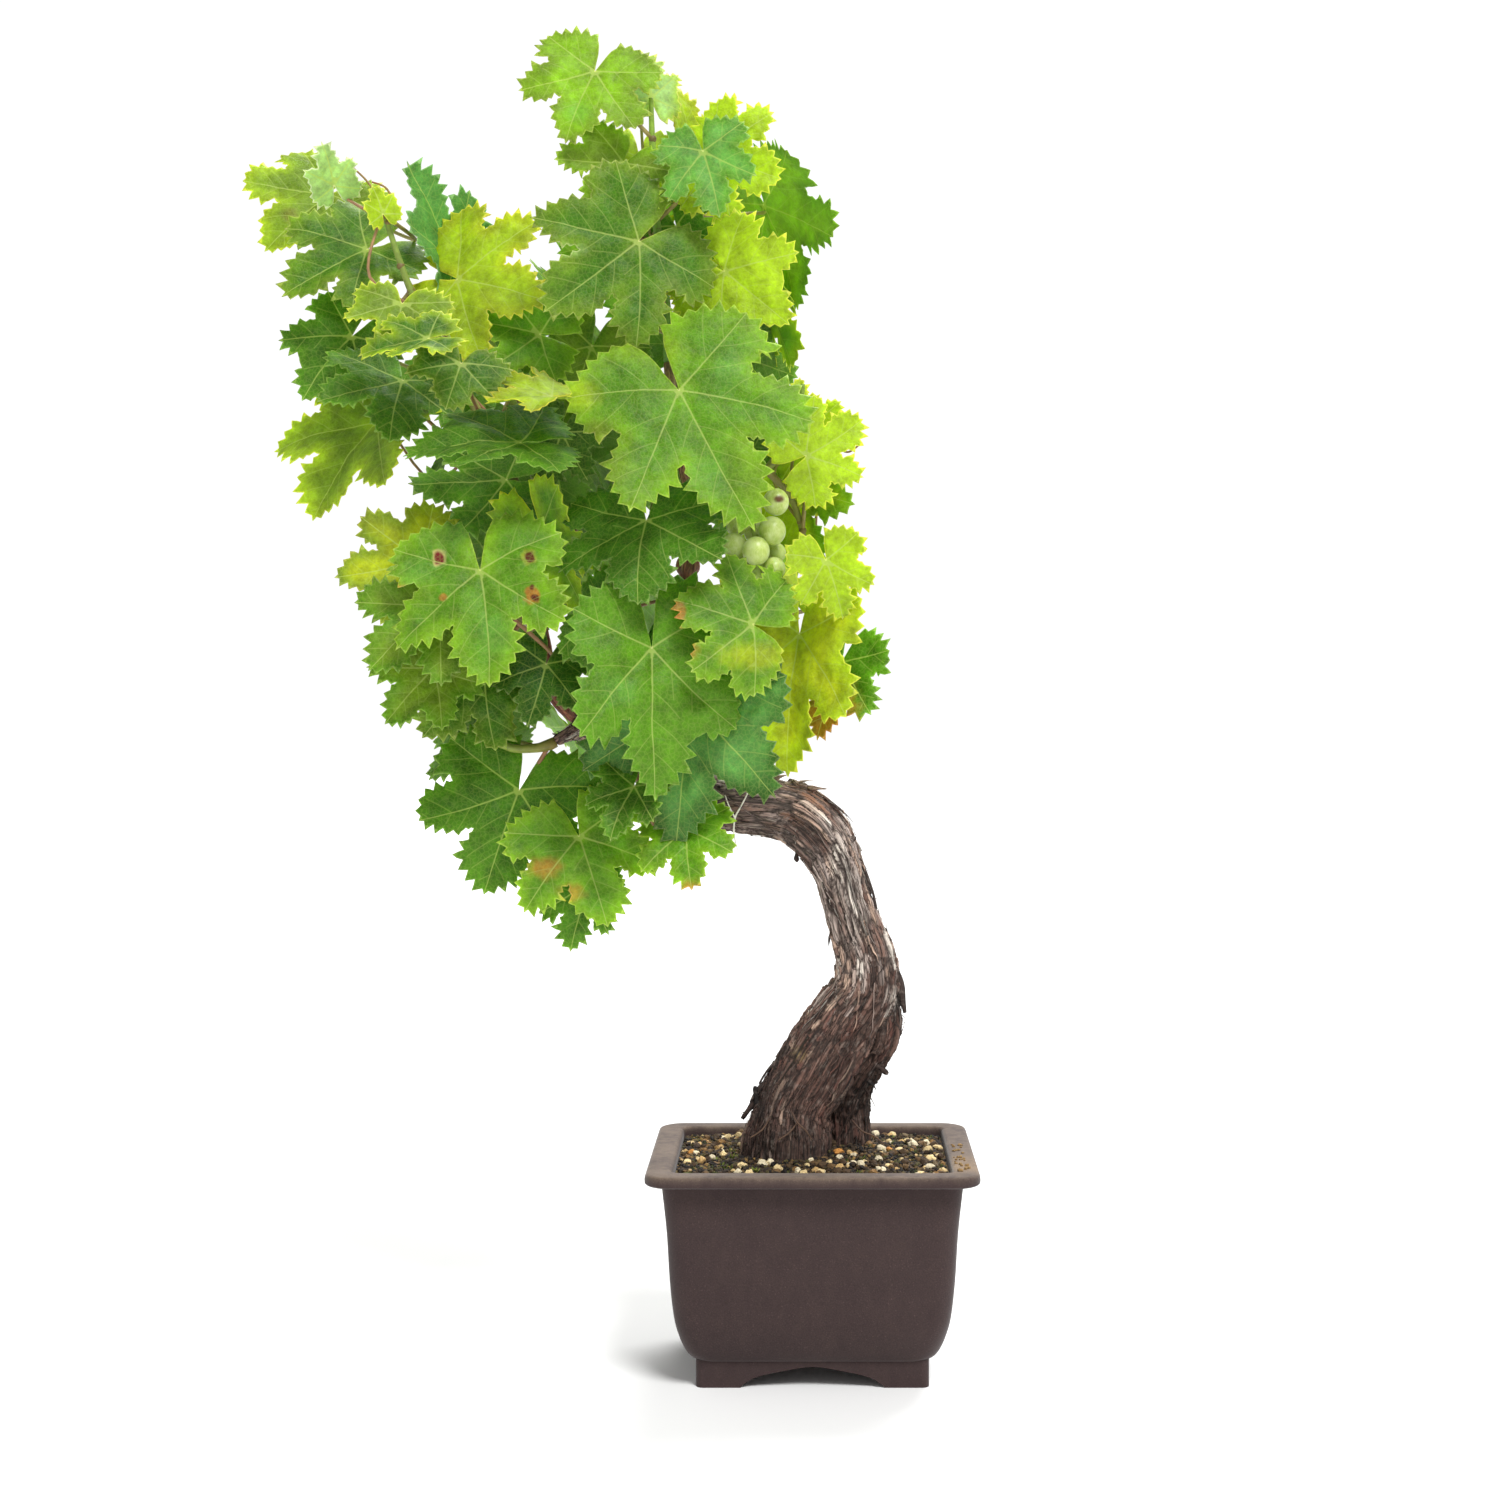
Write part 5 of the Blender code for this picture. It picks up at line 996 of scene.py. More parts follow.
def makeSoil(woodTree):
    look = soilLook
    rng = random.Random(look["seed"])
    half = [size - gap for size in potSize["mouthHalf"]]
    cells = [int(2 * size / (look["cellMm"] * mm)) for size in half]
    bm = bmesh.new()
    bmesh.ops.create_grid(bm, x_segments=cells[0], y_segments=cells[1], size=1.0)
    for vert in bm.verts:
        u, v = vert.co.x, vert.co.y
        x, y = u * half[0], v * half[1]
        z = soilHeight(x, y)
        if max(abs(u), abs(v)) < 0.999:
            large, small = (noise.noise(Vector((x, y, layer)) * look["lumps"][layer])
                            for layer in (0, 1))
            z += look["relief"] * (large + 0.6 * small) - look["sunk"]
        # the sheet's corners are drawn in where the pot's inner corners are rounded
        start = look["cornerFrom"]
        corner = max(0.0, abs(u) - start) * max(0.0, abs(v) - start)
        less = look["cornerIn"] * corner / 0.0049
        inset = mouthInset(z)
        vert.co = (u * (half[0] - inset) - math.copysign(less, u),
                   v * (half[1] - inset) - math.copysign(less, v), z)
    for z in look["skirt"]:
        rim = [edge for edge in bm.edges if edge.is_boundary]
        skirt = bmesh.ops.extrude_edge_only(bm, edges=rim)["geom"]
        for vert in (item for item in skirt if isinstance(item, bmesh.types.BMVert)):
            deeper = mouthInset(z) - mouthInset(vert.co.z)
            vert.co.x -= math.copysign(deeper, vert.co.x)
            vert.co.y -= math.copysign(deeper, vert.co.y)
            vert.co.z = z
    bmesh.ops.contextual_create(bm, geom=[edge for edge in bm.edges if edge.is_boundary])
    bmesh.ops.recalc_face_normals(bm, faces=bm.faces[:])
    addPiece("soil_bed", bm, earthMaterial(), ["soil"])
    scatterGrains("pumice_grains", look["pebbles"], look["pebbleTones"], 2, half, woodTree, rng)
    scatterGrains("grit_grains", look["grit"], look["gritTones"], 1, half, woodTree, rng,
                  look["spilled"])
    makeMoss(half, woodTree, rng)


def soilSpot(half, reach, woodTree, rng):
    # A place on the soil, clear of the pot's wall and of the wood
    while True:
        x = rng.uniform(-1, 1) * (half[0] - reach)
        y = rng.uniform(-1, 1) * (half[1] - reach)
        place = Vector((x, y, soilHeight(x, y)))
        near, normal, face, away = woodTree.find_nearest(place)
        if away > reach * 0.8 and (place - near).dot(normal) > 0:
            return place


def shapeOf(make, **settings):
    # The corners and faces of one small shape, to be repeated many times
    bm = bmesh.new()
    make(bm, **settings)
    bm.verts.index_update()
    corners = [vert.co.copy() for vert in bm.verts]
    faces = [[vert.index for vert in face.verts] for face in bm.faces]
    bm.free()
    return corners, faces


def addShape(bm, places, faces, tint, tone):
    verts = [bm.verts.new(place) for place in places]
    for vert in verts:
        vert[tint] = (*tone, 1.0)
    for face in faces:
        bm.faces.new([verts[i] for i in face])


def scatterGrains(name, amount, tones, subdivisions, half, woodTree, rng, spilled=0):
    look = soilLook
    count, (small, large) = amount
    corners, faces = shapeOf(bmesh.ops.create_icosphere, subdivisions=subdivisions, radius=1.0)
    bm = bmesh.new()
    tint = addLayer(bm, "tint", "float_color")
    hexes, weights = zip(*tones)
    for i in range(count):
        radius = rng.uniform(small, large) * mm / 2
        place = soilSpot(half, radius * 1.1, woodTree, rng)
        place.z += radius * rng.uniform(0.0, 0.45)
        if i < spilled:
            radius *= look["spillSize"]
            place = Vector((rng.uniform(*look["spillX"]) * mm, rng.uniform(*look["spillY"]) * mm,
                            potSize["height"] + 0.3 * radius))
        squash = Vector((rng.uniform(0.8, 1.25), rng.uniform(0.75, 1.1),
                         rng.uniform(0.6, 0.9))) * radius
        turn = Quaternion((rng.uniform(-0.5, 0.5), rng.uniform(-0.5, 0.5), 1), rng.uniform(0, 6.28))
        shape = [corner * (1 + 0.42 * noise.noise(corner * 1.7 + Vector((i, 0.3 * i, 0))))
                 for corner in corners]
        shade = rng.uniform(0.82, 1.12)
        tone = [min(1.0, part * shade) for part in linear(rng.choices(hexes, weights)[0])]
        if i < spilled:
            tone = mixed(tone, linear(look["dust"]), look["dusty"])
        addShape(bm, [place + turn @ (corner * squash) for corner in shape], faces, tint, tone)
    addPiece(name, bm, stoneMaterial(name.replace("_", " "), 0.85), smooth=False)


def makeMoss(half, woodTree, rng):
    # Small tufts of moss between the grains
    corners, faces = shapeOf(bmesh.ops.create_cone, cap_ends=True, segments=3, radius1=0.28 * mm,
                             radius2=0.05 * mm, depth=1.0)
    bm = bmesh.new()
    tint = addLayer(bm, "tint", "float_color")
    look = soilLook
    for clump in range(look["mossClumps"]):
        middle = soilSpot(half, 3 * mm, woodTree, rng)
        tone = linear(rng.choice(look["mossTones"]))
        for blade in range(rng.randint(*look["mossBlades"])):
            aside = [rng.gauss(0, look["mossSpread"]) for axis in range(2)]
            foot = middle + Vector((*aside, -0.3)) * mm
            high = rng.uniform(*look["mossHigh"]) * mm
            lean = Quaternion((rng.uniform(-1, 1), rng.uniform(-1, 1), 0.01), rng.uniform(0.1, 0.9))
            places = [foot + lean @ Vector((x, y, (z + 0.5) * high)) for x, y, z in corners]
            addShape(bm, places, faces, tint, tone)
    addPiece("moss_tufts", bm, stoneMaterial("soil moss", 0.7))


def straightened(places, routes):
    # For every vertex its limb, its place along and round it, and the limb's radius there. A
    # frame's columns are place, radius, along, side, over and distance.
    best = np.full(len(places), 1e9)
    found = np.zeros((len(places), 3))
    owner = np.zeros(len(places), int)
    for number, route in enumerate(routes):
        frames = np.array([(*place, radius, *ahead, *side, *over, travelled)
                           for place, radius, ahead, side, over, travelled in limbFrames(route)])
        away = np.linalg.norm(places[:, None, :] - frames[None, :, :3], axis=2)
        row = frames[away.argmin(axis=1)]
        offset = places - row[:, :3]
        outside = away.min(axis=1) - row[:, 3]
        along = row[:, 13] + (offset * row[:, 4:7]).sum(axis=1)
        around = np.arctan2((offset * row[:, 10:13]).sum(axis=1), (offset * row[:, 7:10]).sum(axis=1))
        better = outside < best
        best[better] = outside[better]
        found[better] = np.stack([along, around, row[:, 3]], axis=1)[better]
        owner[better] = number
    return found, owner


def joinBodies(bodies):
    # Several closed bodies in one mesh
    mesh = bpy.data.meshes.new("joined")
    joined = bmesh.new()
    for body in bodies:
        body.to_mesh(mesh)
        body.free()
        joined.from_mesh(mesh)
    bpy.data.meshes.remove(mesh)
    return joined


# Old wood: cells of bark in mm across and along, how deep the cracks between them are, how much
# strips differ in height, how far their ends lift, and the fine fibre
woodLook = {
    "voxel": 0.86 * mm, "cell": (2.9, 38.0), "crack": 1.25, "crackWide": 0.24, "step": 1.1,
    "lift": 1.1, "fibre": 0.5,
    # finer from one height in the picture to the other
    "fineFrom": (930, 1060), "fineCell": (2.0, 42.0), "fineCrack": 0.75,
    "tones": {"grey": "#B4A298", "tan": "#BC9E8A", "brown": "#72574C", "dark": "#3D2D26",
              "black": "#1A1310", "red": "#66443A", "orange": "#A8744F", "white": "#E0D5C8",
              "lichen": "#7D7842", "fibre": "#7A5E52"},
    # what most strips are, with weights, above the bulge and, from a height on, below it
    "lowFrom": 985,
    "upper": (("grey", 6), ("tan", 5), ("brown", 3), ("fibre", 2), ("dark", 2), ("white", 4)),
    "lower": (("brown", 5), ("fibre", 3), ("dark", 5), ("red", 4), ("tan", 1)),
    # patches in the picture: middle, half sizes, tone, how strong
    "patches": ((752, 816, 8, 8, "tan", 0.8), (773, 812, 5, 4, "white", 0.9),
                (708, 810, 38, 28, "black", 0.75), (748, 812, 44, 26, "brown", 0.85),
                (772, 826, 36, 14, "dark", 0.6), (792, 1150, 74, 22, "black", 0.85),
                (750, 1100, 24, 44, "dark", 0.6), (786, 782, 34, 9, "tan", 0.6),
                (808, 800, 32, 22, "orange", 0.45), (796, 830, 26, 12, "dark", 0.5),
                # the white patches at (840, 866) and (854, 910) are pale bark partly painted highlight
                # of the trunk's lit right side; the dark one at (815, 870) is painted shade on its
                # inner left side
                (840, 866, 11, 40, "white", 0.75), (815, 870, 8, 40, "dark", 0.7),
                (854, 910, 12, 40, "white", 0.6), (842, 975, 16, 20, "tan", 0.4),
                (884, 985, 18, 22, "dark", 0.6), (900, 1000, 10, 26, "black", 0.75),
                (893, 998, 7, 12, "white", 0.5), (870, 1010, 22, 16, "brown", 0.5),
                (800, 1055, 10, 9, "lichen", 0.45), (873, 1050, 14, 26, "fibre", 0.6),
                (872, 1105, 24, 38, "black", 0.9), (846, 1105, 18, 22, "black", 0.8),
                (845, 1060, 8, 30, "dark", 0.7), (765, 1110, 18, 26, "dark", 0.7),
                (782, 1075, 14, 22, "dark", 0.5), (812, 1090, 22, 34, "red", 0.5),
                (640, 760, 40, 26, "dark", 0.5), (590, 726, 26, 20, "tan", 0.3)),
}


def woodTone(rng, choices):
    names, weights = zip(*choices)
    return linear(woodLook["tones"][rng.choices(names, weights)[0]])


def barkSkin(bodies, routes, look, toneOf):
    # The joined limbs as one skin, cracked along their length, with its fibre and tint stored
    bm = meshWith(joinBodies(bodies), "wood", "REMESH", mode="VOXEL", voxel_size=look["voxel"],
                  use_smooth_shade=True)
    bmesh.ops.smooth_vert(bm, verts=bm.verts[:], factor=0.5, use_axis_x=True, use_axis_y=True,
                          use_axis_z=True)
    bm.normal_update()
    fibre = addLayer(bm, "fibre", "float_vector")
    crackLayer, tint = addLayer(bm, "crack"), addLayer(bm, "tint", "float_color")
    places = np.array([vert.co[:] for vert in bm.verts])
    found, owner = straightened(places, routes)
    for vert, (along, around, radius), limb in zip(bm.verts, found, owner):
        flatX, flatY = radius * math.cos(around) / mm, radius * math.sin(around) / mm
        run = along / mm + 300.0 * limb
        px, py = toPicture(vert.co)
        first, last = look["fineFrom"]
        fine = clamp((py - first) / (last - first)) if limb < 2 else 0.0
        wide, long = (plain + (thin - plain) * fine
                      for plain, thin in zip(look["cell"], look["fineCell"]))
        deep = look["crack"] + (look["fineCrack"] - look["crack"]) * fine
        at = Vector((flatX / wide, flatY / wide, run / long))
        at += noise.noise_vector(Vector((flatX / 9, flatY / 9, run / 17))) * 0.55
        away, centres = noise.voronoi(at)
        crack = clamp((away[1] - away[0]) / look["crackWide"])
        crack = crack * crack * (3 - 2 * crack)
        chance = 0.5 + 0.5 * noise.cell(centres[0] * 7.13)
        end = (at.z - centres[0].z) * (1 if chance > 0.4 else -1)
        height = deep * (crack - 1) + look["step"] * (chance - 0.4) * crack
        height += look["lift"] * max(0.0, end) ** 1.5 * crack * 1.6
        height += look["fibre"] * noise.noise(Vector((flatX * 1.3, flatY * 1.3, run / 7)))
        height += look["fibre"] * 0.6 * noise.noise(Vector((flatX * 3.1, flatY * 3.1, run / 11)))
        vert[fibre] = (flatX, flatY, run)
        vert[crackLayer] = crack
        vert[tint] = (*toneOf(px, py, chance, crack, limb), 1.0)
        vert.co += vert.normal * height * mm
    bm.normal_update()
    return bm


def trunkTone(px, py, chance, crack, limb):
    look = woodLook
    pick = random.Random(int(chance * 9973) + 17 * int(limb))
    low = py + 90 * (chance - 0.5) > look["lowFrom"]
    tone = woodTone(pick, look["lower"] if low else look["upper"])
    for patch in look["patches"]:
        share = patch[5] * clamp(1.6 - 1.15 * ovalAway(px, py, patch) - 0.35 * chance)
        tone = mixed(tone, linear(look["tones"][patch[4]]), share)
    plain = mixed(*(linear(look["tones"][name]) for name in ("brown", "fibre" if low else "grey")), 0.5)
    return mixed(plain, tone, 1.0 if crack > 0.99 else crack)


def barkMaterial(name, roughness, streakMm, contrast, hollowShare=0.85, seamMm=2.0):
    # Old vine bark: dry fibrous strips, matt, streaked along the grain, with painted shade in the
    # cracks and between the fibres
    material, tree, shader = startMaterial(name, Roughness=roughness)
    fibre = addNode(tree, "Attribute", attribute_name="fibre", out="Vector")
    tint = addNode(tree, "Attribute", attribute_name="tint", out="Color")
    crack = addNode(tree, "Attribute", attribute_name="crack", out="Fac")
    drawn = addNode(tree, "Mapping", {"Vector": fibre, "Scale": (1.0, 1.0, 0.06)})
    streak = addNode(tree, "TexNoise", {"Vector": drawn, "Scale": 1.0 / streakMm, "Detail": 5.0,
                                        "Roughness": 0.65})
    place = addNode(tree, "TexCoord", out="Object")
    dust = addNode(tree, "TexNoise", {"Vector": place, "Scale": perMm(3.5), "Detail": 4.0})
    # thin seams of painted shade between the fibres
    warp = addNode(tree, "TexNoise", {"Vector": drawn, "Scale": 0.30, "Detail": 3.0}, out="Color")
    bent = addNode(tree, "VectorMath", (warp, (2.4, 2.4, 2.4), drawn), operation="MULTIPLY_ADD")
    seams = addNode(tree, "TexVoronoi", {"Vector": bent, "Scale": 1.0 / seamMm},
                    feature="DISTANCE_TO_EDGE", out="Distance")
    seam = addNode(tree, "MapRange", (seams, 0.0, 0.085, hollowShare, 0.0))
    shade = addNode(tree, "ValToRGB", (streak,),
                    [(0.30, 1.0 - contrast), (0.5, 1.0), (0.70, 1.0 + contrast)])
    streaked = addNode(tree, "Mix", {0: 1.0, 6: tint, 7: shade}, **times)
    pale = addNode(tree, "MapRange", (dust, 0.52, 0.72, 0.0, 0.35))
    dusty = addNode(tree, "Mix", {0: pale, 6: streaked, 7: colour("#AA9C90")}, **rgba)
    # painted shade: nearly black in the cracks and in the seams
    crackShade = addNode(tree, "MapRange", (crack, 0.0, 0.8, hollowShare, 0.0))
    crackShade = addNode(tree, "Math", (crackShade, seam), operation="MAXIMUM")
    finish = addNode(tree, "Mix", {0: crackShade, 6: dusty, 7: colour("#17100C")}, **rgba)
    relief = addNode(tree, "Math", (streak, seam), operation="SUBTRACT")
    dress(tree, shader, finish, relief, 0.9, 0.0007)
    return material


def makeTrunk():
    routes = [seenRoute(trunkRoute, 6)] + [seenRoute(route, 5)
                                           for route in (rootLeft, rootRight, rootBack)]
    others = [seenRoute(stub, 6) for stub in stubs + trunkSpurs + (caneSeats["cane_centre"],)]
    bodies = [loft(limbRings(routes[0], 48, bark))]
    bodies += [loft(limbRings(route, 28)) for route in routes[1:] + others]
    skin = barkSkin(bodies, routes + others, woodLook, trunkTone)
    tree = BVHTree.FromBMesh(skin)
    addPiece("trunk_wood", skin, barkMaterial("old vine bark", 0.88, 0.8, 0.6), ["trunk"])
    makeStrips(tree, routes)
    makeRootlets(tree)
    return tree


# Loose strips of bark: how many on each limb, their size in mm, and those seen against the light
stripLook = {
    "counts": (230, 20, 34, 12), "long": (14, 44), "half": (0.3, 1.2), "lift": (0.4, 3.2),
    "thick": 0.25, "steps": 9, "seed": 12,
    # picture point of the fixed end, of the loose end, depth and half width in mm, and tone
    "drawn": ((806, 1020, 802, 1046, -8, 1.5, "fibre"), (768, 1078, 750, 1102, -4, 2.2, "dark"),
              (760, 1096, 742, 1119, -3, 2.2, "dark"), (776, 1060, 759, 1084, -3, 1.9, "dark"),
              (824, 796, 850, 826, -4, 1.6, "brown"), (846, 822, 855, 844, -3, 1.5, "brown"),
              (866, 864, 877, 909, -1, 2.3, "dark"), (862, 884, 868, 910, -4, 1.9, "brown"),
              (876, 930, 884, 958, 0, 1.2, "tan"), (884, 962, 901, 1006, -1, 3.2, "black"),
              (889, 968, 905, 1013, -1, 3.0, "dark"), (890, 1020, 902, 1034, 2, 1.2, "dark"),
              (886, 1040, 880, 1064, 6, 1.3, "dark"), (870, 1062, 888, 1074, 4, 2.0, "dark"),
              (866, 1078, 876, 1090, 8, 1.5, "black"), (868, 1090, 876, 1108, 8, 0.5, "dark"),
              (690, 806, 676, 822, -6, 1.4, "dark"), (640, 772, 626, 786, -5, 1.3, "dark"),
              (787, 1066, 791, 1034, -6, 2.0, "dark"), (781, 1072, 785, 1046, -5, 1.8, "dark"),
              (808, 1026, 816, 1012, -6, 1.4, "brown"), (762, 1108, 755, 1086, -4, 1.9, "black"),
              (760, 1108, 740, 1114, -2, 0.5, "fibre"), (836, 788, 853, 822, -6, 1.2, "dark"),
              (846, 846, 855, 836, -4, 1.9, "dark"), (803, 846, 797, 862, -3, 1.8, "dark"),
              (800, 840, 797, 850, -3, 1.0, "dark"), (832, 930, 829, 946, -3, 1.8, "dark"),
              (812, 782, 827, 789, -6, 1.6, "tan"), (796, 778, 814, 781, -6, 1.5, "tan"),
              (770, 779, 788, 775, -6, 1.3, "tan"), (700, 816, 694, 826, -8, 1.4, "dark")),
}


def ribbon(bm, places, outs, half, thick, tint, tone, fibre, run):
    # A thin cupped strip along places, pointed at its loose end, with a closed skin
    rows = []
    for i, (place, out) in enumerate(zip(places, outs)):
        ahead = (places[min(i + 1, len(places) - 1)] - places[max(i - 1, 0)]).normalized()
        across = ahead.cross(out).normalized()
        share = i / (len(places) - 1)
        wide = half * (1 - (0.55 * share ** 5 if half > 1.7 * mm else 0.85 * share ** 2.2))
        wide *= 0.8 + 0.2 * math.sin(7 * share + run)
        row = []
        for k, step in enumerate((-1, 0, 1, 0)):
            cup = -0.25 * wide if k in (0, 2) else 0.0
            under = -thick if k == 3 else 0.0
            vert = bm.verts.new(place + across * wide * step + out * (cup + under + thick * 0.5))
            vert[tint] = (*tone, 1.0)
            vert[fibre] = (wide * step / mm + 3 * run, 0.6 * step, 40.0 * share + 50 * run)
            row.append(vert)
        rows.append(row)
    skinRows(bm, rows)


def makeStrips(woodTree, routes):
    look = stripLook
    rng = random.Random(look["seed"])
    bm = bmesh.new()
    tint, fibre = addLayer(bm, "tint", "float_color"), addLayer(bm, "fibre", "float_vector")
    crack = addLayer(bm, "crack")
    for count, route in zip(look["counts"], routes):
        for i in range(count):
            k = rng.randint(int(len(route) * 0.12), len(route) - 3)
            place, radius = route[k]
            ahead = (route[k + 1][0] - place).normalized()
            side = Quaternion(ahead, rng.uniform(0, 2 * math.pi)) @ ahead.orthogonal().normalized()
            start, normal = woodTree.find_nearest(place + side * radius * 1.6)[:2]
            if start.z < soilLook["top"] + 0.002:
                continue
            hang = (ahead if rng.random() < 0.35 else -ahead) + side * 0.02
            long = rng.uniform(*look["long"]) * mm
            lift = rng.uniform(*look["lift"]) * mm * (1.8 if rng.random() < 0.2 else 0.7)
            sway = ahead.cross(normal) * rng.uniform(-0.12, 0.12)
            places, outs = [], []
            for step in range(look["steps"]):
                share = step / (look["steps"] - 1)
                along = start + (hang + sway * share) * long * share
                near, out = woodTree.find_nearest(along)[:2]
                loose = lift * max(0.0, share - 0.45) ** 1.7 * 2.6
                places.append(near + out * ((0.25 + 0.35 * math.sin(9 * share)) * mm + loose))
                outs.append(out)
            px, py = toPicture(places[4])
            tone = trunkTone(px, py, rng.random(), 1.0, 0)
            shade = rng.uniform(0.45, 1.35)
            tone = [min(0.9, part * shade) for part in tone]
            ribbon(bm, places, outs, rng.uniform(*look["half"]) * mm, look["thick"] * mm, tint, tone,
                   fibre, rng.uniform(0, 20))
    for x0, y0, x1, y1, depth, half, shade in look["drawn"]:
        start, end = sight(x0, y0, depth), sight(x1, y1, depth)
        near, out = woodTree.find_nearest(start)[:2]
        places = []
        for step in range(look["steps"]):
            share = step / (look["steps"] - 1)
            places.append(near.lerp(end, share) + out * math.sin(math.pi * share) * 0.9 * mm)
        outward = Vector((out.x, out.y - 0.9, out.z)).normalized()
        tone = linear(woodLook["tones"][shade])
        ribbon(bm, places, [outward] * look["steps"], half * mm, 0.4 * mm, tint, tone, fibre,
               rng.uniform(0, 20))
    for vert in bm.verts:
        vert[crack] = 1.0
    bmesh.ops.recalc_face_normals(bm, faces=bm.faces[:])
    addPiece("bark_strips", bm, barkMaterial("peeling bark strips", 0.86, 0.6, 0.5, 0.6, 1.2))


def tube(bm, route, sides, tint, tones):
    # A round stem along a route with its own tint from end to end
    rows = [[bm.verts.new(point) for point in ring] for ring in limbRings(route, sides)]
    skinRows(bm, rows)
    for i, row in enumerate(rows):
        tone = mixed(*tones, i / (len(rows) - 1))
        for vert in row:
            vert[tint] = (*tone, 1.0)


# Thin roots at the base, and the pale forked fibre under the arm
fibreLook = {"rootlets": (((792, 1112, -22, 0.5), (797, 1122, -24, 0.45), (806, 1131, -24, 0.4),
                           (812, 1140, -22, 0.3)),
                          ((852, 1120, -4, 0.5), (862, 1131, -8, 0.45), (874, 1136, -10, 0.4),
                           (884, 1144, -9, 0.3)),
                          ((770, 1118, -18, 0.55), (762, 1130, -20, 0.45), (750, 1138, -20, 0.35)),
                          ((800, 1118, -20, 0.45), (790, 1132, -24, 0.4), (778, 1140, -25, 0.3))),
             "forked": (((752, 776, -14, 0.5), (748, 792, -15, 0.5), (741, 806, -15, 0.6),
                         (735, 818, -14, 0.7), (734, 834, -13, 0.6), (738, 851, -12, 0.35)),
                        ((725, 795, -13, 0.4), (729, 806, -14, 0.5), (735, 818, -14, 0.6))),
             "root": ("#4C372B", "#6B523F"), "pale": ("#D9D2C2", "#EDE8DC")}


def onWood(woodTree, px, py, depth, radius):
    # Just in front of the wood where the eye meets it, or else at the depth given
    spot = sight(px, py, depth)
    ahead = (spot - eyeAt).normalized()
    hit = woodTree.ray_cast(eyeAt, ahead)[0]
    return (hit - ahead * 0.9 * mm if hit else spot), 0.75 * radius * mm


def makeRootlets(woodTree):
    bm = bmesh.new()
    tint = addLayer(bm, "tint", "float_color")
    for rows, tones in ((fibreLook["rootlets"], "root"), (fibreLook["forked"], "pale")):
        for row in rows:
            route = seenRoute(row, 5)
            if tones == "pale":
                route = smoothRoute([onWood(woodTree, *point) for point in row], 5)
            tube(bm, route, 7, tint, [linear(tone) for tone in fibreLook[tones]])
    addPiece("root_fibres", bm, stemMaterial("dry root fibre", 0.8))


# Last year's canes: smooth red-brown bark, finely furrowed, shaggy at the old joints
caneLook = {"voxel": 0.6 * mm, "cell": (1.5, 26.0), "crack": 0.32, "crackWide": 0.22, "step": 0.25,
            "lift": 0.2, "fibre": 0.14, "fineFrom": (9000, 9999), "fineCell": (1.5, 26.0),
            "fineCrack": 0.3, "tones": ("#A65C44", "#B87458", "#8F4A38", "#A87A5E"),
            "joint": "#B07C62", "upper": "#8F7A44",
            "joints": ((688, 566, 14), (541, 632, 8), (533, 600, 7), (680, 596, 8), (691, 528, 8),
                       (689, 500, 7), (553, 690, 9), (601, 725, 12))}


def caneTone(px, py, chance, crack, limb):
    tone = linear(caneLook["tones"][int(chance * 3.99)])
    for middleX, middleY, reach in caneLook["joints"]:
        away = math.hypot(px - middleX, py - middleY) / reach
        tone = mixed(tone, linear(caneLook["joint"]), 0.75 * max(0.0, 1.3 - away))
    tone = mixed(tone, linear(caneLook["upper"]), (520 - py) / 90)
    # darker in the cracks: painted shade
    return [part * (0.65 + 0.35 * crack) for part in tone]


def makeCanes():
    material = barkMaterial("cane bark", 0.62, 0.5, 0.3, 0.45, 1.1)
    for name in caneRoutes:
        routes = [seatedRoute(caneSeats[name], caneRoutes[name], caneBaseR, 8)]
        routes += [seenRoute(spur, 6) for spur in spurs[name]]
        bodies = [loft(limbRings(route, 24)) for route in routes]
        if name == "cane_centre":
            bodies.append(caneJoint(3))
        skin = barkSkin(bodies, routes, caneLook, caneTone)
        addPiece(name + "_wood", skin, material, [name])


def caneJoint(subdivisions):
    joint = bmesh.new()
    bmesh.ops.create_icosphere(joint, subdivisions=subdivisions, radius=caneKnot[3] * mm)
    bmesh.ops.translate(joint, vec=sight(*caneKnot[:3]), verts=joint.verts[:])
    return joint


def stemMaterial(name, roughness):
    # Green and reddish young wood: smooth, slightly waxy, with faint lengthwise variation
    material, tree, shader = startMaterial(name, Roughness=roughness)
    place = addNode(tree, "TexCoord", out="Object")
    tint = addNode(tree, "Attribute", attribute_name="tint", out="Color")
    mottle = addNode(tree, "TexNoise", {"Vector": place, "Scale": perMm(4), "Detail": 4.0})
    shade = addNode(tree, "ValToRGB", (mottle,), [(0.30, 0.72), (0.5, 1.0), (0.7, 1.2)])
    finish = addNode(tree, "Mix", {0: 1.0, 6: tint, 7: shade}, **times)
    dress(tree, shader, finish, mottle, 0.3, 0.0003)
    return material


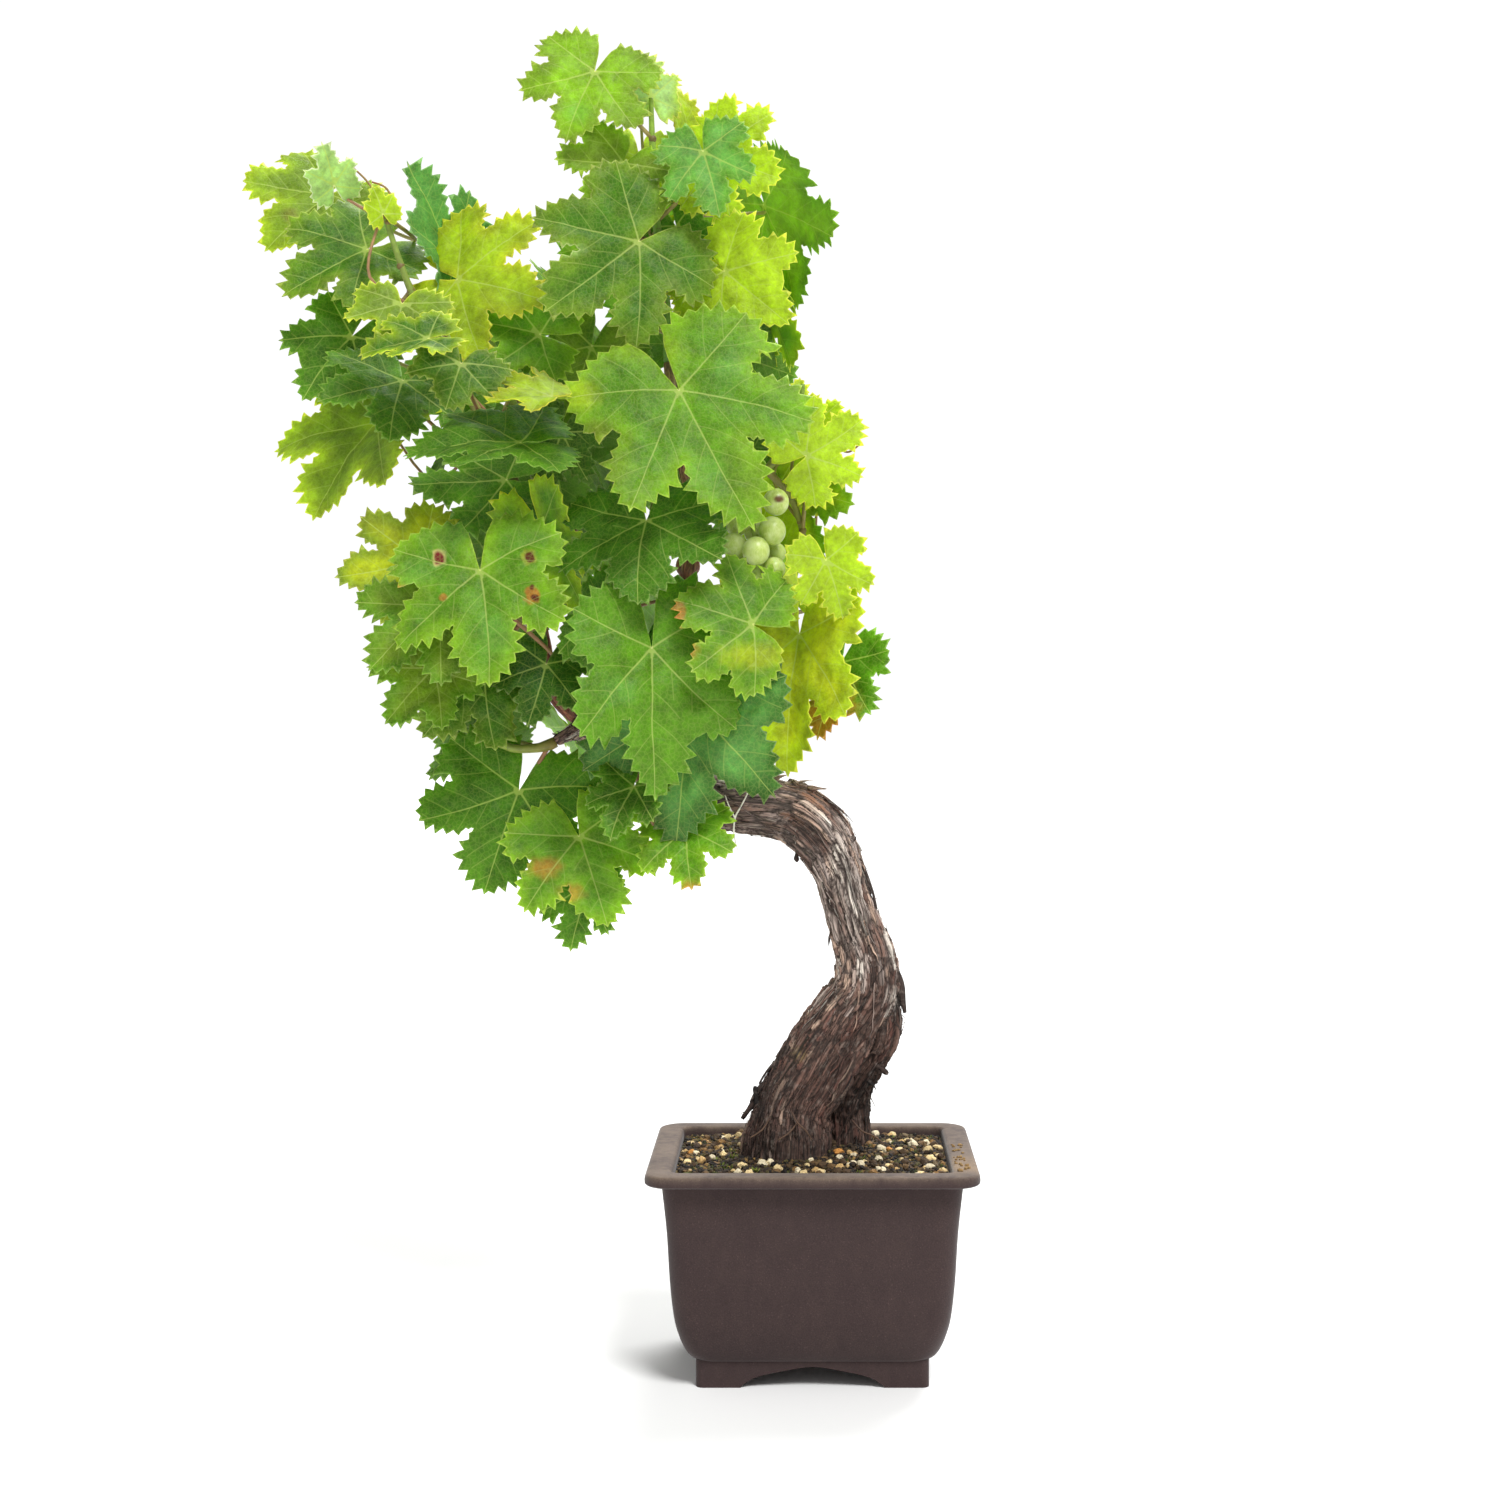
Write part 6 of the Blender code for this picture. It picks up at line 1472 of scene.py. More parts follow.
# Fine leaves: margins and veins in mm, tones by name
leafLook = {"cell": 1.9, "thick": 0.34, "corners": {"outline": (52, 111), "young": (50, 108)},
            "sinuses": {"outline": (28, 79), "young": (30, 75)},
            "lastTooth": {"outline": 164, "young": 154}, "pitch": (2.6, 0.060), "toothDeep": 0.56,
            "skew": 0.58, "lateralGap": (4.0, 0.150), "lateralTurn": 50, "sunk": 0.5,
            "sunkSide": 0.35, "pucker": 1.1, "ruffle": 2.0, "droop": 1.8, "droopReach": 5.0,
            "crease": 2.1, "creaseReach": 8.0, "most": 2.0, "sideSpace": 2.2, "spotCell": 0.55,
            # how far in mm the grid's corners keep from the margin and the veins
            "clear": (0.75, 0.8),
            # Of these tones, sheen and blue are painted reflection, the pale blue-green shine of the
            # waxy top
            "tones": {"lime": "#B8D424", "bright": "#94C222", "fresh": "#6AA21C", "green": "#508416",
                      "deep": "#3A6A10", "olive": "#86A62A", "yellow": "#C4D024", "sheen": "#7CB855",
                      "pale": "#BCDC90", "moss": "#4C7618", "orange": "#C98A3A", "blush": "#8C7A2E",
                      "spot": "#6B2A1A", "halo": "#CFC64A", "red": "#8A2E2A", "cream": "#E8D690",
                      "blue": "#72B056"}}
# Marks on them: row, picture point, half sizes, tone, how strong
# Sheen marks are painted reflection, patches where the waxy top shines pale blue-green
leafMarks = (
    (0, 583, 395, 20, 16, "lime", 0.8), (0, 598, 439, 16, 22, "blush", 0.35),
    (0, 708, 476, 26, 22, "sheen", 0.4), (0, 728, 372, 20, 20, "sheen", 0.4),
    (0, 650, 350, 40, 16, "lime", 0.3), (0, 640, 380, 40, 30, "green", 0.35),
    (0, 745, 470, 26, 40, "olive", 0.5), (0, 612, 470, 24, 20, "olive", 0.5),
    (1, 495, 634, 18, 24, "sheen", 0.4), (1, 457, 529, 18, 14, "sheen", 0.4),
    (1, 415, 575, 20, 16, "sheen", 0.35), (1, 439, 558, 7, 9, "cream", 0.8),
    (1, 439, 558, 5, 7, "red", 1.0), (1, 529, 557, 8, 8, "halo", 0.5),
    (1, 530, 557, 5, 6, "spot", 0.95), (1, 532, 595, 8, 9, "orange", 0.9),
    (1, 535, 598, 4, 3.5, "spot", 1.0), (1, 532, 587, 2.5, 3, "spot", 0.9),
    (1, 443, 597, 4, 4, "orange", 0.8), (1, 393, 592, 14, 10, "orange", 0.7),
    (2, 616, 691, 22, 18, "sheen", 0.4), (3, 755, 656, 40, 15, "yellow", 0.7),
    (3, 678, 612, 8, 12, "orange", 0.8), (3, 675, 625, 6, 12, "orange", 0.8),
    (3, 690, 650, 10, 10, "orange", 0.6), (9, 567, 250, 20, 6, "pale", 0.5),
    (28, 338, 410, 14, 14, "orange", 0.6), (38, 545, 868, 18, 12, "orange", 0.7),
    (38, 572, 893, 14, 10, "orange", 0.6), (40, 692, 893, 12, 14, "orange", 0.8),
    (42, 578, 112, 16, 12, "sheen", 0.4), (63, 830, 715, 30, 40, "orange", 0.7),
    (19, 290, 215, 10, 9, "blush", 0.5),
)
# Half width in picture points up to which a mark is a spot with a crisp edge
largestSpot = 8
# What the leaves' material reads besides the tint: how far a corner is from the veins, in
# their widths, and from the margin, in mm, and whether it is on the underside
leafLayers = ("veinMain", "veinSide", "rim", "under")


def hermite(start, end, leave, arrive, t):
    return (start * (2 * t ** 3 - 3 * t ** 2 + 1) + leave * (t ** 3 - 2 * t ** 2 + t)
            + end * (3 * t ** 2 - 2 * t ** 3) + arrive * (t ** 3 - t ** 2))


class Margin:
    # One blade's toothed margin and its veins, flat and in mm

    def __init__(self, blade, rng):
        kind = "young" if len(blade.outline) < 16 else "outline"
        self.scale = Vector((blade.width * blade.length / mm, blade.length / mm))
        ring = [Vector((x * self.scale.x, y * self.scale.y)) for x, y in blade.outline]
        angles = [0] + [a for a, r in leafPlan[kind]] + [180]
        half = len(angles) - 1
        corners = [0] + [angles.index(a) for a in leafLook["corners"][kind]]
        valleys = [angles.index(a) for a in leafLook["sinuses"][kind]]
        last = angles.index(leafLook["lastTooth"][kind])
        self.length = self.scale.y
        self.pitch = leafLook["pitch"][0] + leafLook["pitch"][1] * self.length
        for i in corners + [-i for i in corners[1:]]:
            ring[i] = ring[i] * 1.035
        self.tips = [ring[i] for i in corners] + [ring[-i] for i in corners[1:]]
        right = self.halfMargin(ring[:half + 1], corners, valleys, last, rng)
        left = self.halfMargin([ring[0]] + ring[:half - 1:-1], corners, valleys, last, rng)
        self.loop = right + left[-2:0:-1]
        self.junction = len(right) - 1
        self.veins = self.makeVeins(rng)

    def halfMargin(self, points, corners, valleys, last, rng):
        # From the tip to the junction: teeth on both sides of every lobe, none at the stalk
        count = len(points)
        curve = []
        for i in range(count - 1):
            tangents = []
            for j in (i, i + 1):
                if j in corners or j in (0, count - 1):
                    tangents.append(points[i + 1] - points[i])
                else:
                    tangents.append((points[j + 1] - points[j - 1]) / 2)
            steps = max(4, int((points[i + 1] - points[i]).length / 0.6))
            curve += [(hermite(points[i], points[i + 1], *tangents, k / steps), i + k / steps)
                      for k in range(steps)]
        curve.append((points[-1], count - 1))
        marks = sorted(corners + valleys + [last])
        line = []
        for first, second in zip(marks, marks[1:]):
            side = [place for place, at in curve if first - 1e-6 <= at <= second + 1e-6]
            fromTip = first in corners
            teeth = self.teethAlong(side if fromTip else side[::-1], rng, second == last)
            line += (teeth if fromTip else teeth[::-1])[:-1]
        line += [place for place, at in curve if at >= last - 1e-6][::3]
        if (line[-1] - points[-1]).length > 0.3:
            line.append(points[-1])
        return line

    def teethAlong(self, side, rng, toStalk):
        # From a lobe's tip down to its sinus
        reach = [0.0]
        for a, b in zip(side, side[1:]):
            reach.append(reach[-1] + (b - a).length)
        whole = reach[-1]
        count = max(1, round(whole / self.pitch - 0.5))
        pitch = whole / (count + 0.5)

        def at(distance):
            for k in range(len(side) - 1):
                if reach[k + 1] >= distance:
                    share = (distance - reach[k]) / max(1e-6, reach[k + 1] - reach[k])
                    return side[k].lerp(side[k + 1], share), (side[k + 1] - side[k]).normalized()
            return side[-1], (side[-1] - side[-2]).normalized()

        middle = Vector((0, self.scale.y * 0.25))
        line = [side[0]]
        skew = leafLook["skew"]
        for tooth in range(count):
            size = leafLook["toothDeep"] * pitch * rng.uniform(0.5, 1.5)
            if tooth == count - 1:
                size *= 0.8 if toStalk else 0.5
            # valley, rising side, sharp peak and falling side, as shares of a tooth
            for share, height in ((0.0, -0.22), ((1 - skew) * 0.55, 0.42), (1 - skew, 0.98),
                                  (1 - skew * 0.5, 0.32)):
                spot, along = at((tooth + 0.5 + share) * pitch)
                out = Vector((along.y, -along.x))
                if out.dot(spot - middle) < 0:
                    out = -out
                line.append(spot + out * size * height)
        line.append(side[-1])
        return line

    def makeVeins(self, rng):
        # Five main veins from the junction, and side veins that stay in their own part
        mains = []
        for tip in self.tips:
            sideways = Vector((-tip.y, tip.x)) * rng.uniform(-0.03, 0.03)
            steps = max(5, int(tip.length / 2.4))
            mains.append([tip * (0.985 * k / steps) + sideways * math.sin(math.pi * k / steps)
                          for k in range(steps + 1)])
        sides, taken = [], np.full((1, 2), 1e6)
        apart = leafLook["lateralGap"][0] + leafLook["lateralGap"][1] * self.length
        for number, vein in enumerate(mains):
            whole = vein[-1].length
            for hand in (-1, 1):
                along = apart * (1.0 + 0.4 * (hand > 0)) + rng.uniform(0, 1)
                while along < whole - 4:
                    k = min(int(along / whole * (len(vein) - 1)), len(vein) - 2)
                    start = vein[k] if k else vein[1]
                    ahead = (vein[k + 1] - vein[k]).normalized()
                    turn = hand * math.radians(leafLook["lateralTurn"] + rng.uniform(-5, 5))
                    line = [start.copy()]
                    for step in range(60):
                        bend = turn * (1 - 0.030 * step)
                        way = Vector((ahead.x * math.cos(bend) - ahead.y * math.sin(bend),
                                      ahead.x * math.sin(bend) + ahead.y * math.cos(bend)))
                        new = line[-1] + way * 2.2
                        crowded = np.hypot(*(taken - new[:]).T).min() < leafLook["sideSpace"]
                        if crowded or self.outside(new, 1.2) or self.nearest(mains, new) != number:
                            break
                        line.append(new)
                    if len(line) > 2:
                        sides.append(line)
                        taken = np.vstack([taken, [place[:] for place in line[1:]]])
                    along += apart * rng.uniform(0.85, 1.15)
        return mains, sides

    def nearest(self, veins, point):
        shares = [(distanceTo(vein, point), i) for i, vein in enumerate(veins)]
        return min(shares)[1]

    def outside(self, point, space):
        inside = False
        for a, b in zip(self.loop, self.loop[1:] + self.loop[:1]):
            if (a.y > point.y) != (b.y > point.y):
                if point.x < a.x + (point.y - a.y) * (b.x - a.x) / (b.y - a.y):
                    inside = not inside
        return not inside or distanceTo(self.loop + self.loop[:1], point) < space


def distanceTo(line, point):
    corners = np.array([place[:2] for place in line])
    start, step = corners[:-1], corners[1:] - corners[:-1]
    offset = np.array(point[:2]) - start
    share = np.clip((offset * step).sum(axis=1) / np.maximum(1e-9, (step ** 2).sum(axis=1)), 0, 1)
    return float(np.sqrt(((offset - step * share[:, None]) ** 2).sum(axis=1)).min())


def distances(points, lines):
    # From every point to the nearest of the lines, and how far along that one it is
    starts, steps, shares, widths = [], [], [], []
    for line in lines:
        corners = np.array([place[:2] for place in line])
        starts.append(corners[:-1])
        steps.append(corners[1:] - corners[:-1])
        shares.append(np.arange(len(corners) - 1) / (len(corners) - 1))
        widths.append(np.full(len(corners) - 1, 1 / (len(corners) - 1)))
    starts, steps = np.concatenate(starts), np.concatenate(steps)
    shares, widths = np.concatenate(shares), np.concatenate(widths)
    offset = points[:, None, :] - starts[None, :, :]
    along = np.clip((offset * steps).sum(axis=2) / np.maximum(1e-9, (steps ** 2).sum(axis=1)), 0, 1)
    away = ((offset - along[:, :, None] * steps) ** 2).sum(axis=2)
    nearest = away.argmin(axis=1)
    row = np.arange(len(points))
    return np.sqrt(away[row, nearest]), shares[nearest] + along[row, nearest] * widths[nearest]


def bladeMesh(blade, rng, tones, marks):
    # The blade with its teeth and veins, as one closed thin sheet
    look = leafLook
    margin = Margin(blade, rng)
    mains, sides = margin.veins
    points = list(margin.loop)
    count = len(points)
    edges = [(i, (i + 1) % count) for i in range(count)]
    for vein in mains + sides:
        first = len(points)
        points += vein[1:] if vein in mains else vein
        edges += [(k, k + 1) for k in range(first, len(points) - 1)]
        if vein in mains:
            edges.append((margin.junction, first))
    cell = look["cell"]
    rows = np.array([point[:] for point in margin.loop])
    low, high = rows.min(axis=0), rows.max(axis=0)
    grid = [(x + (cell / 2 if row % 2 else 0), y)
            for row, y in enumerate(np.arange(low[1], high[1], cell * 0.866))
            for x in np.arange(low[0], high[0], cell)]
    grid = np.array(grid) + np.array([(rng.uniform(-0.2, 0.2), rng.uniform(-0.2, 0.2))
                                      for spot in grid])
    loops = [margin.loop + margin.loop[:1]]
    fromRim = distances(grid, loops)[0]
    fromVein = distances(grid, mains + sides)[0]
    inner = grid[(fromRim > look["clear"][0]) & (fromVein > look["clear"][1])]
    points += [Vector(place) for place in inner]
    spots = [mark for mark in marks if mark[2] <= largestSpot]
    if spots:
        # closer corners where a spot has to have a crisp edge
        step = look["spotCell"]
        dense = np.array([(x, y) for y in np.arange(low[1], high[1], step)
                          for x in np.arange(low[0], high[0], step)])
        dense = dense[distances(dense, loops)[0] > look["clear"][0]]
        seen = np.array([toPicture(blade.place(x / margin.scale.x, y / margin.scale.y))
                         for x, y in dense])
        for middleX, middleY, halfX, halfY, name, strength in spots:
            close = np.hypot((seen[:, 0] - middleX) / halfX, (seen[:, 1] - middleY) / halfY) < 1.7
            points += [Vector(place) for place in dense[close]]
            dense, seen = dense[~close], seen[~close]
    flat, none, faces = delaunay_2d_cdt(points, edges, [], 1, 1e-5)[:3]
    places = np.array([place[:] for place in flat])
    main, reach = distances(places, mains)
    side = distances(places, sides)[0] if sides else np.full(len(places), 30.0)
    # the rim is where the sheet ends, not where its lobes overlap
    uses = Counter(frozenset(pair) for face in faces for pair in zip(face, face[1:] + face[:1]))
    borders = [[flat[corner] for corner in pair] for pair, used in uses.items() if used == 1]
    rim = distances(places, borders)[0]
    seed = rng.uniform(0, 100)
    lifts = []
    size = min(1.0, margin.length / 50)
    for (x, y), near, nearSide, edge in zip(places, main, side, rim):
        away = size * min(1.0, math.hypot(x, y) / 15) ** 2
        lift = -look["sunk"] * math.exp(-(near / 1.2) ** 2)
        lift -= look["sunkSide"] * math.exp(-nearSide ** 2)
        free = min(1.0, nearSide / 2, near / 2)
        lift += look["pucker"] * noise.noise(Vector((x / 4.5, y / 4.5, seed))) * free
        lift += look["ruffle"] * noise.noise(Vector((x / 18, y / 18, seed + 9))) * away
        lift += look["crease"] * (1 - math.exp(-(near / look["creaseReach"]) ** 2)) * away
        sway = 0.4 + 1.2 * noise.noise(Vector((x / 24, y / 24, seed + 30)))
        lift -= look["droop"] * away * sway * math.exp(-(edge / look["droopReach"]) ** 2)
        lifts.append(look["most"] * math.tanh(lift / look["most"]) * mm)
    scale = margin.scale
    bm = blade.closedSheet([(x / scale.x, y / scale.y) for x, y in places], faces, look["thick"] * mm,
                           lifts)
    inside, outer = [linear(look["tones"][name]) for name in tones.split()]
    layers = [addLayer(bm, name) for name in leafLayers]
    tint = addLayer(bm, "tint", "float_color")
    brightness = rng.uniform(0.94, 1.06)
    verts = bm.verts[:]
    halfCount = len(verts) // 2
    for i, vert in enumerate(verts):
        k = i % halfCount
        x, y = places[k]
        wide = 0.65 - 0.40 * reach[k]
        values = (main[k] / wide, side[k] / 0.30, rim[k], 1.0 if i >= halfCount else 0.0)
        for layer, value in zip(layers, values):
            vert[layer] = value
        blend = 0.8 - 0.8 * min(1.0, rim[k] / (0.16 * margin.length))
        blend += 0.4 * noise.noise(Vector((x / 11, y / 11, seed)))
        tone = mixed(inside, outer, blend)
        px, py = toPicture(vert.co)
        for mark in marks:
            away = ovalAway(px, py, mark) + 0.35 * noise.noise(Vector((x / 3, y / 3, seed)))
            share = (1.7 - 1.4 * away) if mark[2] > largestSpot else (3.4 - 3 * away)
            tone = mixed(tone, linear(look["tones"][mark[4]]), mark[5] * clamp(share))
        vert[tint] = (*[part * brightness for part in tone], 1.0)
    # corners of the grid beyond the margin carry no faces
    loose = [vert for vert in verts if not vert.link_faces]
    bmesh.ops.delete(bm, geom=loose, context="VERTS")
    return bm


def leafMaterial():
    # A living vine leaf: satin above and duller below, letting light through, with sunken pale
    # veins, a mesh of fine ones and a thin yellow margin
    look = {"vein": "#CBDB78", "rim": "#EEF0B4", "under": "#97B85C", "meshMm": 2.3, "cloudMm": 11,
            "fleckMm": 2.6, "grainMm": 0.9}
    material, tree, shader = startMaterial("vine leaf", Roughness=0.46, Specular_IOR_Level=0.32)
    place = addNode(tree, "TexCoord", out="Object")
    read = {name: addNode(tree, "Attribute", attribute_name=name, out="Fac")
            for name in leafLayers}
    tint = addNode(tree, "Attribute", attribute_name="tint", out="Color")
    cloud = addNode(tree, "TexNoise", {"Vector": place, "Scale": perMm(look["cloudMm"]),
                                       "Detail": 5.0, "Roughness": 0.6})
    shade = addNode(tree, "ValToRGB", (cloud,), [(0.30, 0.68), (0.5, 0.97), (0.70, 1.2)])
    fleck = addNode(tree, "TexNoise", {"Vector": place, "Scale": perMm(look["fleckMm"]),
                                       "Detail": 4.0, "Roughness": 0.7})
    fleck = addNode(tree, "MapRange", (fleck, 0.3, 0.7, 0.82, 1.16))
    shade = addNode(tree, "Mix", {0: 1.0, 6: shade, 7: fleck}, **times)
    mottled = addNode(tree, "Mix", {0: 1.0, 6: tint, 7: shade}, **times)
    net = addNode(tree, "TexVoronoi", {"Vector": place, "Scale": perMm(look["meshMm"])},
                  feature="DISTANCE_TO_EDGE", out="Distance")
    fine = addNode(tree, "MapRange", (net, 0.02, 0.12, 0.15, 0.0))
    main = addNode(tree, "MapRange", (read["veinMain"], 0.45, 1.25, 0.62, 0.0))
    side = addNode(tree, "MapRange", (read["veinSide"], 0.3, 1.5, 0.34, 0.0))
    veins = addNode(tree, "Math", (main, side), operation="MAXIMUM")
    veins = addNode(tree, "Math", (veins, fine), operation="MAXIMUM")
    veined = addNode(tree, "Mix", {0: veins, 6: mottled, 7: colour(look["vein"])}, **rgba)
    margin = addNode(tree, "MapRange", (read["rim"], 0.15, 0.75, 0.7, 0.0))
    # the margin is a paler line of the leaf's own green
    paler = addNode(tree, "Mix", {0: 1.0, 6: veined, 7: (2.1, 1.6, 3.0, 1.0)}, clamp_result=True,
                    **times)
    paler = addNode(tree, "Mix", {0: 0.14, 6: paler, 7: colour(look["rim"])}, **rgba)
    rimmed = addNode(tree, "Mix", {0: margin, 6: veined, 7: paler}, **rgba)
    below = addNode(tree, "Math", (read["under"], 0.32), operation="MULTIPLY")
    finish = addNode(tree, "Mix", {0: below, 6: rimmed, 7: colour(look["under"])}, **rgba)
    grain = addNode(tree, "TexNoise", {"Vector": place, "Scale": perMm(look["grainMm"])})
    relief = addNode(tree, "Math", (grain, net), operation="ADD")
    dress(tree, shader, finish, relief, 0.5, 0.0006)
    glow = addNode(tree, "HueSaturation", {"Hue": 0.488, "Saturation": 1.15, "Value": 1.4,
                                           "Color": finish})
    through = addNode(tree, "BsdfTranslucent", (glow,))
    both = addNode(tree, "MixShader", (0.42, shader.outputs[0], through))
    tree.links.new(both, tree.nodes["Material Output"].inputs["Surface"])
    return material


# Green stems: tones from the base to the tip, of the shoots, the stalks and the tendrils
stemLook = {
    "shoot": ("#8A7A3E", "#7E9A3A"), "shoot_top": ("#5F8A32", "#8FAE3E"),
    "stalk": ("#94824A", "#A8B050"), "rosy": ("#9C6E50", "#A9945A"), "rosyChance": 0.3,
    "tendril": ("#8A8A3A", "#9A6A3A"), "nodeTone": "#7C6A3A", "nodeWide": 1.6,
    "sides": 12, "stalkSides": 9, "stalkThin": 0.88,
    # tones of the leaves at the back, above and below a height in the picture; the higher ones are
    # brighter lime, partly young colour and partly painted glow of light coming through them
    "highAbove": 330, "high": ("bright fresh", "fresh bright", "fresh lime"),
    "low": ("green fresh", "fresh bright", "deep green"),
}


def makeShoot(name, stems, hung, rng, leafFinish, stemFinish):
    # The blades in one piece and the stems, stalks and tendrils in another
    leafy, green = bmesh.new(), bmesh.new()
    for kind in leafLayers:
        addLayer(leafy, kind)
    addLayer(leafy, "tint", "float_color")
    tint = addLayer(green, "tint", "float_color")
    holder = bpy.data.meshes.new("holder")
    look = stemLook
    tones = [linear(tone) for tone in look.get(name, look["shoot"])]
    for stem in stems:
        tube(green, stem, look["sides"], tint, tones)
    for blade, route, row in hung:
        # back leaves high up take the brighter tones, partly painted glow of light through them
        high = toPicture(blade.junction)[1] < look["highAbove"]
        toneNames = rng.choice(look["high" if high else "low"]) if row is None else leafRows[row][-1]
        marks = [mark[1:] for mark in leafMarks if mark[0] == row]
        seed = 500 + (rng.randint(100, 999) if row is None else row)
        made = bladeMesh(blade, random.Random(seed), toneNames, marks)
        made.to_mesh(holder)
        made.free()
        leafy.from_mesh(holder)
        (before, wide), (behind, thin) = route[-3:-1]
        share = max(0.5, 1 - leafPlan["stalkDrop"] / (behind - before).length)
        seat = blade.place(0, leafPlan["stalkSeat"], -1.2 * mm)
        places = route[:-2] + [(before.lerp(behind, share), thin), (behind, thin),
                               (seat, thin * 0.75)]
        places = [(place, radius * look["stalkThin"]) for place, radius in places]
        rosy = rng.random() < look["rosyChance"]
        stalkTones = [linear(tone) for tone in look["rosy" if rosy else "stalk"]]
        tube(green, smoothRoute(places, 6), look["stalkSides"], tint, stalkTones)
        swollen = route[0][1] * look["nodeWide"]
        swelling = bmesh.ops.create_icosphere(green, subdivisions=2, radius=swollen)["verts"]
        bmesh.ops.translate(green, vec=route[0][0], verts=swelling)
        for vert in swelling:
            vert[tint] = (*linear(look["nodeTone"]), 1.0)
    for node, points in tendrils:
        if node == name:
            tube(green, seenRoute(points, 8), 8, tint, [linear(tone) for tone in look["tendril"]])
    if name == "shoot_right":
        tube(green, seenRoute(bunchSeat, 4), 12, tint, tones)
    bpy.data.meshes.remove(holder)
    addPiece(name + "_leaves", leafy, leafFinish, [name])
    addPiece(name + "_stems", green, stemFinish)


# The bunch: half-grown berries, translucent under a pale bloom
grapeLook = {"skin": "#C0D068", "deep": "#A0B647", "bloom": "#CDD99E", "scar": "#6A4526",
             "vein": "#DDE39E", "stalk": ("#8FA347", "#A9B765"),
             "scars": ((779, 499, 6, 4), (772, 576, 4, 3))}


def grapeMaterial():
    # Unripe grape skin: glossy under a dull waxy bloom, light carries through the flesh
    look = grapeLook
    material, tree, shader = startMaterial("unripe grape skin", Roughness=0.34, Subsurface_Weight=0.5,
                                           Subsurface_Radius=(0.004, 0.005, 0.0015),
                                           Subsurface_Scale=1.0)
    place = addNode(tree, "TexCoord", out="Object")
    ball = addNode(tree, "Attribute", attribute_name="ball", out="Vector")
    scar = addNode(tree, "Attribute", attribute_name="scar", out="Fac")
    bent = addNode(tree, "TexNoise", {"Vector": ball, "Scale": 2.2, "Detail": 2.0}, out="Color")
    wander = addNode(tree, "VectorMath", (bent, (0.35, 0.35, 0.35)), operation="MULTIPLY")
    drawn = addNode(tree, "VectorMath", (ball, wander), operation="ADD")
    drawn = addNode(tree, "Mapping", {"Vector": drawn, "Scale": (1.0, 1.0, 0.22)})
    lines = addNode(tree, "TexVoronoi", {"Vector": drawn, "Scale": 3.4},
                    feature="DISTANCE_TO_EDGE", out="Distance")
    cloud = addNode(tree, "TexNoise", {"Vector": place, "Scale": perMm(5), "Detail": 4.0})
    body = addNode(tree, "ValToRGB", (cloud,), [(0.3, look["deep"]), (0.62, look["skin"])])
    line = addNode(tree, "MapRange", (lines, 0.0, 0.07, 0.45, 0.0))
    lined = addNode(tree, "Mix", {0: line, 6: body, 7: colour(look["vein"])}, **rgba)
    bloom = addNode(tree, "MapRange", (cloud, 0.42, 0.62, 0.12, 0.55))
    bloomed = addNode(tree, "Mix", {0: bloom, 6: lined, 7: colour(look["bloom"])}, **rgba)
    finish = addNode(tree, "Mix", {0: scar, 6: bloomed, 7: colour(look["scar"])}, **rgba)
    dress(tree, shader, finish, cloud, 0.12, 0.0003)
    return material


def makeBunch(stemFinish):
    look = grapeLook
    balls, green = bmesh.new(), bmesh.new()
    ball, scar = addLayer(balls, "ball", "float_vector"), addLayer(balls, "scar")
    tint = addLayer(green, "tint", "float_color")
    tones = [linear(tone) for tone in look["stalk"]]
    stalk = seatedRoute(bunchSeat, bunchStalk, None, 6)
    tube(green, stalk, 12, tint, tones)
    for number, berry in enumerate(berries):
        middle = sight(*berry[:3])
        nearest = min((place for place, radius in stalk[4:]), key=lambda p: (p - middle).length)
        made = bmesh.ops.create_icosphere(balls, subdivisions=4, radius=1.0)["verts"]
        size = berry[3] * (eye["distance"] + berry[2] * mm) / eye["focal"]
        for vert in made:
            shape = vert.co.normalized()
            vert[ball] = shape + Vector((number * 3.0, 0, 0))
            spot = middle + Vector((shape.x, shape.y, shape.z * 1.06)) * size
            px, py = toPicture(spot)
            near = min(ovalAway(px, py, mark) for mark in look["scars"])
            vert[scar] = clamp(2.2 - 2 * near) if shape.y < 0 else 0.0
            vert.co = spot
        inward = (nearest - middle).normalized()
        foot = middle + inward * size * 0.93
        tube(green, smoothRoute([(nearest, pedicelR), (foot.lerp(nearest, 0.4), pedicelR * 0.9),
                                 (foot, pedicelR * 2.0)], 4), 8, tint, tones)
    addPiece("grape_berries", balls, grapeMaterial(), ["grape_bunch"])
    addPiece("grape_stalks", green, stemFinish)


def growCrown():
    # The same search that placed every blade of the solids, with each blade's row kept
    stems = {name: [seatedRoute(*stem)] + [seenRoute(side, 2) for side in sideStems.get(name, ())]
             for name, stem in shootStems.items()}
    canopy = Canopy()
    canopy.take("trunk", trunkBodies())
    canopy.take("grape_bunch", bunchBodies())
    canopy.shown += [sight(*berry[:3]) for berry in berries]
    for name in caneRoutes:
        canopy.take(name, caneBodies(name))
    for name in stems:
        canopy.take(name, shootBodies(name, stems[name], []))
    hung = {name: [] for name in stems}
    planned = list(frontBlades()) + list(backBlades(stems))
    for row, (node, blade) in enumerate(planned):
        found = canopy.hang(blade, node, stems[node])
        if found:
            hung[node].append((*found, row if row < len(leafRows) else None))
    return hung


# Suns: name, degrees up and round from the front towards the right, strength and spread; the
# sky's strength as a light and as the camera sees it; the floor's half size
stageLook = {"suns": (("key", 52, 28, 2.6, 20), ("behind", 48, 160, 2.5, 35)),
             "sky": (0.50, 1.05), "floor": 6.0}


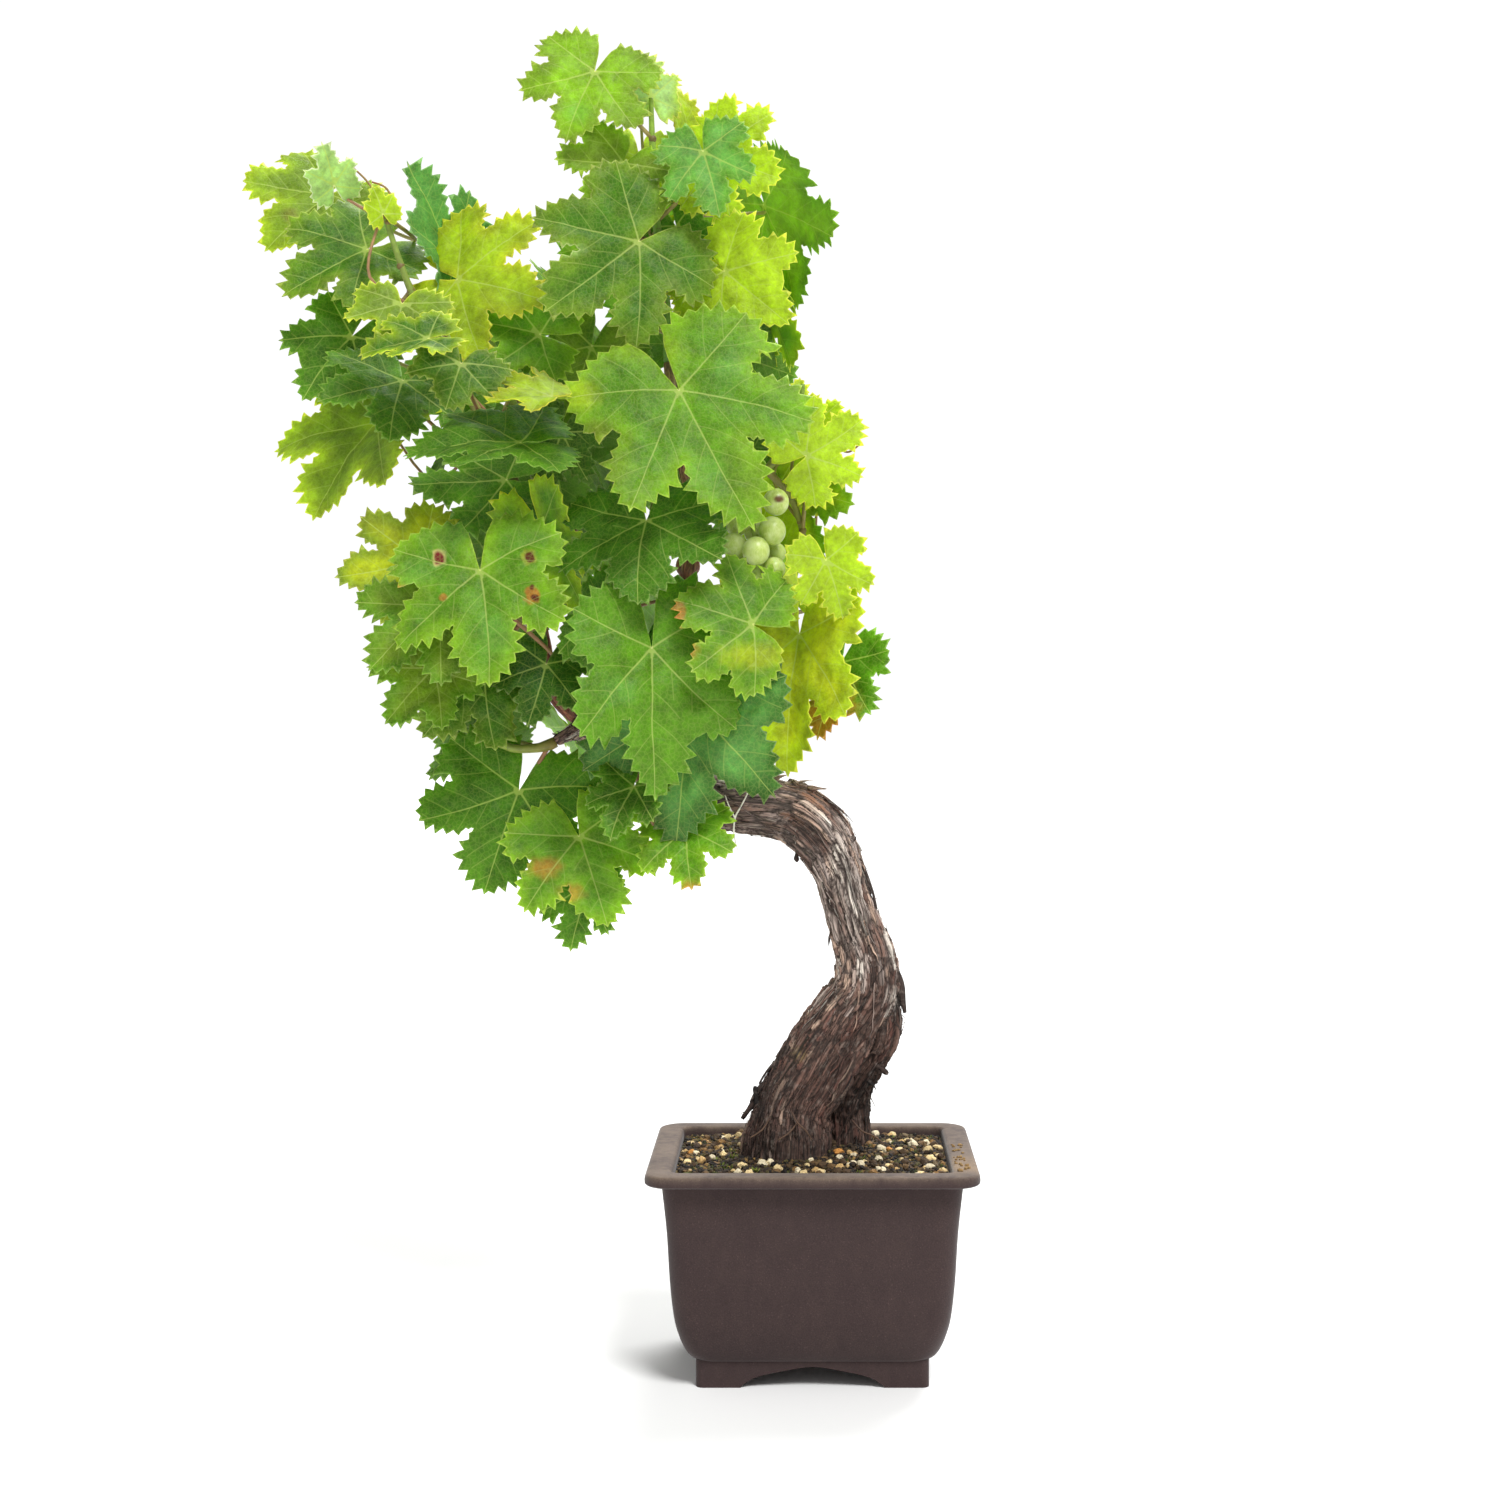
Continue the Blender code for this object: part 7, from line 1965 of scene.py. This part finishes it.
def softSun(name, elevation, azimuth, strength, spread):
    light = bpy.data.lights.new(name, "SUN")
    light.energy, light.angle = strength, math.radians(spread)
    lamp = bpy.data.objects.new(name, light)
    lamp.rotation_euler = (math.radians(90 - elevation), 0, math.radians(azimuth))
    bpy.context.scene.collection.objects.link(lamp)


def makeStage():
    # White paper sweep, soft daylight from all round and the photograph's point of view
    bm = bmesh.new()
    bmesh.ops.create_grid(bm, x_segments=1, y_segments=1, size=stageLook["floor"])
    mesh = bpy.data.meshes.new("floor")
    bm.to_mesh(mesh)
    bm.free()
    paper, tree, shader = startMaterial("matt white paper", Roughness=0.95,
                                        Base_Color=colour("#F6F6F5"))
    mesh.materials.append(paper)
    floor = bpy.data.objects.new("floor", mesh)
    bpy.context.scene.collection.objects.link(floor)
    world = bpy.data.worlds.new("daylight")
    world.use_nodes = True
    # White where the camera sees it, and half as bright as a light
    sky = world.node_tree.nodes["Background"]
    sky.inputs["Color"].default_value = (1.0, 1.0, 1.0, 1.0)
    seen = addNode(world.node_tree, "LightPath", out="Is Camera Ray")
    level = addNode(world.node_tree, "MapRange", (seen, 0.0, 1.0, *stageLook["sky"]))
    world.node_tree.links.new(level, sky.inputs["Strength"])
    bpy.context.scene.world = world
    for lamp in stageLook["suns"]:
        softSun(*lamp)
    camera = bpy.data.cameras.new("camera")
    camera.sensor_width = eye["sensor"]
    camera.lens = eye["focal"] * eye["sensor"] / eye["frame"]
    camera.shift_x = 0.5 - eye["middle"][0] / eye["frame"]
    camera.shift_y = eye["middle"][1] / eye["frame"] - 0.5
    camera.clip_start = 0.05
    view = bpy.data.objects.new("camera", camera)
    view.location = (home.x, home.y - eye["distance"], eye["height"])
    view.rotation_euler = (math.pi / 2, 0, 0)
    bpy.context.scene.collection.objects.link(view)
    bpy.context.scene.camera = view
    bpy.context.scene.view_settings.view_transform = "Standard"


def assignTo(nodeNames, material):
    for name in nodeNames:
        node = bpy.data.objects.get(name)
        node.data.materials.clear()
        node.data.materials.append(material)


print("pot")
makePot()
assignTo(("drain_mesh_left", "drain_mesh_right"), meshMaterial())
print("trunk")
woodTree = makeTrunk()
print("soil")
makeSoil(woodTree)
print("canes")
makeCanes()
print("finding every leaf's place")
hung = growCrown()
print("leaves and stems")
leafFinish, stemFinish = leafMaterial(), stemMaterial("green stem", 0.5)
for name in shootStems:
    fineStems = [seatedRoute(*shootStems[name], None, 8)]
    fineStems += [seenRoute(side, 8) for side in sideStems.get(name, ())]
    makeShoot(name, fineStems, hung[name], random.Random(name + " finish"), leafFinish, stemFinish)
print("grapes")
makeBunch(stemFinish)
print("stage")
makeStage()
